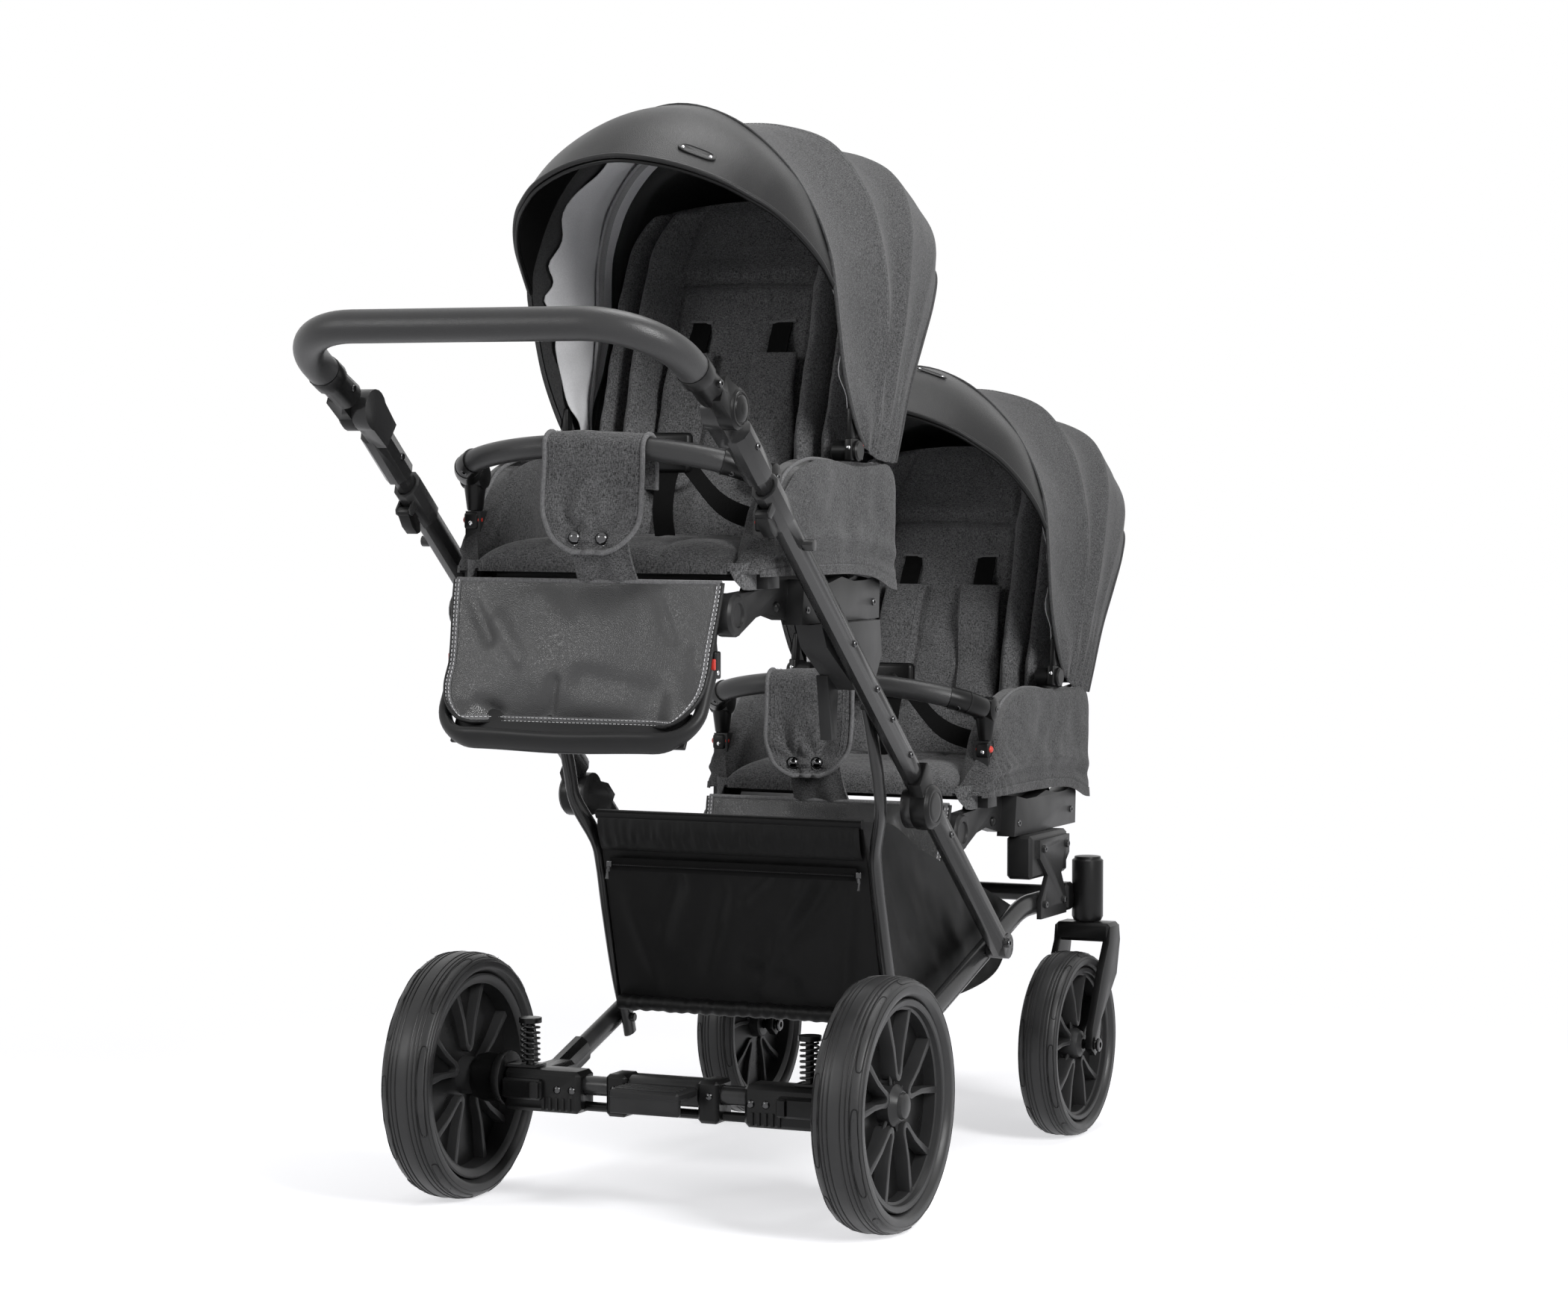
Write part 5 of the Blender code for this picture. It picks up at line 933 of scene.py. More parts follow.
fold_cover = turned_part([(0.0, 0.2436), (0.012, 0.2436), (0.0165, 0.2434), (0.0180, 0.2426),
                          (0.0186, 0.2432),
                          (0.0214, 0.2436), (0.0232, 0.2428), (0.0245, 0.2412), (0.0245, 0.2390),
                          (0.0, 0.2390)],
                         (0.0, *FOLD_PIVOT), 48)
both_sides(fold_cover, "fold_cover", BLACK_PLASTIC, "upper_tubes")
fold_ring = [(0.2384, FOLD_PIVOT[0] + 0.0256 * math.cos(turn), FOLD_PIVOT[1] + 0.0256 * math.sin(turn))
             for turn in turns(64)]
both_sides(bent_tube(fold_ring, 0.0011, sides=8, closed=True), "fold_ring", BRIGHT_METAL, "upper_tubes")
print("hardware made")

# %% [markdown]
# ## The hoods
# A hood is cloth stretched over bows that fan out from one pivot. Each bow is a list of places for one side;
# the cloth runs smoothly through them, sinks a little between two bows and gathers in folds at the foot.
# %% Hood bows
HOOD_PIVOT = Vector((0.0, 0.080, 0.165))
SEAM_BOW = [(0.1890, 0.102, 0.171), (0.1910, 0.073, 0.197), (0.1930, 0.037, 0.250), (0.1945, 0.017, 0.303),
            (0.1955, 0.003, 0.347), (0.1900, 0.000, 0.388), (0.1700, 0.000, 0.438), (0.1330, 0.000, 0.492),
            (0.0720, 0.000, 0.541), (0.0, 0.000, 0.561)]
CREASE_BOW = [(0.1900, 0.122, 0.160), (0.1955, 0.130, 0.205), (0.1960, 0.142, 0.253), (0.1960, 0.154, 0.305),
              (0.1950, 0.156, 0.355), (0.1880, 0.152, 0.410), (0.1680, 0.151, 0.470), (0.1250, 0.152, 0.523),
              (0.0620, 0.154, 0.545), (0.0, 0.155, 0.549)]
CROWN_BOW = [(0.1910, 0.143, 0.154), (0.1950, 0.165, 0.200), (0.1960, 0.185, 0.255), (0.1950, 0.210, 0.315),
             (0.1920, 0.232, 0.380), (0.1830, 0.255, 0.440), (0.1580, 0.268, 0.490), (0.1120, 0.275, 0.516),
             (0.0500, 0.276, 0.528), (0.0, 0.276, 0.530)]
REAR_BOW = [(0.1925, 0.165, 0.152), (0.1935, 0.190, 0.193), (0.1920, 0.220, 0.250), (0.1890, 0.265, 0.310),
            (0.1830, 0.315, 0.370), (0.1720, 0.355, 0.415), (0.1480, 0.385, 0.445), (0.1050, 0.410, 0.463),
            (0.0500, 0.428, 0.471), (0.0, 0.433, 0.473)]
HEM_BOW = [(0.1930, 0.184, 0.152), (0.1910, 0.204, 0.182), (0.1880, 0.240, 0.240), (0.1840, 0.288, 0.295),
           (0.1770, 0.335, 0.340), (0.1650, 0.375, 0.375), (0.1400, 0.410, 0.390), (0.1000, 0.435, 0.395),
           (0.0500, 0.452, 0.395), (0.0, 0.457, 0.393)]
VISOR_SEAM = [(0.1955, 0.003, 0.347), (0.1930, 0.000, 0.373), (0.1840, 0.000, 0.403), (0.1720, 0.000, 0.434),
              (0.1570, 0.000, 0.463), (0.1370, 0.000, 0.488), (0.1080, 0.000, 0.516), (0.0740, 0.000, 0.540),
              (0.0380, 0.000, 0.556), (0.0, 0.000, 0.561)]
VISOR_RIM = [(0.1940, 0.000, 0.353), (0.1900, -0.025, 0.378), (0.1840, -0.048, 0.397),
             (0.1740, -0.071, 0.416), (0.1600, -0.093, 0.434), (0.1440, -0.111, 0.447),
             (0.1160, -0.133, 0.465), (0.0780, -0.150, 0.480), (0.0400, -0.161, 0.489), (0.0, -0.165, 0.493)]
BOWS = [SEAM_BOW, CREASE_BOW, CROWN_BOW, REAR_BOW, HEM_BOW]


def over_bow(points, u):
    """A place on a bow, u from -1 at the left foot over the top to 1 at the right foot."""
    whole = points + [(-x, y, z) for x, y, z in reversed(points[:-1])]
    return along_points(whole, (1.0 - u) / 2.0)


INSIDE = Vector((0.0, 0.12, 0.24))


def inwards(point, depth):
    """Moves a point of the hood towards its inside, or away from it by a negative depth."""
    return point + (INSIDE - point).normalized() * depth


def hood_place(u, v):
    """The hood's cloth: v runs from the seam bow (0) through the others to the hem (4)."""
    index = min(int(v), 3)
    t = v - index
    rows = [over_bow(BOWS[max(0, min(4, number))], u) for number in range(index - 1, index + 3)]
    if index == 0:
        rows[0] = 2.0 * rows[1] - rows[2]
    if index == 3:
        rows[3] = 2.0 * rows[2] - rows[1]
    point = between(*rows, t)
    height = 1.0 - abs(u)
    depth = (0.009, 0.012, 0.004, 0.001)[index] * math.sin(math.pi * t) * ease(height / 0.35)
    fold = math.sin(v * 9.0 + 2.0 * ripple((v, u * 2.0, 0.0), 1.6)) * 0.0022 * (1.0 - ease(height / 0.30))
    crumple = (0.0022 * ripple(point, 16.0, 2.0) + 0.0010 * ripple(point, 42.0, 7.0)) * math.sin(math.pi * t)
    seam = 0.0016 * bell(v, 1.0, 0.035) + 0.0012 * bell(v, 0.0, 0.04)
    return inwards(point, depth + fold + crumple - seam)


def visor_place(u, v):
    """The leatherette peak: v from its seam (0) to its rim (1)."""
    first = over_bow(VISOR_SEAM, u)
    last = over_bow(VISOR_RIM, u)
    rise = 0.017 * math.sin(math.pi * v) * ease((1.0 - abs(u)) / 0.5)
    dent = 0.0012 * ripple(first + last, 9.0, 4.0) * math.sin(math.pi * v)
    lift = Vector((first.x * 0.35, -0.35, 0.8)).normalized() * rise
    return first.lerp(last, v) + lift * (1.0 + dent * 20.0)


def rear_place(u, v):
    """The cloth that closes the hood's back, between the two halves of its hem."""
    height = (v + 1.0) / 2.0
    right = over_bow(HEM_BOW, 1.0 - height * 0.999)
    left = Vector((-right.x, right.y, right.z))
    middle = left.lerp(right, (u + 1.0) / 2.0)
    belly = (1.0 - u * u) * math.sin(math.pi * min(1.0, height)) ** 0.7
    crease = 0.003 * ripple((middle.x, middle.z, 0.0), 18.0, 3.0) * belly
    return middle + Vector((0.0, 0.020 * belly + crease, -0.012 * belly))


# %% Hood cloth


def cloth_grid(place, across, along, low_u=-1.0, high_u=1.0, low_v=0.0, high_v=1.0):
    return from_rows([[place(u, v) for u in spread(low_u, high_u, across)]
                      for v in spread(low_v, high_v, along)])


def outward(piece, centre):
    """Turns an open sheet so that its faces look away from a point inside it."""
    total = sum((face.center - Vector(centre)).dot(face.normal) * face.area for face in piece.data.polygons)
    return edited(piece, bpy.ops.mesh.flip_normals) if total < 0.0 else piece


def hood_lines(line, low_u, high_u, count, shift=0.0):
    return [inwards(over_bow(line, u), -shift) for u in spread(low_u, high_u, count)]


def on_visor(u, v, across, along, lift):
    """A point over the visor, counted in metres from (u, v)."""
    here = visor_place(u, v)
    right = (visor_place(u + 0.01, v) - here).normalized()
    down = (visor_place(u, v + 0.01) - here).normalized()
    out = right.cross(down).normalized()
    if out.dot(here - INSIDE) < 0.0:
        out = -out
    return here + right * across + down * along + out * lift


def name_plate(u, v):
    """A bare oval plate: a low bead round a flat middle."""
    rings = []
    for scale, lift in ((1.0, 0.0002), (1.0, 0.0012), (0.90, 0.0018), (0.80, 0.0012), (0.78, 0.0010),
                        (0.02, 0.0010)):
        wide, tall = 0.0225 * scale, 0.0070 * scale
        rings.append([on_visor(u, v, wide * math.copysign(abs(math.cos(turn)) ** 0.55, math.cos(turn)),
                               tall * math.sin(turn), lift) for turn in turns(48)])
    return from_rows(rings, around=True)


def plate_rivets(u, v):
    pieces = []
    for across in (-0.0165, 0.0165):
        out = on_visor(u, v, across, 0.0, 1.0) - on_visor(u, v, across, 0.0, 0.0)
        pieces.append(rivet(on_visor(u, v, across, 0.0, 0.0010), 0.0022, 0.0012, out))
    return joined(pieces)


# %% Hood linings


def lining_place(u, v):
    wave = 0.05 * math.sin(u * 47.0 + 2.0 * ripple((u, 0.0, 0.0), 4.0)) * (1.0 - v / 0.3) if v < 0.3 else 0.0
    point = hood_place(u, 0.14 + wave + 1.16 * v)
    return inwards(point, 0.0110 + 0.003 * ripple(point, 24.0, 9.0) + 0.003 * math.sin(u * 26.0) * (1.0 - v))


def rear_lining_place(u, v):
    point = hood_place(u, 1.27 + 2.55 * v)
    return inwards(point, 0.0065 + 0.002 * ripple(point, 20.0, 5.0))


def front_lining_place(u, v):
    return inwards(hood_place(u, 0.01 + 0.24 * v), 0.0040 + 0.0015 * v)


def bow_tape_place(u, v):
    return inwards(hood_place(u, 0.94 + 0.14 * v), 0.0150)


def visor_lining_place(u, v):
    return inwards(visor_place(u, v), 0.0040)


# Name, surface, steps across and along, ends of u and v, thickness, finish, width, what it rests on.
LININGS = [("hood_lining", lining_place, 120, 24, 0.99, 1.0, 0.0010, LINING, 1.20, "hood_cloth"),
           ("hood_lining_rear", rear_lining_place, 90, 36, 0.985, 1.0, 0.0010, LINING_DARK, 1.10,
            "hood_cloth"),
           ("hood_lining_front", front_lining_place, 100, 6, 0.985, 1.0, 0.0010, LINING_DARK, 1.25,
            "hood_cloth"),
           ("bow_tape", bow_tape_place, 110, 3, 0.985, 1.0, 0.0030, BOW_TAPE, 1.15, "hood_lining"),
           ("visor_lining", visor_lining_place, 90, 8, 0.99, 0.97, 0.0010, WEBBING, 0.70, "hood_visor")]
print("linings of each hood", [row[0] for row in LININGS])

# %% Make the hoods


def build_hood(prefix, mount, lean, plate):
    turn = Matrix.Rotation(-math.radians(lean), 4, "X")
    turn = Matrix.Translation(HOOD_PIVOT) @ turn @ Matrix.Translation(-HOOD_PIVOT)
    put = maker(prefix, "hood", mount, turn)
    shell = outward(cloth_grid(hood_place, 128, 64, high_v=4.0), INSIDE)
    rear = outward(cloth_grid(rear_place, 40, 40, low_v=-0.90), INSIDE)
    cloth = put(joined([thickened(shell, 0.0016), thickened(rear, 0.0016)]), "hood_cloth", HOOD_CLOTH_PAINTED_SHADE,
                ("hood",))
    declare_sheet(cloth, 1.30)
    peak = put(thickened(outward(cloth_grid(visor_place, 96, 18), INSIDE), 0.0022), "hood_visor", LEATHERETTE)
    declare_sheet(peak, 0.72)
    rim_line = hood_lines(VISOR_RIM, -1.0, 1.0, 96)
    put(bent_tube(rim_line, 0.0030, sides=12), "visor_piping", LEATHERETTE)
    second = [point + Vector((0.0, 0.0045, -0.0052)) for point in rim_line]
    put(bent_tube(second, 0.0026, sides=10), "visor_piping_inner", BLACK_PLASTIC, angle=60.0)
    put(bent_tube(hood_lines(SEAM_BOW, -1.0, 1.0, 110, 0.0008), 0.0016, sides=8), "seam_tape", DARK_TAPE)
    edges = [bent_tube(hood_lines(SEAM_BOW, low, high, 30), 0.0030, 0.7, 10)
             for low, high in ((0.44, 1.0), (-1.0, -0.44))]
    put(joined(edges), "front_binding", DARK_TAPE)
    put(bent_tube(hood_lines(HEM_BOW, -1.0, 1.0, 110), 0.0024, sides=8), "rear_piping", DARK_TAPE)
    for v, name in ((0.965, "crease_stitch_a"), (1.035, "crease_stitch_b")):
        line = [inwards(hood_place(u, v), -0.0006) for u in spread(-0.97, 0.97, 120)]
        stitched(put, line, name, gap=0.0018, radius=0.00032)
    for name, place, across, along, end_u, end_v, thickness, finish, width, below in LININGS:
        sheet = outward(cloth_grid(place, across, along, -end_u, end_u, 0.0, end_v), INSIDE)
        sheet = put(thickened(sheet, thickness), name, finish)
        declare_sheet(sheet, width)
    put(name_plate(*plate), "visor_plate", LEATHERETTE, angle=35.0)
    put(plate_rivets(*plate), "visor_plate_rivets", BRIGHT_METAL)
    hubs, marks, reds = [], [], []
    for side in (-1.0, 1.0):
        low, high = sorted((side * 0.1600, side * 0.1935))
        hubs.append(turned_part([(0.0, high), (0.010, high), (0.012, high - 0.002), (0.012, low + 0.002),
                                 (0.010, low),
                                 (0.0, low)], HOOD_PIVOT, 32))
        low, high = sorted((side * 0.1790, side * 0.1885))
        hubs.append(moulded_block((low, 0.066, 0.1535), (high, 0.100, 0.1800)))
        hubs.append(moulded_block((low + 0.001, 0.070, 0.172), (high - 0.001, 0.084, 0.215)))
        marks.append(rivet((side * 0.1886, 0.072, 0.1680), 0.0028, 0.0014, (side, 0.0, 0.0)))
        x = side * 0.1840
        marks.append(rivet((x, 0.0658, 0.1690), 0.0026, 0.0014, REARWARDS))
        reds.append(moulded_block((x - 0.0060, 0.0905, 0.1650), (x + 0.0060, 0.0985, 0.1730)))
    put(joined(hubs), "hood_pivots", BLACK_PLASTIC)
    put(joined(marks), "hood_pivot_rivets", BRIGHT_METAL)
    put(joined(reds), "hood_pivot_buttons", RED_PLASTIC)


build_hood("high", HIGH, 0.0, (0.24, 0.825))
build_hood("low", LOW, 6.0, (0.14, 0.30))
print("hoods made")

# %% [markdown]
# ## Backrests
# The back is a padded shell: a flat middle with one seam across it, a deep roll on each side, and a soft edge
# that stands forward. Its front is one surface whose depth is a sum of rolls, channels and small creases.
# %% Backrest shape
LEAN = math.radians(18.0)
UP = Vector((0.0, math.sin(LEAN), math.cos(LEAN)))
BACK = Vector((0.0, math.cos(LEAN), -math.sin(LEAN)))
RECLINE = Vector((0.0, 0.095, 0.047))
BACK_HEIGHT = 0.438
SEAM_HEIGHT = 0.755


def back_half(height):
    corner = max(0.0, (height - 0.80) / 0.20)
    return 0.157 * (1.0 - 0.26 * corner ** 2.2)


def back_front(u, v):
    height = v
    corner = max(0.0, (height - 0.80) / 0.20)
    side = abs(u)
    roll = bell(side, 0.715, 0.115) * 0.052 + bell(side, 0.93, 0.085) * 0.046
    channel = -0.009 * bell(side, 0.565, 0.026) - 0.012 * bell(side, 0.835, 0.024)
    rise = 0.35 + 0.65 * ease(height / 0.30)
    fade = 1.0 - 0.45 * ease((height - 0.62) / 0.38)
    crown = 0.014 * (1.0 - min(1.0, side / 0.56) ** 2) * (1.0 - 0.4 * height)
    seam = -0.0065 * bell(height, SEAM_HEIGHT, 0.010) * (1.0 - ease((side - 0.52) / 0.06))
    beside = bell(height, SEAM_HEIGHT + 0.035, 0.025) + bell(height, SEAM_HEIGHT - 0.03, 0.025)
    seam += 0.0035 * beside * (side < 0.62)
    spot = Vector((u * 0.16, 0.0, height * BACK_HEIGHT))
    crease = 0.0042 * ripple(spot, 18.0, 1.0) + 0.0018 * ripple(spot, 50.0, 3.0)
    tuck = 0.0040 * bell(side, 0.60, 0.06) * math.sin(height * 34.0 + 3.0 * u) * ease((height - 0.55) / 0.25)
    pull = -0.0060 * bell(side, 0.30, 0.07) * bell(height, 0.60, 0.05)
    edge = ease((1.0 - height) / 0.05)
    depth = (crown + (roll + channel) * rise * fade + seam + crease + tuck + pull) * edge
    along = BACK_HEIGHT * height - 0.012 * u * u * corner
    return RECLINE + Vector((back_half(height) * u, 0.0, 0.0)) + UP * along - BACK * depth


def back_rear(u, v):
    spot = Vector((u * 0.16, 1.0, v * BACK_HEIGHT))
    corner = max(0.0, (v - 0.80) / 0.20)
    puff = 0.0016 * ripple(spot, 14.0, 8.0)
    depth = 0.044 * (1.0 - 0.35 * max(abs(u), abs(2.0 * v - 1.0)) ** 8) + puff
    along = BACK_HEIGHT * v - 0.012 * u * u * corner
    return RECLINE + Vector((back_half(v) * u, 0.0, 0.0)) + UP * along + BACK * depth


def two_sided(front, rear, across, along):
    """A closed pad from a front and a rear surface over the same grid."""
    ahead, behind = spread(-1.0, 1.0, across), spread(1.0, -1.0, across)
    loops = [[front(u, v) for u in ahead] + [rear(u, v) for u in behind] for v in spread(0.0, 1.0, along)]
    return closed_up(from_rows(loops, around=True), 0.0002)


# %% Make the backrests with belts


def strap(points, width=0.025, thickness=0.0018, across=RIGHT):
    """Flat webbing along points, its width laid across a direction."""
    wide = Vector(across).normalized() * width / 2.0
    return thickened(from_rows([[Vector(point) - wide, Vector(point) + wide] for point in points]),
                     thickness, 0.0)


def on_back(x, height, lift):
    """A point in front of the backrest's middle panel."""
    return back_front(x / back_half(height), height) - BACK * lift


def shoulder_pad(x_top, x_low, top, low, half):
    """A long soft pad that wraps a shoulder belt."""
    rows = []
    for part in spread(0.0, 1.0, 26):
        round_end = min(1.0, math.sqrt(max(0.0, 1.0 - max(0.0, (part - 0.90) / 0.10) ** 2)) * 0.5 + 0.5)
        centre = on_back(x_top + (x_low - x_top) * part, top + (low - top) * part,
                         0.011 + 0.002 * math.sin(part * 7.0))
        row = []
        for turn in turns(16):
            side = math.copysign(abs(math.cos(turn)) ** 0.55, math.cos(turn))
            thick = 0.0065 * math.copysign(abs(math.sin(turn)) ** 0.8, math.sin(turn))
            thick *= 0.55 + 0.45 * math.sin(math.pi * min(1.0, max(0.0, part * 1.02))) ** 0.3
            row.append(centre + Vector((half * round_end * side, 0.0, 0.0)) - BACK * thick)
        rows.append(row)
    return from_rows(rows, around=True)


def build_back(prefix, mount):
    put = maker(prefix, "backrest", mount)
    pad = put(two_sided(back_front, back_rear, 110, 90), "backrest_pad", SEAT_CLOTH_PAINTED_LIGHT, ("backrest",))
    stitched(put, [on_back(x, SEAM_HEIGHT - 0.012, 0.0005) for x in spread(-0.083, 0.083, 40)],
             "back_seam_stitches")
    for number, side in enumerate((-1.0, 1.0)):
        x = side * 0.052
        opening = [on_back(x + 0.016 * part, 0.645 + 0.004 * side * part, 0.0002)
                   for part in spread(-1.0, 1.0, 8)]
        put(bent_tube(opening, 0.0022, sides=8), f"belt_slot_{number}", EDGE_TAPE)
        belt = [on_back(x * (1.0 + 0.2 * (0.64 - height)), height,
                        0.002 + 0.006 * ease((0.64 - height) / 0.05))
                for height in (0.642, 0.625, 0.60, 0.57, 0.54)]
        belt = put(strap(belt), f"shoulder_belt_{number}", WEBBING, angle=40.0)
        declare_sheet(belt, 0.025)
        soft = put(shoulder_pad(x * 1.02, x * 1.25, 0.545, 0.16, 0.029), f"shoulder_pad_{number}", SEAT_CLOTH_PAINTED_LIGHT)
        for edge in (-1.0, 1.0):
            line = [on_back(x * (1.02 + 0.23 * part) + edge * 0.0235, 0.535 - 0.36 * part, 0.0168)
                    for part in spread(0.0, 1.0, 32)]
            stitched(put, line, f"pad_stitch_{number}_{int(edge + 1)}", length=0.0032)


for prefix, mount in SEATS.items():
    build_back(prefix, mount)
print("backrests made")

# %% [markdown]
# ## Seat cushions and side wings
# The cushion swells between its sewn channels. The wings are soft covers over the seat's sides: they bulge
# outwards, wrinkle near the arm and have a corded top edge.
# %% Cushion and wings


def cushion_place(u, v, upper):
    y_front, y_back = -0.200, 0.068
    y = y_front + (y_back - y_front) * v + 0.004 * (1.0 - u * u) * (2.0 * v - 1.0)
    x = 0.158 * u * (1.0 - 0.03 * (2.0 * v - 1.0) ** 2)
    if not upper:
        return Vector((x, y, 0.0306))
    spot = Vector((x, y, 0.0))
    rim = (1.0 - abs(u) ** 6) * (1.0 - abs(2.0 * v - 1.0) ** 6)
    crown = 0.012 + 0.026 * rim ** 0.5
    crown -= 0.006 * bell(abs(u), 0.45, 0.035) * rim + 0.005 * bell(v, 0.55, 0.02) * rim
    crown += (0.0022 * ripple(spot, 22.0, 6.0) + 0.0012 * ripple(spot, 60.0, 2.0)) * rim
    return Vector((x, y, 0.0306 + crown))


WING_TOP = [(0.0, -0.150, 0.094), (0.0, -0.124, 0.122), (0.0, -0.095, 0.143), (0.0, -0.045, 0.155),
            (0.0, 0.010, 0.154),
            (0.0, 0.065, 0.1475), (0.0, 0.115, 0.1475), (0.0, 0.165, 0.1480), (0.0, 0.194, 0.124)]
WING_LOW = [(0.0, -0.196, 0.0305), (0.0, -0.150, 0.0305), (0.0, -0.105, 0.0300), (0.0, -0.050, 0.0290),
            (0.0, 0.005, 0.0285), (0.0, 0.060, 0.0270), (0.0, 0.110, 0.0220), (0.0, 0.160, 0.0080),
            (0.0, 0.197, 0.0040)]


def wing_place(u, v, outer, side):
    """One soft side cover: u from its lower edge to its top, v from front to back."""
    low = along_points(WING_LOW, v)
    if not outer:
        low.z = 0.0310
    spot = low.lerp(along_points(WING_TOP, v), u)
    front = 0.152 + 0.029 * u ** 0.8
    bulge = (1.0 - (2.0 * u - 1.0) ** 6) * (1.0 - (2.0 * v - 1.0) ** 10)
    seed = Vector((side, spot.y, spot.z))
    fold = 0.0045 * ripple(seed, 13.0, 11.0) + 0.0020 * ripple(seed, 34.0, 13.0)
    if outer:
        wrap = math.sin(math.pi / 2.0 * min(1.0, v / 0.05))
        crease = -0.0035 * bell(u, 0.20, 0.05) + 0.0030 * bell(u, 0.30, 0.07)
        radiate = 0.0030 * math.sin(26.0 * math.atan2(spot.z - 0.12, spot.y + 0.16))
        radiate *= bell(v, 0.12, 0.16) * (1.0 - u)
        x = front + (0.1920 - front) * wrap + (0.0030 + fold + crease + radiate) * bulge * wrap
        x -= 0.010 * ease((v - 0.94) / 0.06)
        x += 0.0018 * (1.0 - ease((spot.z - 0.030) / 0.012)) * wrap * ease((v - 0.2) / 0.2)
    else:
        wrap = math.sin(math.pi / 2.0 * min(1.0, v / 0.06))
        hollow = 0.012 * (1.0 - ease((v - 0.30) / 0.20))
        x = front + (0.1620 - front) * wrap - (hollow * bulge + max(0.0, fold) * bulge) * wrap
    return Vector((side * x, spot.y, spot.z))


def wing_hem(u, v, side):
    """A narrow band over the wing's lower edge."""
    part = 0.03 + 0.93 * u
    top = wing_place(0.07, part, True, side)
    low = along_points(WING_LOW, part).z - 0.0030
    out = side * (0.0010 + 0.0003 * math.sin(40.0 * u)) * (0.3 + 0.7 * v)
    return Vector((top.x + out, top.y, top.z + (low - top.z) * v))


def skirt_place(u, v):
    """The cloth below the cushion: a short strip across the front, longer round both corners."""
    fold = 0.0012 * ripple((u, v, 0.0), 5.0, 3.0) * math.sin(math.pi * v)
    part = max(0.0, (abs(u) - 0.62) / 0.38)
    x = 0.158 * min(1.0, abs(u) / 0.62) + 0.0174 * ease(part / 0.22) + fold * 0.3
    deep = 0.009 + 0.021 * ease(part / 0.16)
    return Vector((math.copysign(x, u), -0.1985 + 0.092 * max(0.0, part - 0.06) + fold * (part == 0.0),
                   0.043 - deep * v))


CROTCH = [Vector((0.012, y, z)) for y, z in ((-0.060, 0.068), (-0.066, 0.095), (-0.060, 0.125),
                                             (-0.045, 0.150))]
WAIST = [(0.150, 0.020, 0.075), (0.110, -0.010, 0.085), (0.070, -0.035, 0.105), (0.030, -0.048, 0.155)]


def build_seat_soft(prefix, mount):
    put = maker(prefix, "seat", mount)
    cushion = two_sided(lambda u, v: cushion_place(u, v, True), lambda u, v: cushion_place(u, v, False), 80,
                        56)
    put(cushion, "cushion", SEAT_CLOTH_PAINTED_LIGHT, ("seat_pad",))
    for name, side in SIDES.items():
        wing = two_sided(lambda u, v: wing_place(v, (u + 1.0) / 2.0, True, side),
                         lambda u, v: wing_place(v, (u + 1.0) / 2.0, False, side), 70, 36)
        put(wing, "wing_" + name, HOOD_CLOTH_PAINTED_SHADE)
        tops = [wing_place(1.0, v, True, side) for v in spread(0.0, 1.0, 60)]
        cord = [Vector((side * 0.1810, top.y, top.z + 0.0006)) for top in tops]
        put(bent_tube(cord, 0.0022, sides=8), "wing_piping_" + name, EDGE_TAPE)
        band = thickened(cloth_grid(lambda u, v: wing_hem((u + 1.0) / 2.0, v, side), 60, 6), 0.0012, 0.0)
        put(closed_up(band, 0.000001), "wing_band_" + name, HOOD_CLOTH_PAINTED_SHADE)
        declare_sheet(band, 0.020)
        hem = [wing_place(0.06, v, True, side) + Vector((side * 0.0007, 0.0, 0.0))
               for v in spread(0.0, 1.0, 50)]
        stitched(put, hem, "wing_hem_" + name)
        belt = strap([along_points([Vector((side * x, y, z)) for x, y, z in WAIST], part)
                      for part in spread(0.0, 1.0, 16)], across=(0.0, 0.35, 1.0))
        belt = put(belt, "waist_belt_" + name, WEBBING, angle=40.0)
        declare_sheet(belt, 0.025)
    skirt = thickened(outward(cloth_grid(skirt_place, 80, 6), (0.0, 0.0, 0.03)), 0.0014)
    put(skirt, "seat_skirt", SEAT_CLOTH_PAINTED_LIGHT)
    declare_sheet(skirt, 0.500)
    screws = [rivet((side * 0.1918, y, z), 0.0045, 0.0018, (side, 0.0, 0.0), True)
              for side in (-1.0, 1.0) for y, z in ((-0.066, -0.013), (0.122, -0.010))]
    put(joined(screws), "shell_screws", DARK_METAL)
    knobs = [rivet((side * 0.1718, -0.108, -0.008), 0.0065, 0.0048, (side, 0.0, 0.0)) for side in (-1.0, 1.0)]
    put(joined(knobs), "arm_knobs", BLACK_PLASTIC)
    belt = strap([along_points(CROTCH, part) for part in spread(0.0, 1.0, 12)])
    belt = put(belt, "crotch_belt", WEBBING, angle=40.0)
    declare_sheet(belt, 0.025)
    buckle = moulded_block((-0.016, -0.056, 0.140), (0.040, -0.040, 0.186), 0.006, 4)
    button = turned_part([(0.0, 0.0035), (0.008, 0.003), (0.0105, 0.0), (0.0105, -0.002), (0.0, -0.002)],
                         steps=28)
    button.data.transform(facing((0.012, -0.056, 0.163), REARWARDS))
    put(joined([buckle, button]), "buckle", BLACK_PLASTIC)


for prefix, mount in SEATS.items():
    build_seat_soft(prefix, mount)
print("cushions and wings made")

# %% [markdown]
# ## Bumper bars and crotch flaps
# The bumper bar is a leatherette sleeve over a bent tube, held by a moulded elbow at each end. The flap hangs
# over it: two layers of cloth with a bound edge, held by two snaps that pull folds into it.
# %% Bumper bar
BUMPER_PIVOT = Vector((0.0, -0.155, 0.137))


BUMPER_X = 0.1815


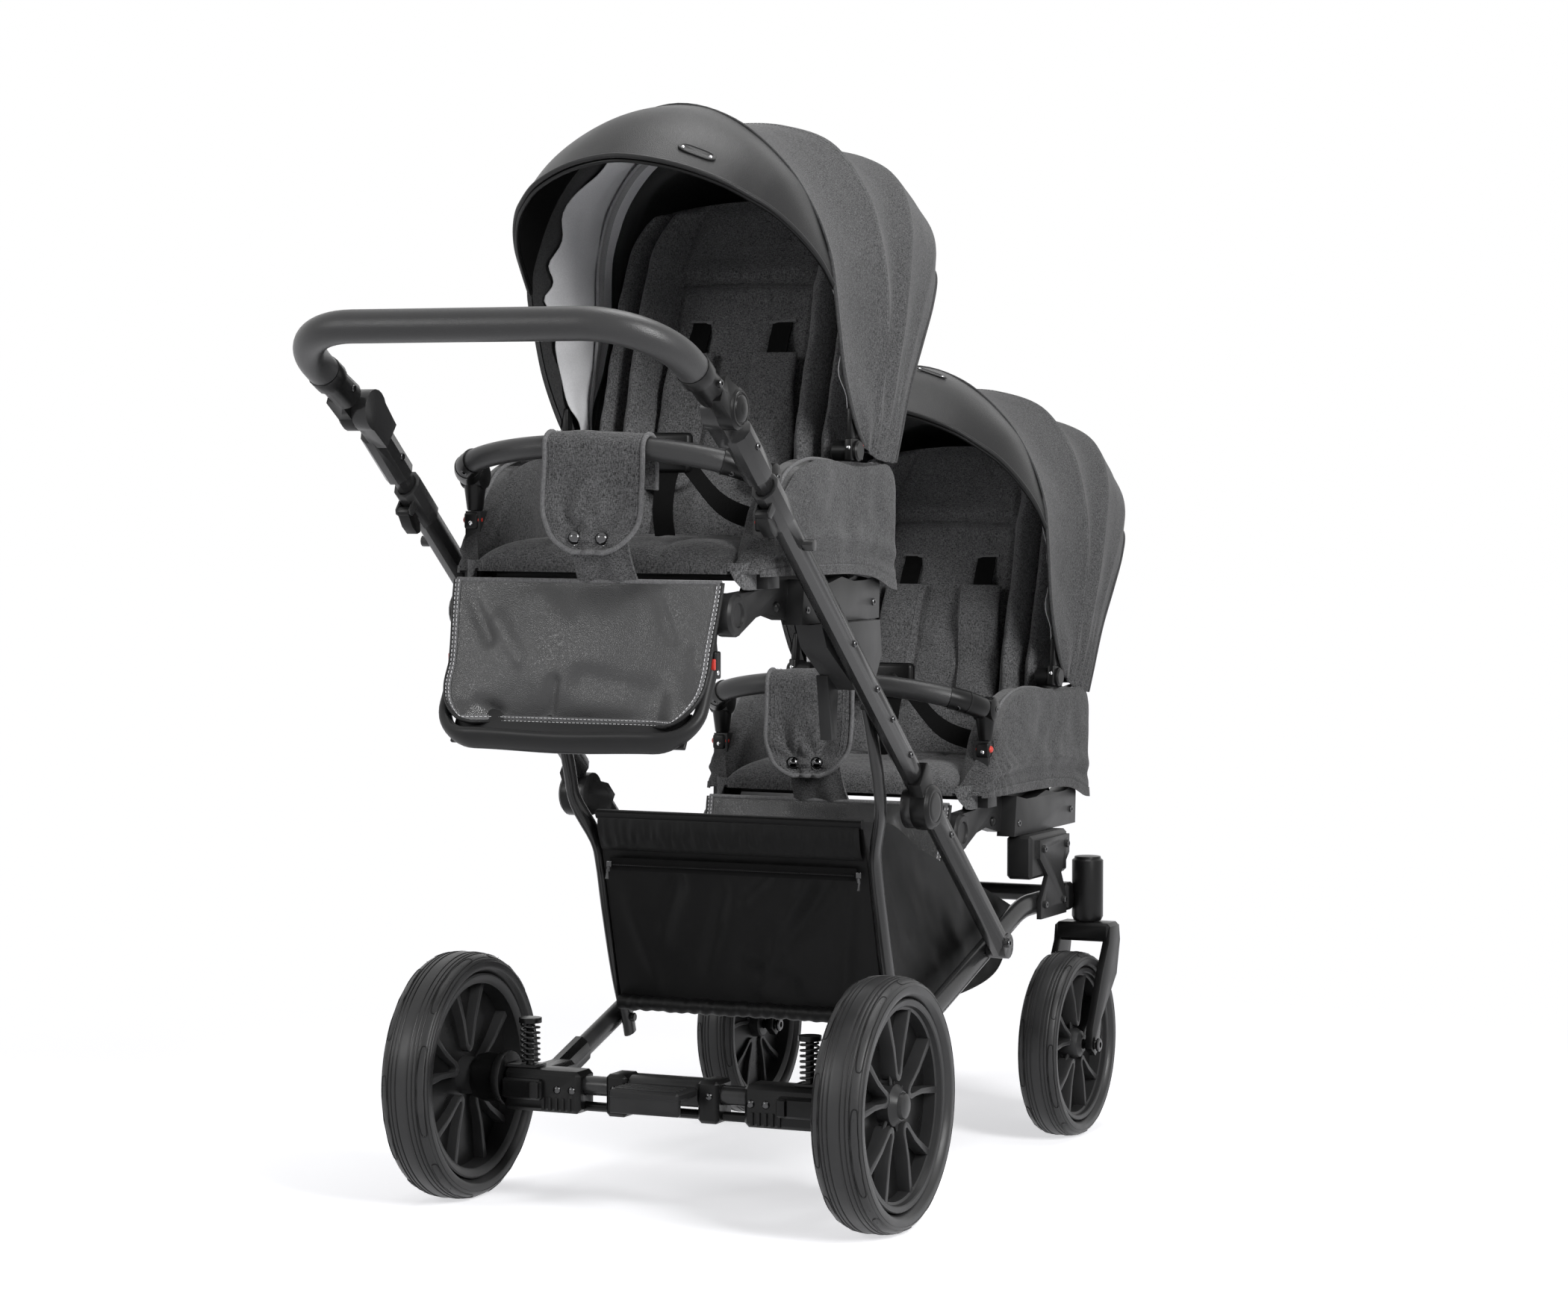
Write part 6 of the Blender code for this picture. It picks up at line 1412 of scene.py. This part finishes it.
def bumper_bow(turn):
    return Vector((BUMPER_X * math.cos(turn), BUMPER_PIVOT.y - 0.085 * math.sin(turn) ** 0.75,
                   BUMPER_PIVOT.z + 0.034 * math.sin(turn) ** 1.1))


def bumper_at(x):
    return bumper_bow(math.acos(max(-1.0, min(1.0, x / BUMPER_X))))


def bumper_end(side):
    """One elbow: its bend, the two collars on it, the drum and the two plugs that stand in the arm."""
    x, upright = side * BUMPER_X, (0.0, 0.0, 1.0)
    ends = [bumper_bow(math.pi * part) for part in spread(0.03, 0.18, 10)]
    ends = [Vector((side * point.x, point.y, point.z)) for point in ends]
    collars = [bent_tube([along_points(ends, tip - 0.04), along_points(ends, tip)], 0.0146, sides=28)
               for tip in (0.55, 1.0)]
    drum = turned_part([(0.0, 0.0150), (0.010, 0.0148), (0.0148, 0.0125), (0.0154, 0.0), (0.0148, -0.0125),
                        (0.010, -0.0148), (0.0, -0.0150)], (x, BUMPER_PIVOT.y + 0.0003, BUMPER_PIVOT.z), 32)
    plug = turned_part([(0.0, 0.0973), (0.0082, 0.0973), (0.0092, 0.0993), (0.0125, BUMPER_PIVOT.z - 0.012),
                        (0.0135, BUMPER_PIVOT.z), (0.0, BUMPER_PIVOT.z)], (x, BUMPER_PIVOT.y, 0.0), 32,
                       upright)
    pin = turned_part([(0.0, 0.079), (0.004, 0.079), (0.004, 0.102), (0.0, 0.102)],
                      (x, BUMPER_PIVOT.y, 0.0), 16, upright)
    return [bent_tube(ends, 0.0140, sides=28), *collars, drum, plug, pin]


def build_bumper(prefix, mount):
    put, fixed = maker(prefix, "bumper", mount), maker(prefix, "seat", mount)
    line = [bumper_bow(math.pi * part) for part in spread(0.165, 0.835, 60)]
    put(bent_tube(line, 0.0130, sides=32), "bumper_sleeve", GRIP_LEATHER, ("bumper",))
    put(joined(bumper_end(-1.0) + bumper_end(1.0)), "bumper_elbows", BLACK_PLASTIC)
    spot = bumper_bow(math.pi * 0.135)
    screws, clips, buttons, heads = [], [], [], []
    for side in (-1.0, 1.0):
        x = side * BUMPER_X
        screws.append(rivet((side * spot.x, spot.y - 0.0105, spot.z - 0.0085), 0.0040, 0.0016,
                            (0.0, -0.8, -0.6), True))
        screws.append(rivet((x + side * 0.0150, BUMPER_PIVOT.y, BUMPER_PIVOT.z), 0.0038, 0.0012,
                            (side, 0.0, 0.0), True))
        clips.append(moulded_block((x - 0.0088, -0.1665, 0.0765), (x + 0.0088, -0.1465, 0.0955), 0.003))
        buttons += [rivet((x + out * 0.0086, -0.1600, 0.0870), 0.0046, 0.0034, (out, 0.0, 0.0))
                    for out in (-1.0, 1.0)]
        heads.append(rivet((x, -0.1664, 0.0835), 0.0026, 0.0012, REARWARDS))
    put(joined(screws), "bumper_screws", DARK_METAL)
    fixed(joined(clips), "bumper_clips", BLACK_PLASTIC)
    fixed(joined(buttons), "bumper_buttons", RED_PLASTIC)
    fixed(joined(heads), "bumper_rivets", BRIGHT_METAL)


# %% Crotch flap


def flap_route(run, radius, back_drop):
    arc = math.pi * radius
    if run < back_drop:
        return (radius, -back_drop + run), (1.0, 0.0)
    if run < back_drop + arc:
        turn = (run - back_drop) / radius
        return (radius * math.cos(turn), radius * math.sin(turn)), (math.cos(turn), math.sin(turn))
    return (-radius, -(run - back_drop - arc)), (-1.0, 0.0)


def build_flap(prefix, mount, middle):
    put = maker(prefix, "bumper", mount)
    radius, back_drop, front_drop = 0.0165, 0.045, 0.116
    arc = math.pi * radius
    total = back_drop + arc + front_drop

    snap_spots = ((-0.34, 0.87), (0.22, 0.87))

    def flap_half(run):
        part = max(0.0, (run - back_drop - arc) / front_drop - 0.50) / 0.50
        return 0.0590 * math.sqrt(max(0.0, 1.0 - (0.955 * part) ** 2.3))

    def flap_place(u, v, lift=0.0):
        run = total * v
        (out, rise), (way_y, way_z) = flap_route(run, radius, back_drop)
        fall = max(0.0, run - back_drop - arc) / front_drop
        x = middle + flap_half(run) * u
        line = bumper_at(x)
        push = lift + 0.0026 * math.cos(6.5 * u + 0.5) * ease(fall / 0.5)
        push += 0.0014 * ripple((x, run, 0.0), 38.0, 4.0)
        for snap_u, snap_fall in snap_spots:
            aside, above = (u - snap_u) * 0.059, (snap_fall - fall) * front_drop
            far = math.hypot(aside, above)
            push -= 0.0030 * bell(far, 0.0, 0.014)
            rays = math.cos(8.0 * math.atan2(aside, above)) * (above > -0.010)
            push += 0.0020 * rays * bell(far, 0.030, 0.022)
        swing = 0.008 * fall * fall
        y = line.y + out + way_y * push - swing * abs(way_y) * (way_y < 0.0)
        return Vector((x, y, line.z + rise + way_z * push))

    cloth = thickened(outward(cloth_grid(flap_place, 44, 60), bumper_at(middle)), 0.0035)
    put(cloth, "flap_cloth", SEAT_CLOTH_PAINTED_LIGHT, ("crotch_flap",))
    declare_sheet(cloth, 0.118)
    border = [flap_place(-1.0, v) for v in spread(0.0, 1.0, 50)]
    border += [flap_place(u, 1.0) for u in spread(-1.0, 1.0, 24)[1:-1]]
    border += [flap_place(1.0, v) for v in spread(1.0, 0.0, 50)]
    put(bent_tube(border, 0.0028, sides=10), "flap_binding", EDGE_TAPE)
    for number, inset in enumerate((0.88, 0.80)):
        row = [flap_place(-inset, v, 0.0006) for v in spread(0.30, 0.96, 40)]
        row += [flap_place(u, 0.965 - 0.02 * number, 0.0006) for u in spread(-inset, inset, 24)[1:-1]]
        row += [flap_place(inset, v, 0.0006) for v in spread(0.96, 0.30, 40)]
        stitched(put, row, f"flap_stitch_{number}", length=0.0030, gap=0.0018)

    def tail_place(u, v):
        top = bumper_at(middle)
        fall = front_drop - 0.022 + 0.064 * v
        x = middle + 0.006 + (0.033 + 0.004 * v) * u
        wave = 0.0022 * math.cos(6.0 * u + 1.0) * v
        return Vector((x, top.y - radius + 0.0055 + 0.026 * v * v + wave, top.z - fall))

    tail = put(thickened(outward(cloth_grid(tail_place, 24, 16), bumper_at(middle)), 0.0030), "flap_tail",
               SEAT_CLOTH_PAINTED_LIGHT)
    declare_sheet(tail, 0.070)
    snaps = []
    for snap_u, snap_fall in snap_spots:
        run = back_drop + arc + front_drop * snap_fall
        snaps.append(turned_part([(0.0, 0.0046), (0.0026, 0.0044), (0.0050, 0.0034), (0.0068, 0.0016),
                                  (0.0074, 0.0006),
                                  (0.0082, 0.0008), (0.0086, 0.0), (0.0082, -0.0012), (0.0, -0.0012)],
                                 steps=36))
        snaps[-1].data.transform(facing(flap_place(snap_u * 0.059 / flap_half(run), run / total),
                                        (0.0, -1.0, -0.12)))
    put(joined(snaps), "flap_snaps", DARK_CHROME)


for prefix, mount in SEATS.items():
    build_bumper(prefix, mount)
build_flap("high", HIGH, 0.019)
build_flap("low", LOW, -0.015)
print("bumper bars and flaps made")

# %% [markdown]
# ## Footrest aprons
# A leatherette cover hangs over the footrest, with cloth piping round it. Soft dents show the stuffing behind
# it, so the surface is pushed in and out by broad noise before it gets its thickness.
# %% Aprons
FOOT_PIVOT = Vector((0.0, -0.210, -0.0135))
DROP = math.radians(60.4)
APRON_HALF = 0.163
BEHIND_APRON = (0.0, 0.0, -0.05)
APRON_TOP_Z, APRON_LOW_Z, APRON_CORNER = 0.0355, -0.1205, 0.050
APRON_CREASES = [(-0.90, 0.90, -0.68, 0.58, 0.055, 0.0062), (-0.62, 0.72, -0.40, 0.46, 0.060, -0.0040),
                 (-0.12, 0.30, -0.17, 0.06, 0.045, 0.0050), (0.10, 0.34, 0.62, 0.24, 0.10, 0.0045),
                 (0.62, 0.86, 0.74, 0.62, 0.05, 0.0038), (-0.80, 0.16, -0.58, 0.06, 0.06, 0.0048),
                 (0.86, 0.52, 0.92, 0.22, 0.035, 0.0030), (-0.30, 0.90, -0.10, 0.70, 0.08, -0.0025)]


def apron_half(z):
    """Half the apron's width at a height; its lower corners are round."""
    part = (z - APRON_LOW_Z) / (APRON_TOP_Z - APRON_LOW_Z)
    corner = max(0.0, (APRON_LOW_Z + APRON_CORNER - z) / APRON_CORNER)
    cut = APRON_CORNER * (1.0 - math.sqrt(max(0.0, 1.0 - corner * corner)))
    return 0.1600 + 0.0055 * ease((part - 0.4) / 0.6) - cut


def apron_skin(x, z, push=0.0):
    """The apron's face at a place across and a height from the footrest's pivot."""
    u, v = x / APRON_HALF, (z - APRON_LOW_Z) / (APRON_TOP_Z - APRON_LOW_Z)
    y_flat = -0.0210 - 0.25 * (APRON_TOP_Z - z)
    over_arm = 0.0075 / math.sin(DROP) + 0.0030
    y_arm = min(y_flat, z / math.tan(DROP) - over_arm)
    beside = ease((abs(u) - 0.60) / 0.22)
    inner = (1.0 - min(1.0, abs(u)) ** 8) * (1.0 - abs(2.0 * v - 1.0) ** 8)
    dent = 0.0030 * ripple((x, 0.0, z), 13.0, 21.0) + 0.0014 * ripple((x, 0.0, z), 30.0, 5.0)
    swell = 0.0190 * math.sin(math.pi * v) * (1.0 - u * u)
    here = Vector((u, v * 0.95, 0.0))
    crease = crease_sum(here, APRON_CREASES, 0.95)
    y = y_flat + (y_arm - y_flat) * beside - (dent + swell - crease) * inner - push
    return FOOT_PIVOT + Vector((x, min(y, y_flat + 0.006), z))


def apron_place(u, v):
    z = APRON_LOW_Z + (APRON_TOP_Z - APRON_LOW_Z) * v ** 1.7
    return apron_skin(apron_half(z) * u, z)


def apron_edge(inset=0.0):
    """Places (x, z) down the left edge, along the bottom and up the right edge."""
    count, low = 60, APRON_LOW_Z + inset
    right = []
    for step in range(count + 1):
        z = low + (APRON_TOP_Z - low) * (step / count) ** 1.7
        right.append((apron_half(max(z, APRON_LOW_Z)) - inset if step else 0.0, z))
    flat = apron_half(APRON_LOW_Z)
    bottom = [(-flat + 2.0 * flat * step / 40.0, low) for step in range(1, 40)]
    corner = [(x, z) for x, z in right[1:] if x > flat - 0.002 or z > low + 0.004]
    return [(-x, z) for x, z in reversed(corner)] + bottom + corner


def foot_spot(x, along, aside=0.0):
    """A point of the footrest's plane: down it from the pivot and out from its front."""
    return FOOT_PIVOT + Vector((x, -along * math.cos(DROP) - aside * math.sin(DROP),
                                -along * math.sin(DROP) + aside * math.cos(DROP)))


def footrest_bow():
    """The U-shaped bow: round at its arms, a tall oval bar across the bottom."""
    half, low, bend = 0.1570, 0.1640, 0.048
    path = []
    for step in range(15):
        along = (low - bend) * step / 14.0
        path.append((0.1460 + (half - 0.1460) * ease((along - 0.022) / 0.045), along, 0.0, 0.0))
    for step in range(1, 13):
        turn = math.pi / 2.0 * step / 12.0
        path.append((half - bend + bend * math.cos(turn), low - bend + bend * math.sin(turn), turn,
                     ease(step / 12.0)))
    for step in range(1, 13):
        path.append(((half - bend) * (1.0 - step / 12.0), low + 0.003 * ease(step / 12.0), math.pi / 2.0,
                     1.0))
    rows = []
    for x, along, turn, part in path:
        row = []
        for step in range(24):
            angle = 2.0 * math.pi * step / 24.0
            first = 0.0075 * math.cos(angle)
            second = (0.0075 + 0.0060 * part) * math.sin(angle)
            out = first * (1.0 - 0.141 * part) - second * 0.511 * part - 0.0040 * part
            aside = first * 0.511 * part + second * (1.0 - 0.141 * part) + 0.0060 * part
            row.append(foot_spot(x + out * math.cos(turn), along + out * math.sin(turn), aside))
        rows.append(row)
    left = [flipped(row) for row in reversed(rows[:-1])]
    return closed_up(from_rows(rows + left, around=True))


def build_apron(prefix, mount):
    put = maker(prefix, "footrest", mount)
    face = put(thickened(outward(cloth_grid(apron_place, 90, 60), BEHIND_APRON), 0.0030), "apron_leatherette",
               APRON_LEATHER, ("apron",))
    declare_sheet(face, 0.331)
    edges = [apron_edge(inset) for inset in (0.0006, 0.0040, 0.0080)]
    count = min(len(edge) for edge in edges)
    rows = [[apron_skin(*spot, lift) for spot in edge[:count]]
            for edge, lift in zip(edges, (0.0004, 0.0016, 0.0010))]
    put(thickened(outward(from_rows(rows), BEHIND_APRON), 0.0010), "apron_binding", EDGE_TAPE)
    put(bent_tube([apron_skin(*spot) for spot in edges[0]], 0.0024, sides=10), "apron_piping", LEATHERETTE)
    top = [apron_skin(APRON_HALF * part, APRON_TOP_Z, -0.001) for part in spread(-1.0, 1.0, 60)]
    put(bent_tube(top, 0.0028, sides=10), "apron_top_tape", EDGE_TAPE)
    for inset in (0.0022, 0.0062):
        row = [apron_skin(*spot, 0.0020) for spot in apron_edge(inset)]
        stitched(put, row, f"apron_stitches_{round(inset * 10000)}", LINING, length=0.0030)
    footboard = moulded_block((-0.1440, -0.0025, 0.0), (0.1440, 0.0025, 0.0420), 0.0015)
    upright = Matrix.Rotation(DROP - math.radians(90.0), 4, "X")
    footboard.data.transform(Matrix.Translation(foot_spot(0.0, 0.1600, -0.0075)) @ upright)
    pieces, links, reds, heads = [footrest_bow(), footboard], [], [], []
    for side in (-1.0, 1.0):
        low, high = sorted((side * 0.1387, side * 0.1533))
        pieces.append(turned_part([(0.0, low), (0.0170, low), (0.0185, low + 0.0015), (0.0185, high - 0.0015),
                                   (0.0170, high), (0.0, high)], FOOT_PIVOT, 40))
        centre = foot_spot(side * 0.1600, 0.060)
        links.append(moulded_block(centre - Vector((0.0045, 0.008, 0.016)),
                                   centre + Vector((0.0045, 0.006, 0.014))))
        reds.append(moulded_block(centre + Vector((side * 0.001 - 0.0035, -0.0105, -0.006)),
                                  centre + Vector((side * 0.001 + 0.0035, -0.0072, 0.006)), 0.001))
        heads.append(rivet(centre + Vector((side * 0.0045, -0.002, -0.009)), 0.0030, 0.0014,
                           (side, 0.0, 0.0)))
    put(joined(pieces), "footrest_bow", GREY_PLASTIC, ("footrest",), 40.0)
    put(joined(links), "footrest_links", BLACK_PLASTIC)
    put(joined(reds), "footrest_buttons", RED_PLASTIC)
    put(joined(heads), "footrest_rivets", BRIGHT_METAL)


for prefix, mount in SEATS.items():
    build_apron(prefix, mount)
print("aprons made")

# %% [markdown]
# ## Basket
# The shopping basket is a nylon bag hung between the legs. Its rear wall has a zip below a padded, gathered
# band and a rolled lower edge, and slanting creases cross it. Each wall is its own crumpled surface.
# %% Basket walls
BAG_HALF = 0.1735
BAG_CREASES = [(0.70, 0.34, 0.30, 0.66, 0.045, 0.0055), (0.52, 0.36, 0.10, 0.90, 0.060, -0.0050),
               (-0.12, 0.42, -0.30, 0.80, 0.050, 0.0045), (-0.45, 0.36, -0.62, 0.62, 0.045, 0.0045),
               (0.86, 0.40, 0.74, 0.86, 0.045, -0.0045), (-0.85, 0.50, -0.70, 0.90, 0.050, -0.0040),
               (0.25, 0.30, 0.02, 0.44, 0.030, 0.0035), (-0.05, 0.80, 0.35, 0.88, 0.040, 0.0035)]


def bag_cloth(corners, across, along, push, seed, depth=0.0035):
    """A four-cornered wall with soft folds that fade out towards its edges."""
    a, b, c, d = (Vector(corner) for corner in corners)
    normal = (b - a).cross(d - a).normalized()

    def place(u, v):
        part = (u + 1.0) / 2.0
        point = a.lerp(b, part).lerp(d.lerp(c, part), v)
        rim = (1.0 - abs(u) ** 4) * (1.0 - abs(2.0 * v - 1.0) ** 4)
        slant = point + Vector((0.35 * point.z, 0.0, -0.4 * point.z))
        fold = 0.6 * depth * ripple(slant, 12.0, seed) + 0.25 * depth * ripple(slant, 34.0, seed + 3.0)
        fold += crease_sum(Vector((u, v * 0.7, 0.0)), BAG_CREASES, 0.7)
        return point + normal * (push * rim + fold * rim)

    return cloth_grid(place, across, along)


REAR_TOP = (0.163, 0.447)
REAR_LOW = (0.226, 0.214)
walls = [bag_cloth([(-BAG_HALF, *REAR_TOP), (BAG_HALF, *REAR_TOP), (BAG_HALF, *REAR_LOW),
                    (-BAG_HALF, *REAR_LOW)],
                   72, 50, 0.004, 1.0, 0.0050)]
SIDE_TOP = [(0.163, 0.447), (0.250, 0.437), (0.340, 0.400), (0.470, 0.358), (0.650, 0.298)]
SIDE_LOW = [(0.226, 0.214), (0.300, 0.208), (0.400, 0.206), (0.590, 0.222), (0.650, 0.296)]


def side_wall(side):
    def place(u, v):
        part = (u + 1.0) / 2.0
        top = along_points([(0.0, y, z) for y, z in SIDE_TOP], part)
        low = along_points([(0.0, y, z) for y, z in SIDE_LOW], part)
        point = top.lerp(low, v)
        rim = (1.0 - abs(u) ** 6) * (1.0 - abs(2.0 * v - 1.0) ** 4)
        slant = Vector((point.x, point.y + 0.9 * point.z, 0.35 * (point.z - point.y)))
        fold = 0.0060 * ripple(slant, 13.0, 4.0 + side) + 0.0022 * ripple(slant, 34.0, 8.0)
        return Vector((side * (BAG_HALF + (fold - 0.002) * rim), point.y, point.z))

    return cloth_grid(place, 64, 34)


walls += [side_wall(1.0), side_wall(-1.0)]


def floor_place(u, v):
    point = along_points([(0.0, y, z) for y, z in SIDE_LOW], v)
    sag = 0.005 * (1.0 - u * u) * math.sin(math.pi * v) + 0.0012 * ripple((u * 0.17, point.y, 0.0), 20.0, 2.0)
    return Vector((BAG_HALF * u, point.y, point.z - sag + 0.001))


walls.append(cloth_grid(floor_place, 40, 40))
BAG_INSIDE = (0.0, 0.4, 0.3)


def hung(piece, name, finish, nodes=()):
    return done(piece, "basket_" + name, finish, "chassis", CHASSIS, nodes)


bag = hung(joined([thickened(outward(wall, (0.0, 0.36, 0.34)), 0.0016) for wall in walls]), "cloth",
           BAG_CLOTH, ("basket",))
declare_sheet(bag, 0.95)

# %% Basket hem, zip and roll


def rear_wall(u, v, lift):
    """A point just behind the rear wall of the basket."""
    y = REAR_TOP[0] + (REAR_LOW[0] - REAR_TOP[0]) * v
    z = REAR_TOP[1] + (REAR_LOW[1] - REAR_TOP[1]) * v
    return Vector((BAG_HALF * u, y - lift * 0.965, z - lift * 0.26))


roll = [rear_wall(u, 1.0, 0.004) for u in spread(-1.0, 1.0, 180)]
roll = [spot + Vector((0.0, 0.0, -0.004 + 0.0012 * ripple(spot, 60.0, 2.0))) for spot in roll]
swell = [1.0 + 0.07 * math.sin(step * 0.75) + 0.12 * ripple((step * 0.16, 0.0, 0.0), 1.0, 6.0)
         for step in range(181)]
hung(bent_tube(roll, 0.0088, sides=16, taper=swell), "lower_roll", BAG_CLOTH)
hem_line = [rear_wall(u, 0.012, 0.001) for u in spread(-1.0, 1.0, 40)]
hung(bent_tube(hem_line, 0.0058, sides=14), "top_hem", BAG_CLOTH)


def hem_band_place(u, v):
    """The padded band below the top edge, gathered into small upright puckers."""
    pucker = 0.0016 * ripple((u * 14.0, v, 0.0), 1.6, 9.0) + 0.0010 * ripple((u * 38.0, v * 2.0, 0.0), 1.3,
                                                                             4.0)
    return rear_wall(u * 0.985, 0.012 + 0.185 * v, 0.0040 + (0.0058 + pucker) * math.sin(math.pi * v) ** 0.5)


hem_band = hung(thickened(outward(cloth_grid(hem_band_place, 140, 14), BAG_INSIDE), 0.0012), "hem_band",
                BAG_CLOTH)
declare_sheet(hem_band, 0.345)
zip_tape = cloth_grid(lambda u, v: rear_wall(u * 0.93, 0.235 + 0.065 * v,
                                             0.0058 + 0.0004 * math.sin(9.0 * v)), 40, 6)
zip_tape = hung(thickened(outward(zip_tape, BAG_INSIDE), 0.0012), "zip_tape", WEBBING)
declare_sheet(zip_tape, 0.020)
teeth = [rear_wall(u, 0.268, 0.0074) for u in spread(-0.92, 0.92, 60)]
stitched(hung, teeth, "zip_teeth", BLACK_PLASTIC, length=0.0016, gap=0.0012, radius=0.0011)
pulls = []
for u, lean in ((-0.93, -0.002), (0.955, 0.001)):
    spot = rear_wall(u, 0.262, 0.0100)
    end = spot + Vector((lean, -0.002, -0.018))
    pulls.append(moulded_block(spot - Vector((0.0034, 0.0015, 0.0040)),
                               spot + Vector((0.0034, 0.0018, 0.0040)), 0.0012))
    pulls.append(bent_tube([spot + Vector((0.0, -0.002, -0.003)), spot.lerp(end, 0.5), end], 0.0011, 2.0, 8))
hung(joined(pulls), "zip_pulls", DARK_METAL)
print("basket made")

# %% [markdown]
# ## Rivets and caps below
# Domed rivets hold the axle housings and the brake clamp, a turned cap closes each swivel head, and a screw
# head shows on both sides of each front wheel's axle.
# %% Axle rivets, swivel caps and front bolts
axle_rivets = [rivet((x, -0.0208, 0.1385), 0.0050, 0.0030, REARWARDS) for x in (0.1145, 0.1335)]
axle_rivets.append(rivet((0.0610, -0.0183, 0.1430), 0.0045, 0.0028, REARWARDS))
both_sides(joined(axle_rivets), "axle_rivets", DARK_METAL, "chassis")
head_cap = turned_part([(0.0, 0.3532), (0.0155, 0.3532), (0.0168, 0.3528), (0.0172, 0.3515), (0.0172, 0.3480),
                        (0.0, 0.3480)], (0.225, 0.783, 0.0), 40, (0.0, 0.0, 1.0))
both_sides(head_cap, "swivel_cap", BLACK_PLASTIC, "chassis")
front_bolts = [rivet((0.225 + 0.042 * way[0], 0.711, 0.118), 0.0085, 0.0030, way, True)
               for way in (RIGHT, LEFT)]
both_sides(joined(front_bolts), "front_axle_bolts", DARK_METAL, ("front_fork",))

# %% [markdown]
# ## Floor, light and camera
# The photograph is a cut-out on white with a faint shadow. The floor is pale and shows white to the camera
# where it is lit, and keeps the shadow. Three soft boxes give the plain studio light; the world looks white
# but lights the scene only dimly.
# %% Floor and world


def looked_at(tree):
    """One for the rays that look at a surface, nothing for those that gather its light."""
    path = add_node(tree, "LightPath").outputs
    seen = path["Is Camera Ray"]
    for other in ("Is Glossy Ray", "Is Transmission Ray"):
        seen = add_node(tree, "Math", {0: seen, 1: path[other]}, operation="MAXIMUM").outputs[0]
    return seen
bpy.ops.object.select_all(action="DESELECT")
bpy.ops.mesh.primitive_plane_add(size=40.0, location=(0.0, 0.0, 0.0))
floor = bpy.context.object
floor.name = "floor"
floor_paint = bpy.data.materials.new("pale floor")
floor_paint.use_nodes = True
tree = floor_paint.node_tree
tree.nodes.remove(tree.nodes["Principled BSDF"])
speckle = add_node(tree, "TexNoise", {"Vector": add_node(tree, "TexCoord").outputs["Object"], "Scale": 3.0})
tone = add_node(tree, "Mix", {0: speckle.outputs["Fac"], 6: grey(0.80), 7: grey(0.82)}, data_type="RGBA")
matt = add_node(tree, "BsdfDiffuse", {"Color": tone.outputs[2]})
glow = add_node(tree, "Emission", {"Color": grey(1.0), "Strength": 0.62})
seen = looked_at(tree)
blend_shader = add_node(tree, "AddShader", {0: matt.outputs[0]})
dark = add_node(tree, "Emission", {"Color": grey(0.0), "Strength": 0.0})
glow_mix = add_node(tree, "MixShader", {0: seen, 1: dark.outputs[0], 2: glow.outputs[0]})
tree.links.new(glow_mix.outputs[0], blend_shader.inputs[1])
away = add_node(tree, "VectorMath", {0: add_node(tree, "TexCoord").outputs["Object"]}, operation="LENGTH")
far = add_node(tree, "MapRange", {"Value": away.outputs["Value"], "From Min": 0.9, "From Max": 1.7},
               interpolation_type="SMOOTHSTEP")
far_seen = add_node(tree, "Math", {0: far.outputs[0], 1: seen}, operation="MULTIPLY")
white = add_node(tree, "Emission", {"Color": grey(1.0), "Strength": 1.0})
whole = add_node(tree, "MixShader", {0: far_seen.outputs[0], 1: blend_shader.outputs[0], 2: white.outputs[0]})
tree.links.new(whole.outputs[0], tree.nodes["Material Output"].inputs[0])
floor.data.materials.append(floor_paint)

world = bpy.data.worlds.new("studio")
bpy.context.scene.world = world
world.use_nodes = True
tree = world.node_tree
level = add_node(tree, "Mix", {0: looked_at(tree), 2: 0.10, 3: 1.0})
tree.nodes["Background"].inputs["Color"].default_value = (1.0, 1.0, 1.0, 1.0)
tree.links.new(level.outputs[0], tree.nodes["Background"].inputs["Strength"])

# %% Lamps and camera


def soft_box(name, place, target, size, power):
    bpy.ops.object.light_add(type="AREA", location=place)
    lamp = bpy.context.object
    lamp.name = name
    lamp.data.shape = "RECTANGLE"
    lamp.data.size, lamp.data.size_y = size
    lamp.data.energy = power
    way = Vector(target) - Vector(place)
    lamp.rotation_euler = way.to_track_quat("-Z", "Y").to_euler()
    return lamp


soft_box("key", (3.0, -1.8, 2.3), (0.0, 0.0, 0.7), (1.0, 1.8), 118.0)
soft_box("fill", (-2.0, -3.1, 1.9), (0.0, 0.0, 0.6), (1.2, 1.2), 30.0)
soft_box("top", (0.2, 0.3, 3.4), (0.0, 0.0, 0.6), (1.6, 1.6), 44.0)

bpy.ops.object.camera_add(location=(2.079, -4.2595 + AXLE, 0.8887),
                          rotation=(math.radians(90.0 - 2.9362), 0.0, math.radians(24.4002)))
camera = bpy.context.object
camera.data.lens = 94.99
camera.data.sensor_width = 36.0
bpy.context.scene.camera = camera
bpy.context.scene.view_settings.view_transform = "Standard"
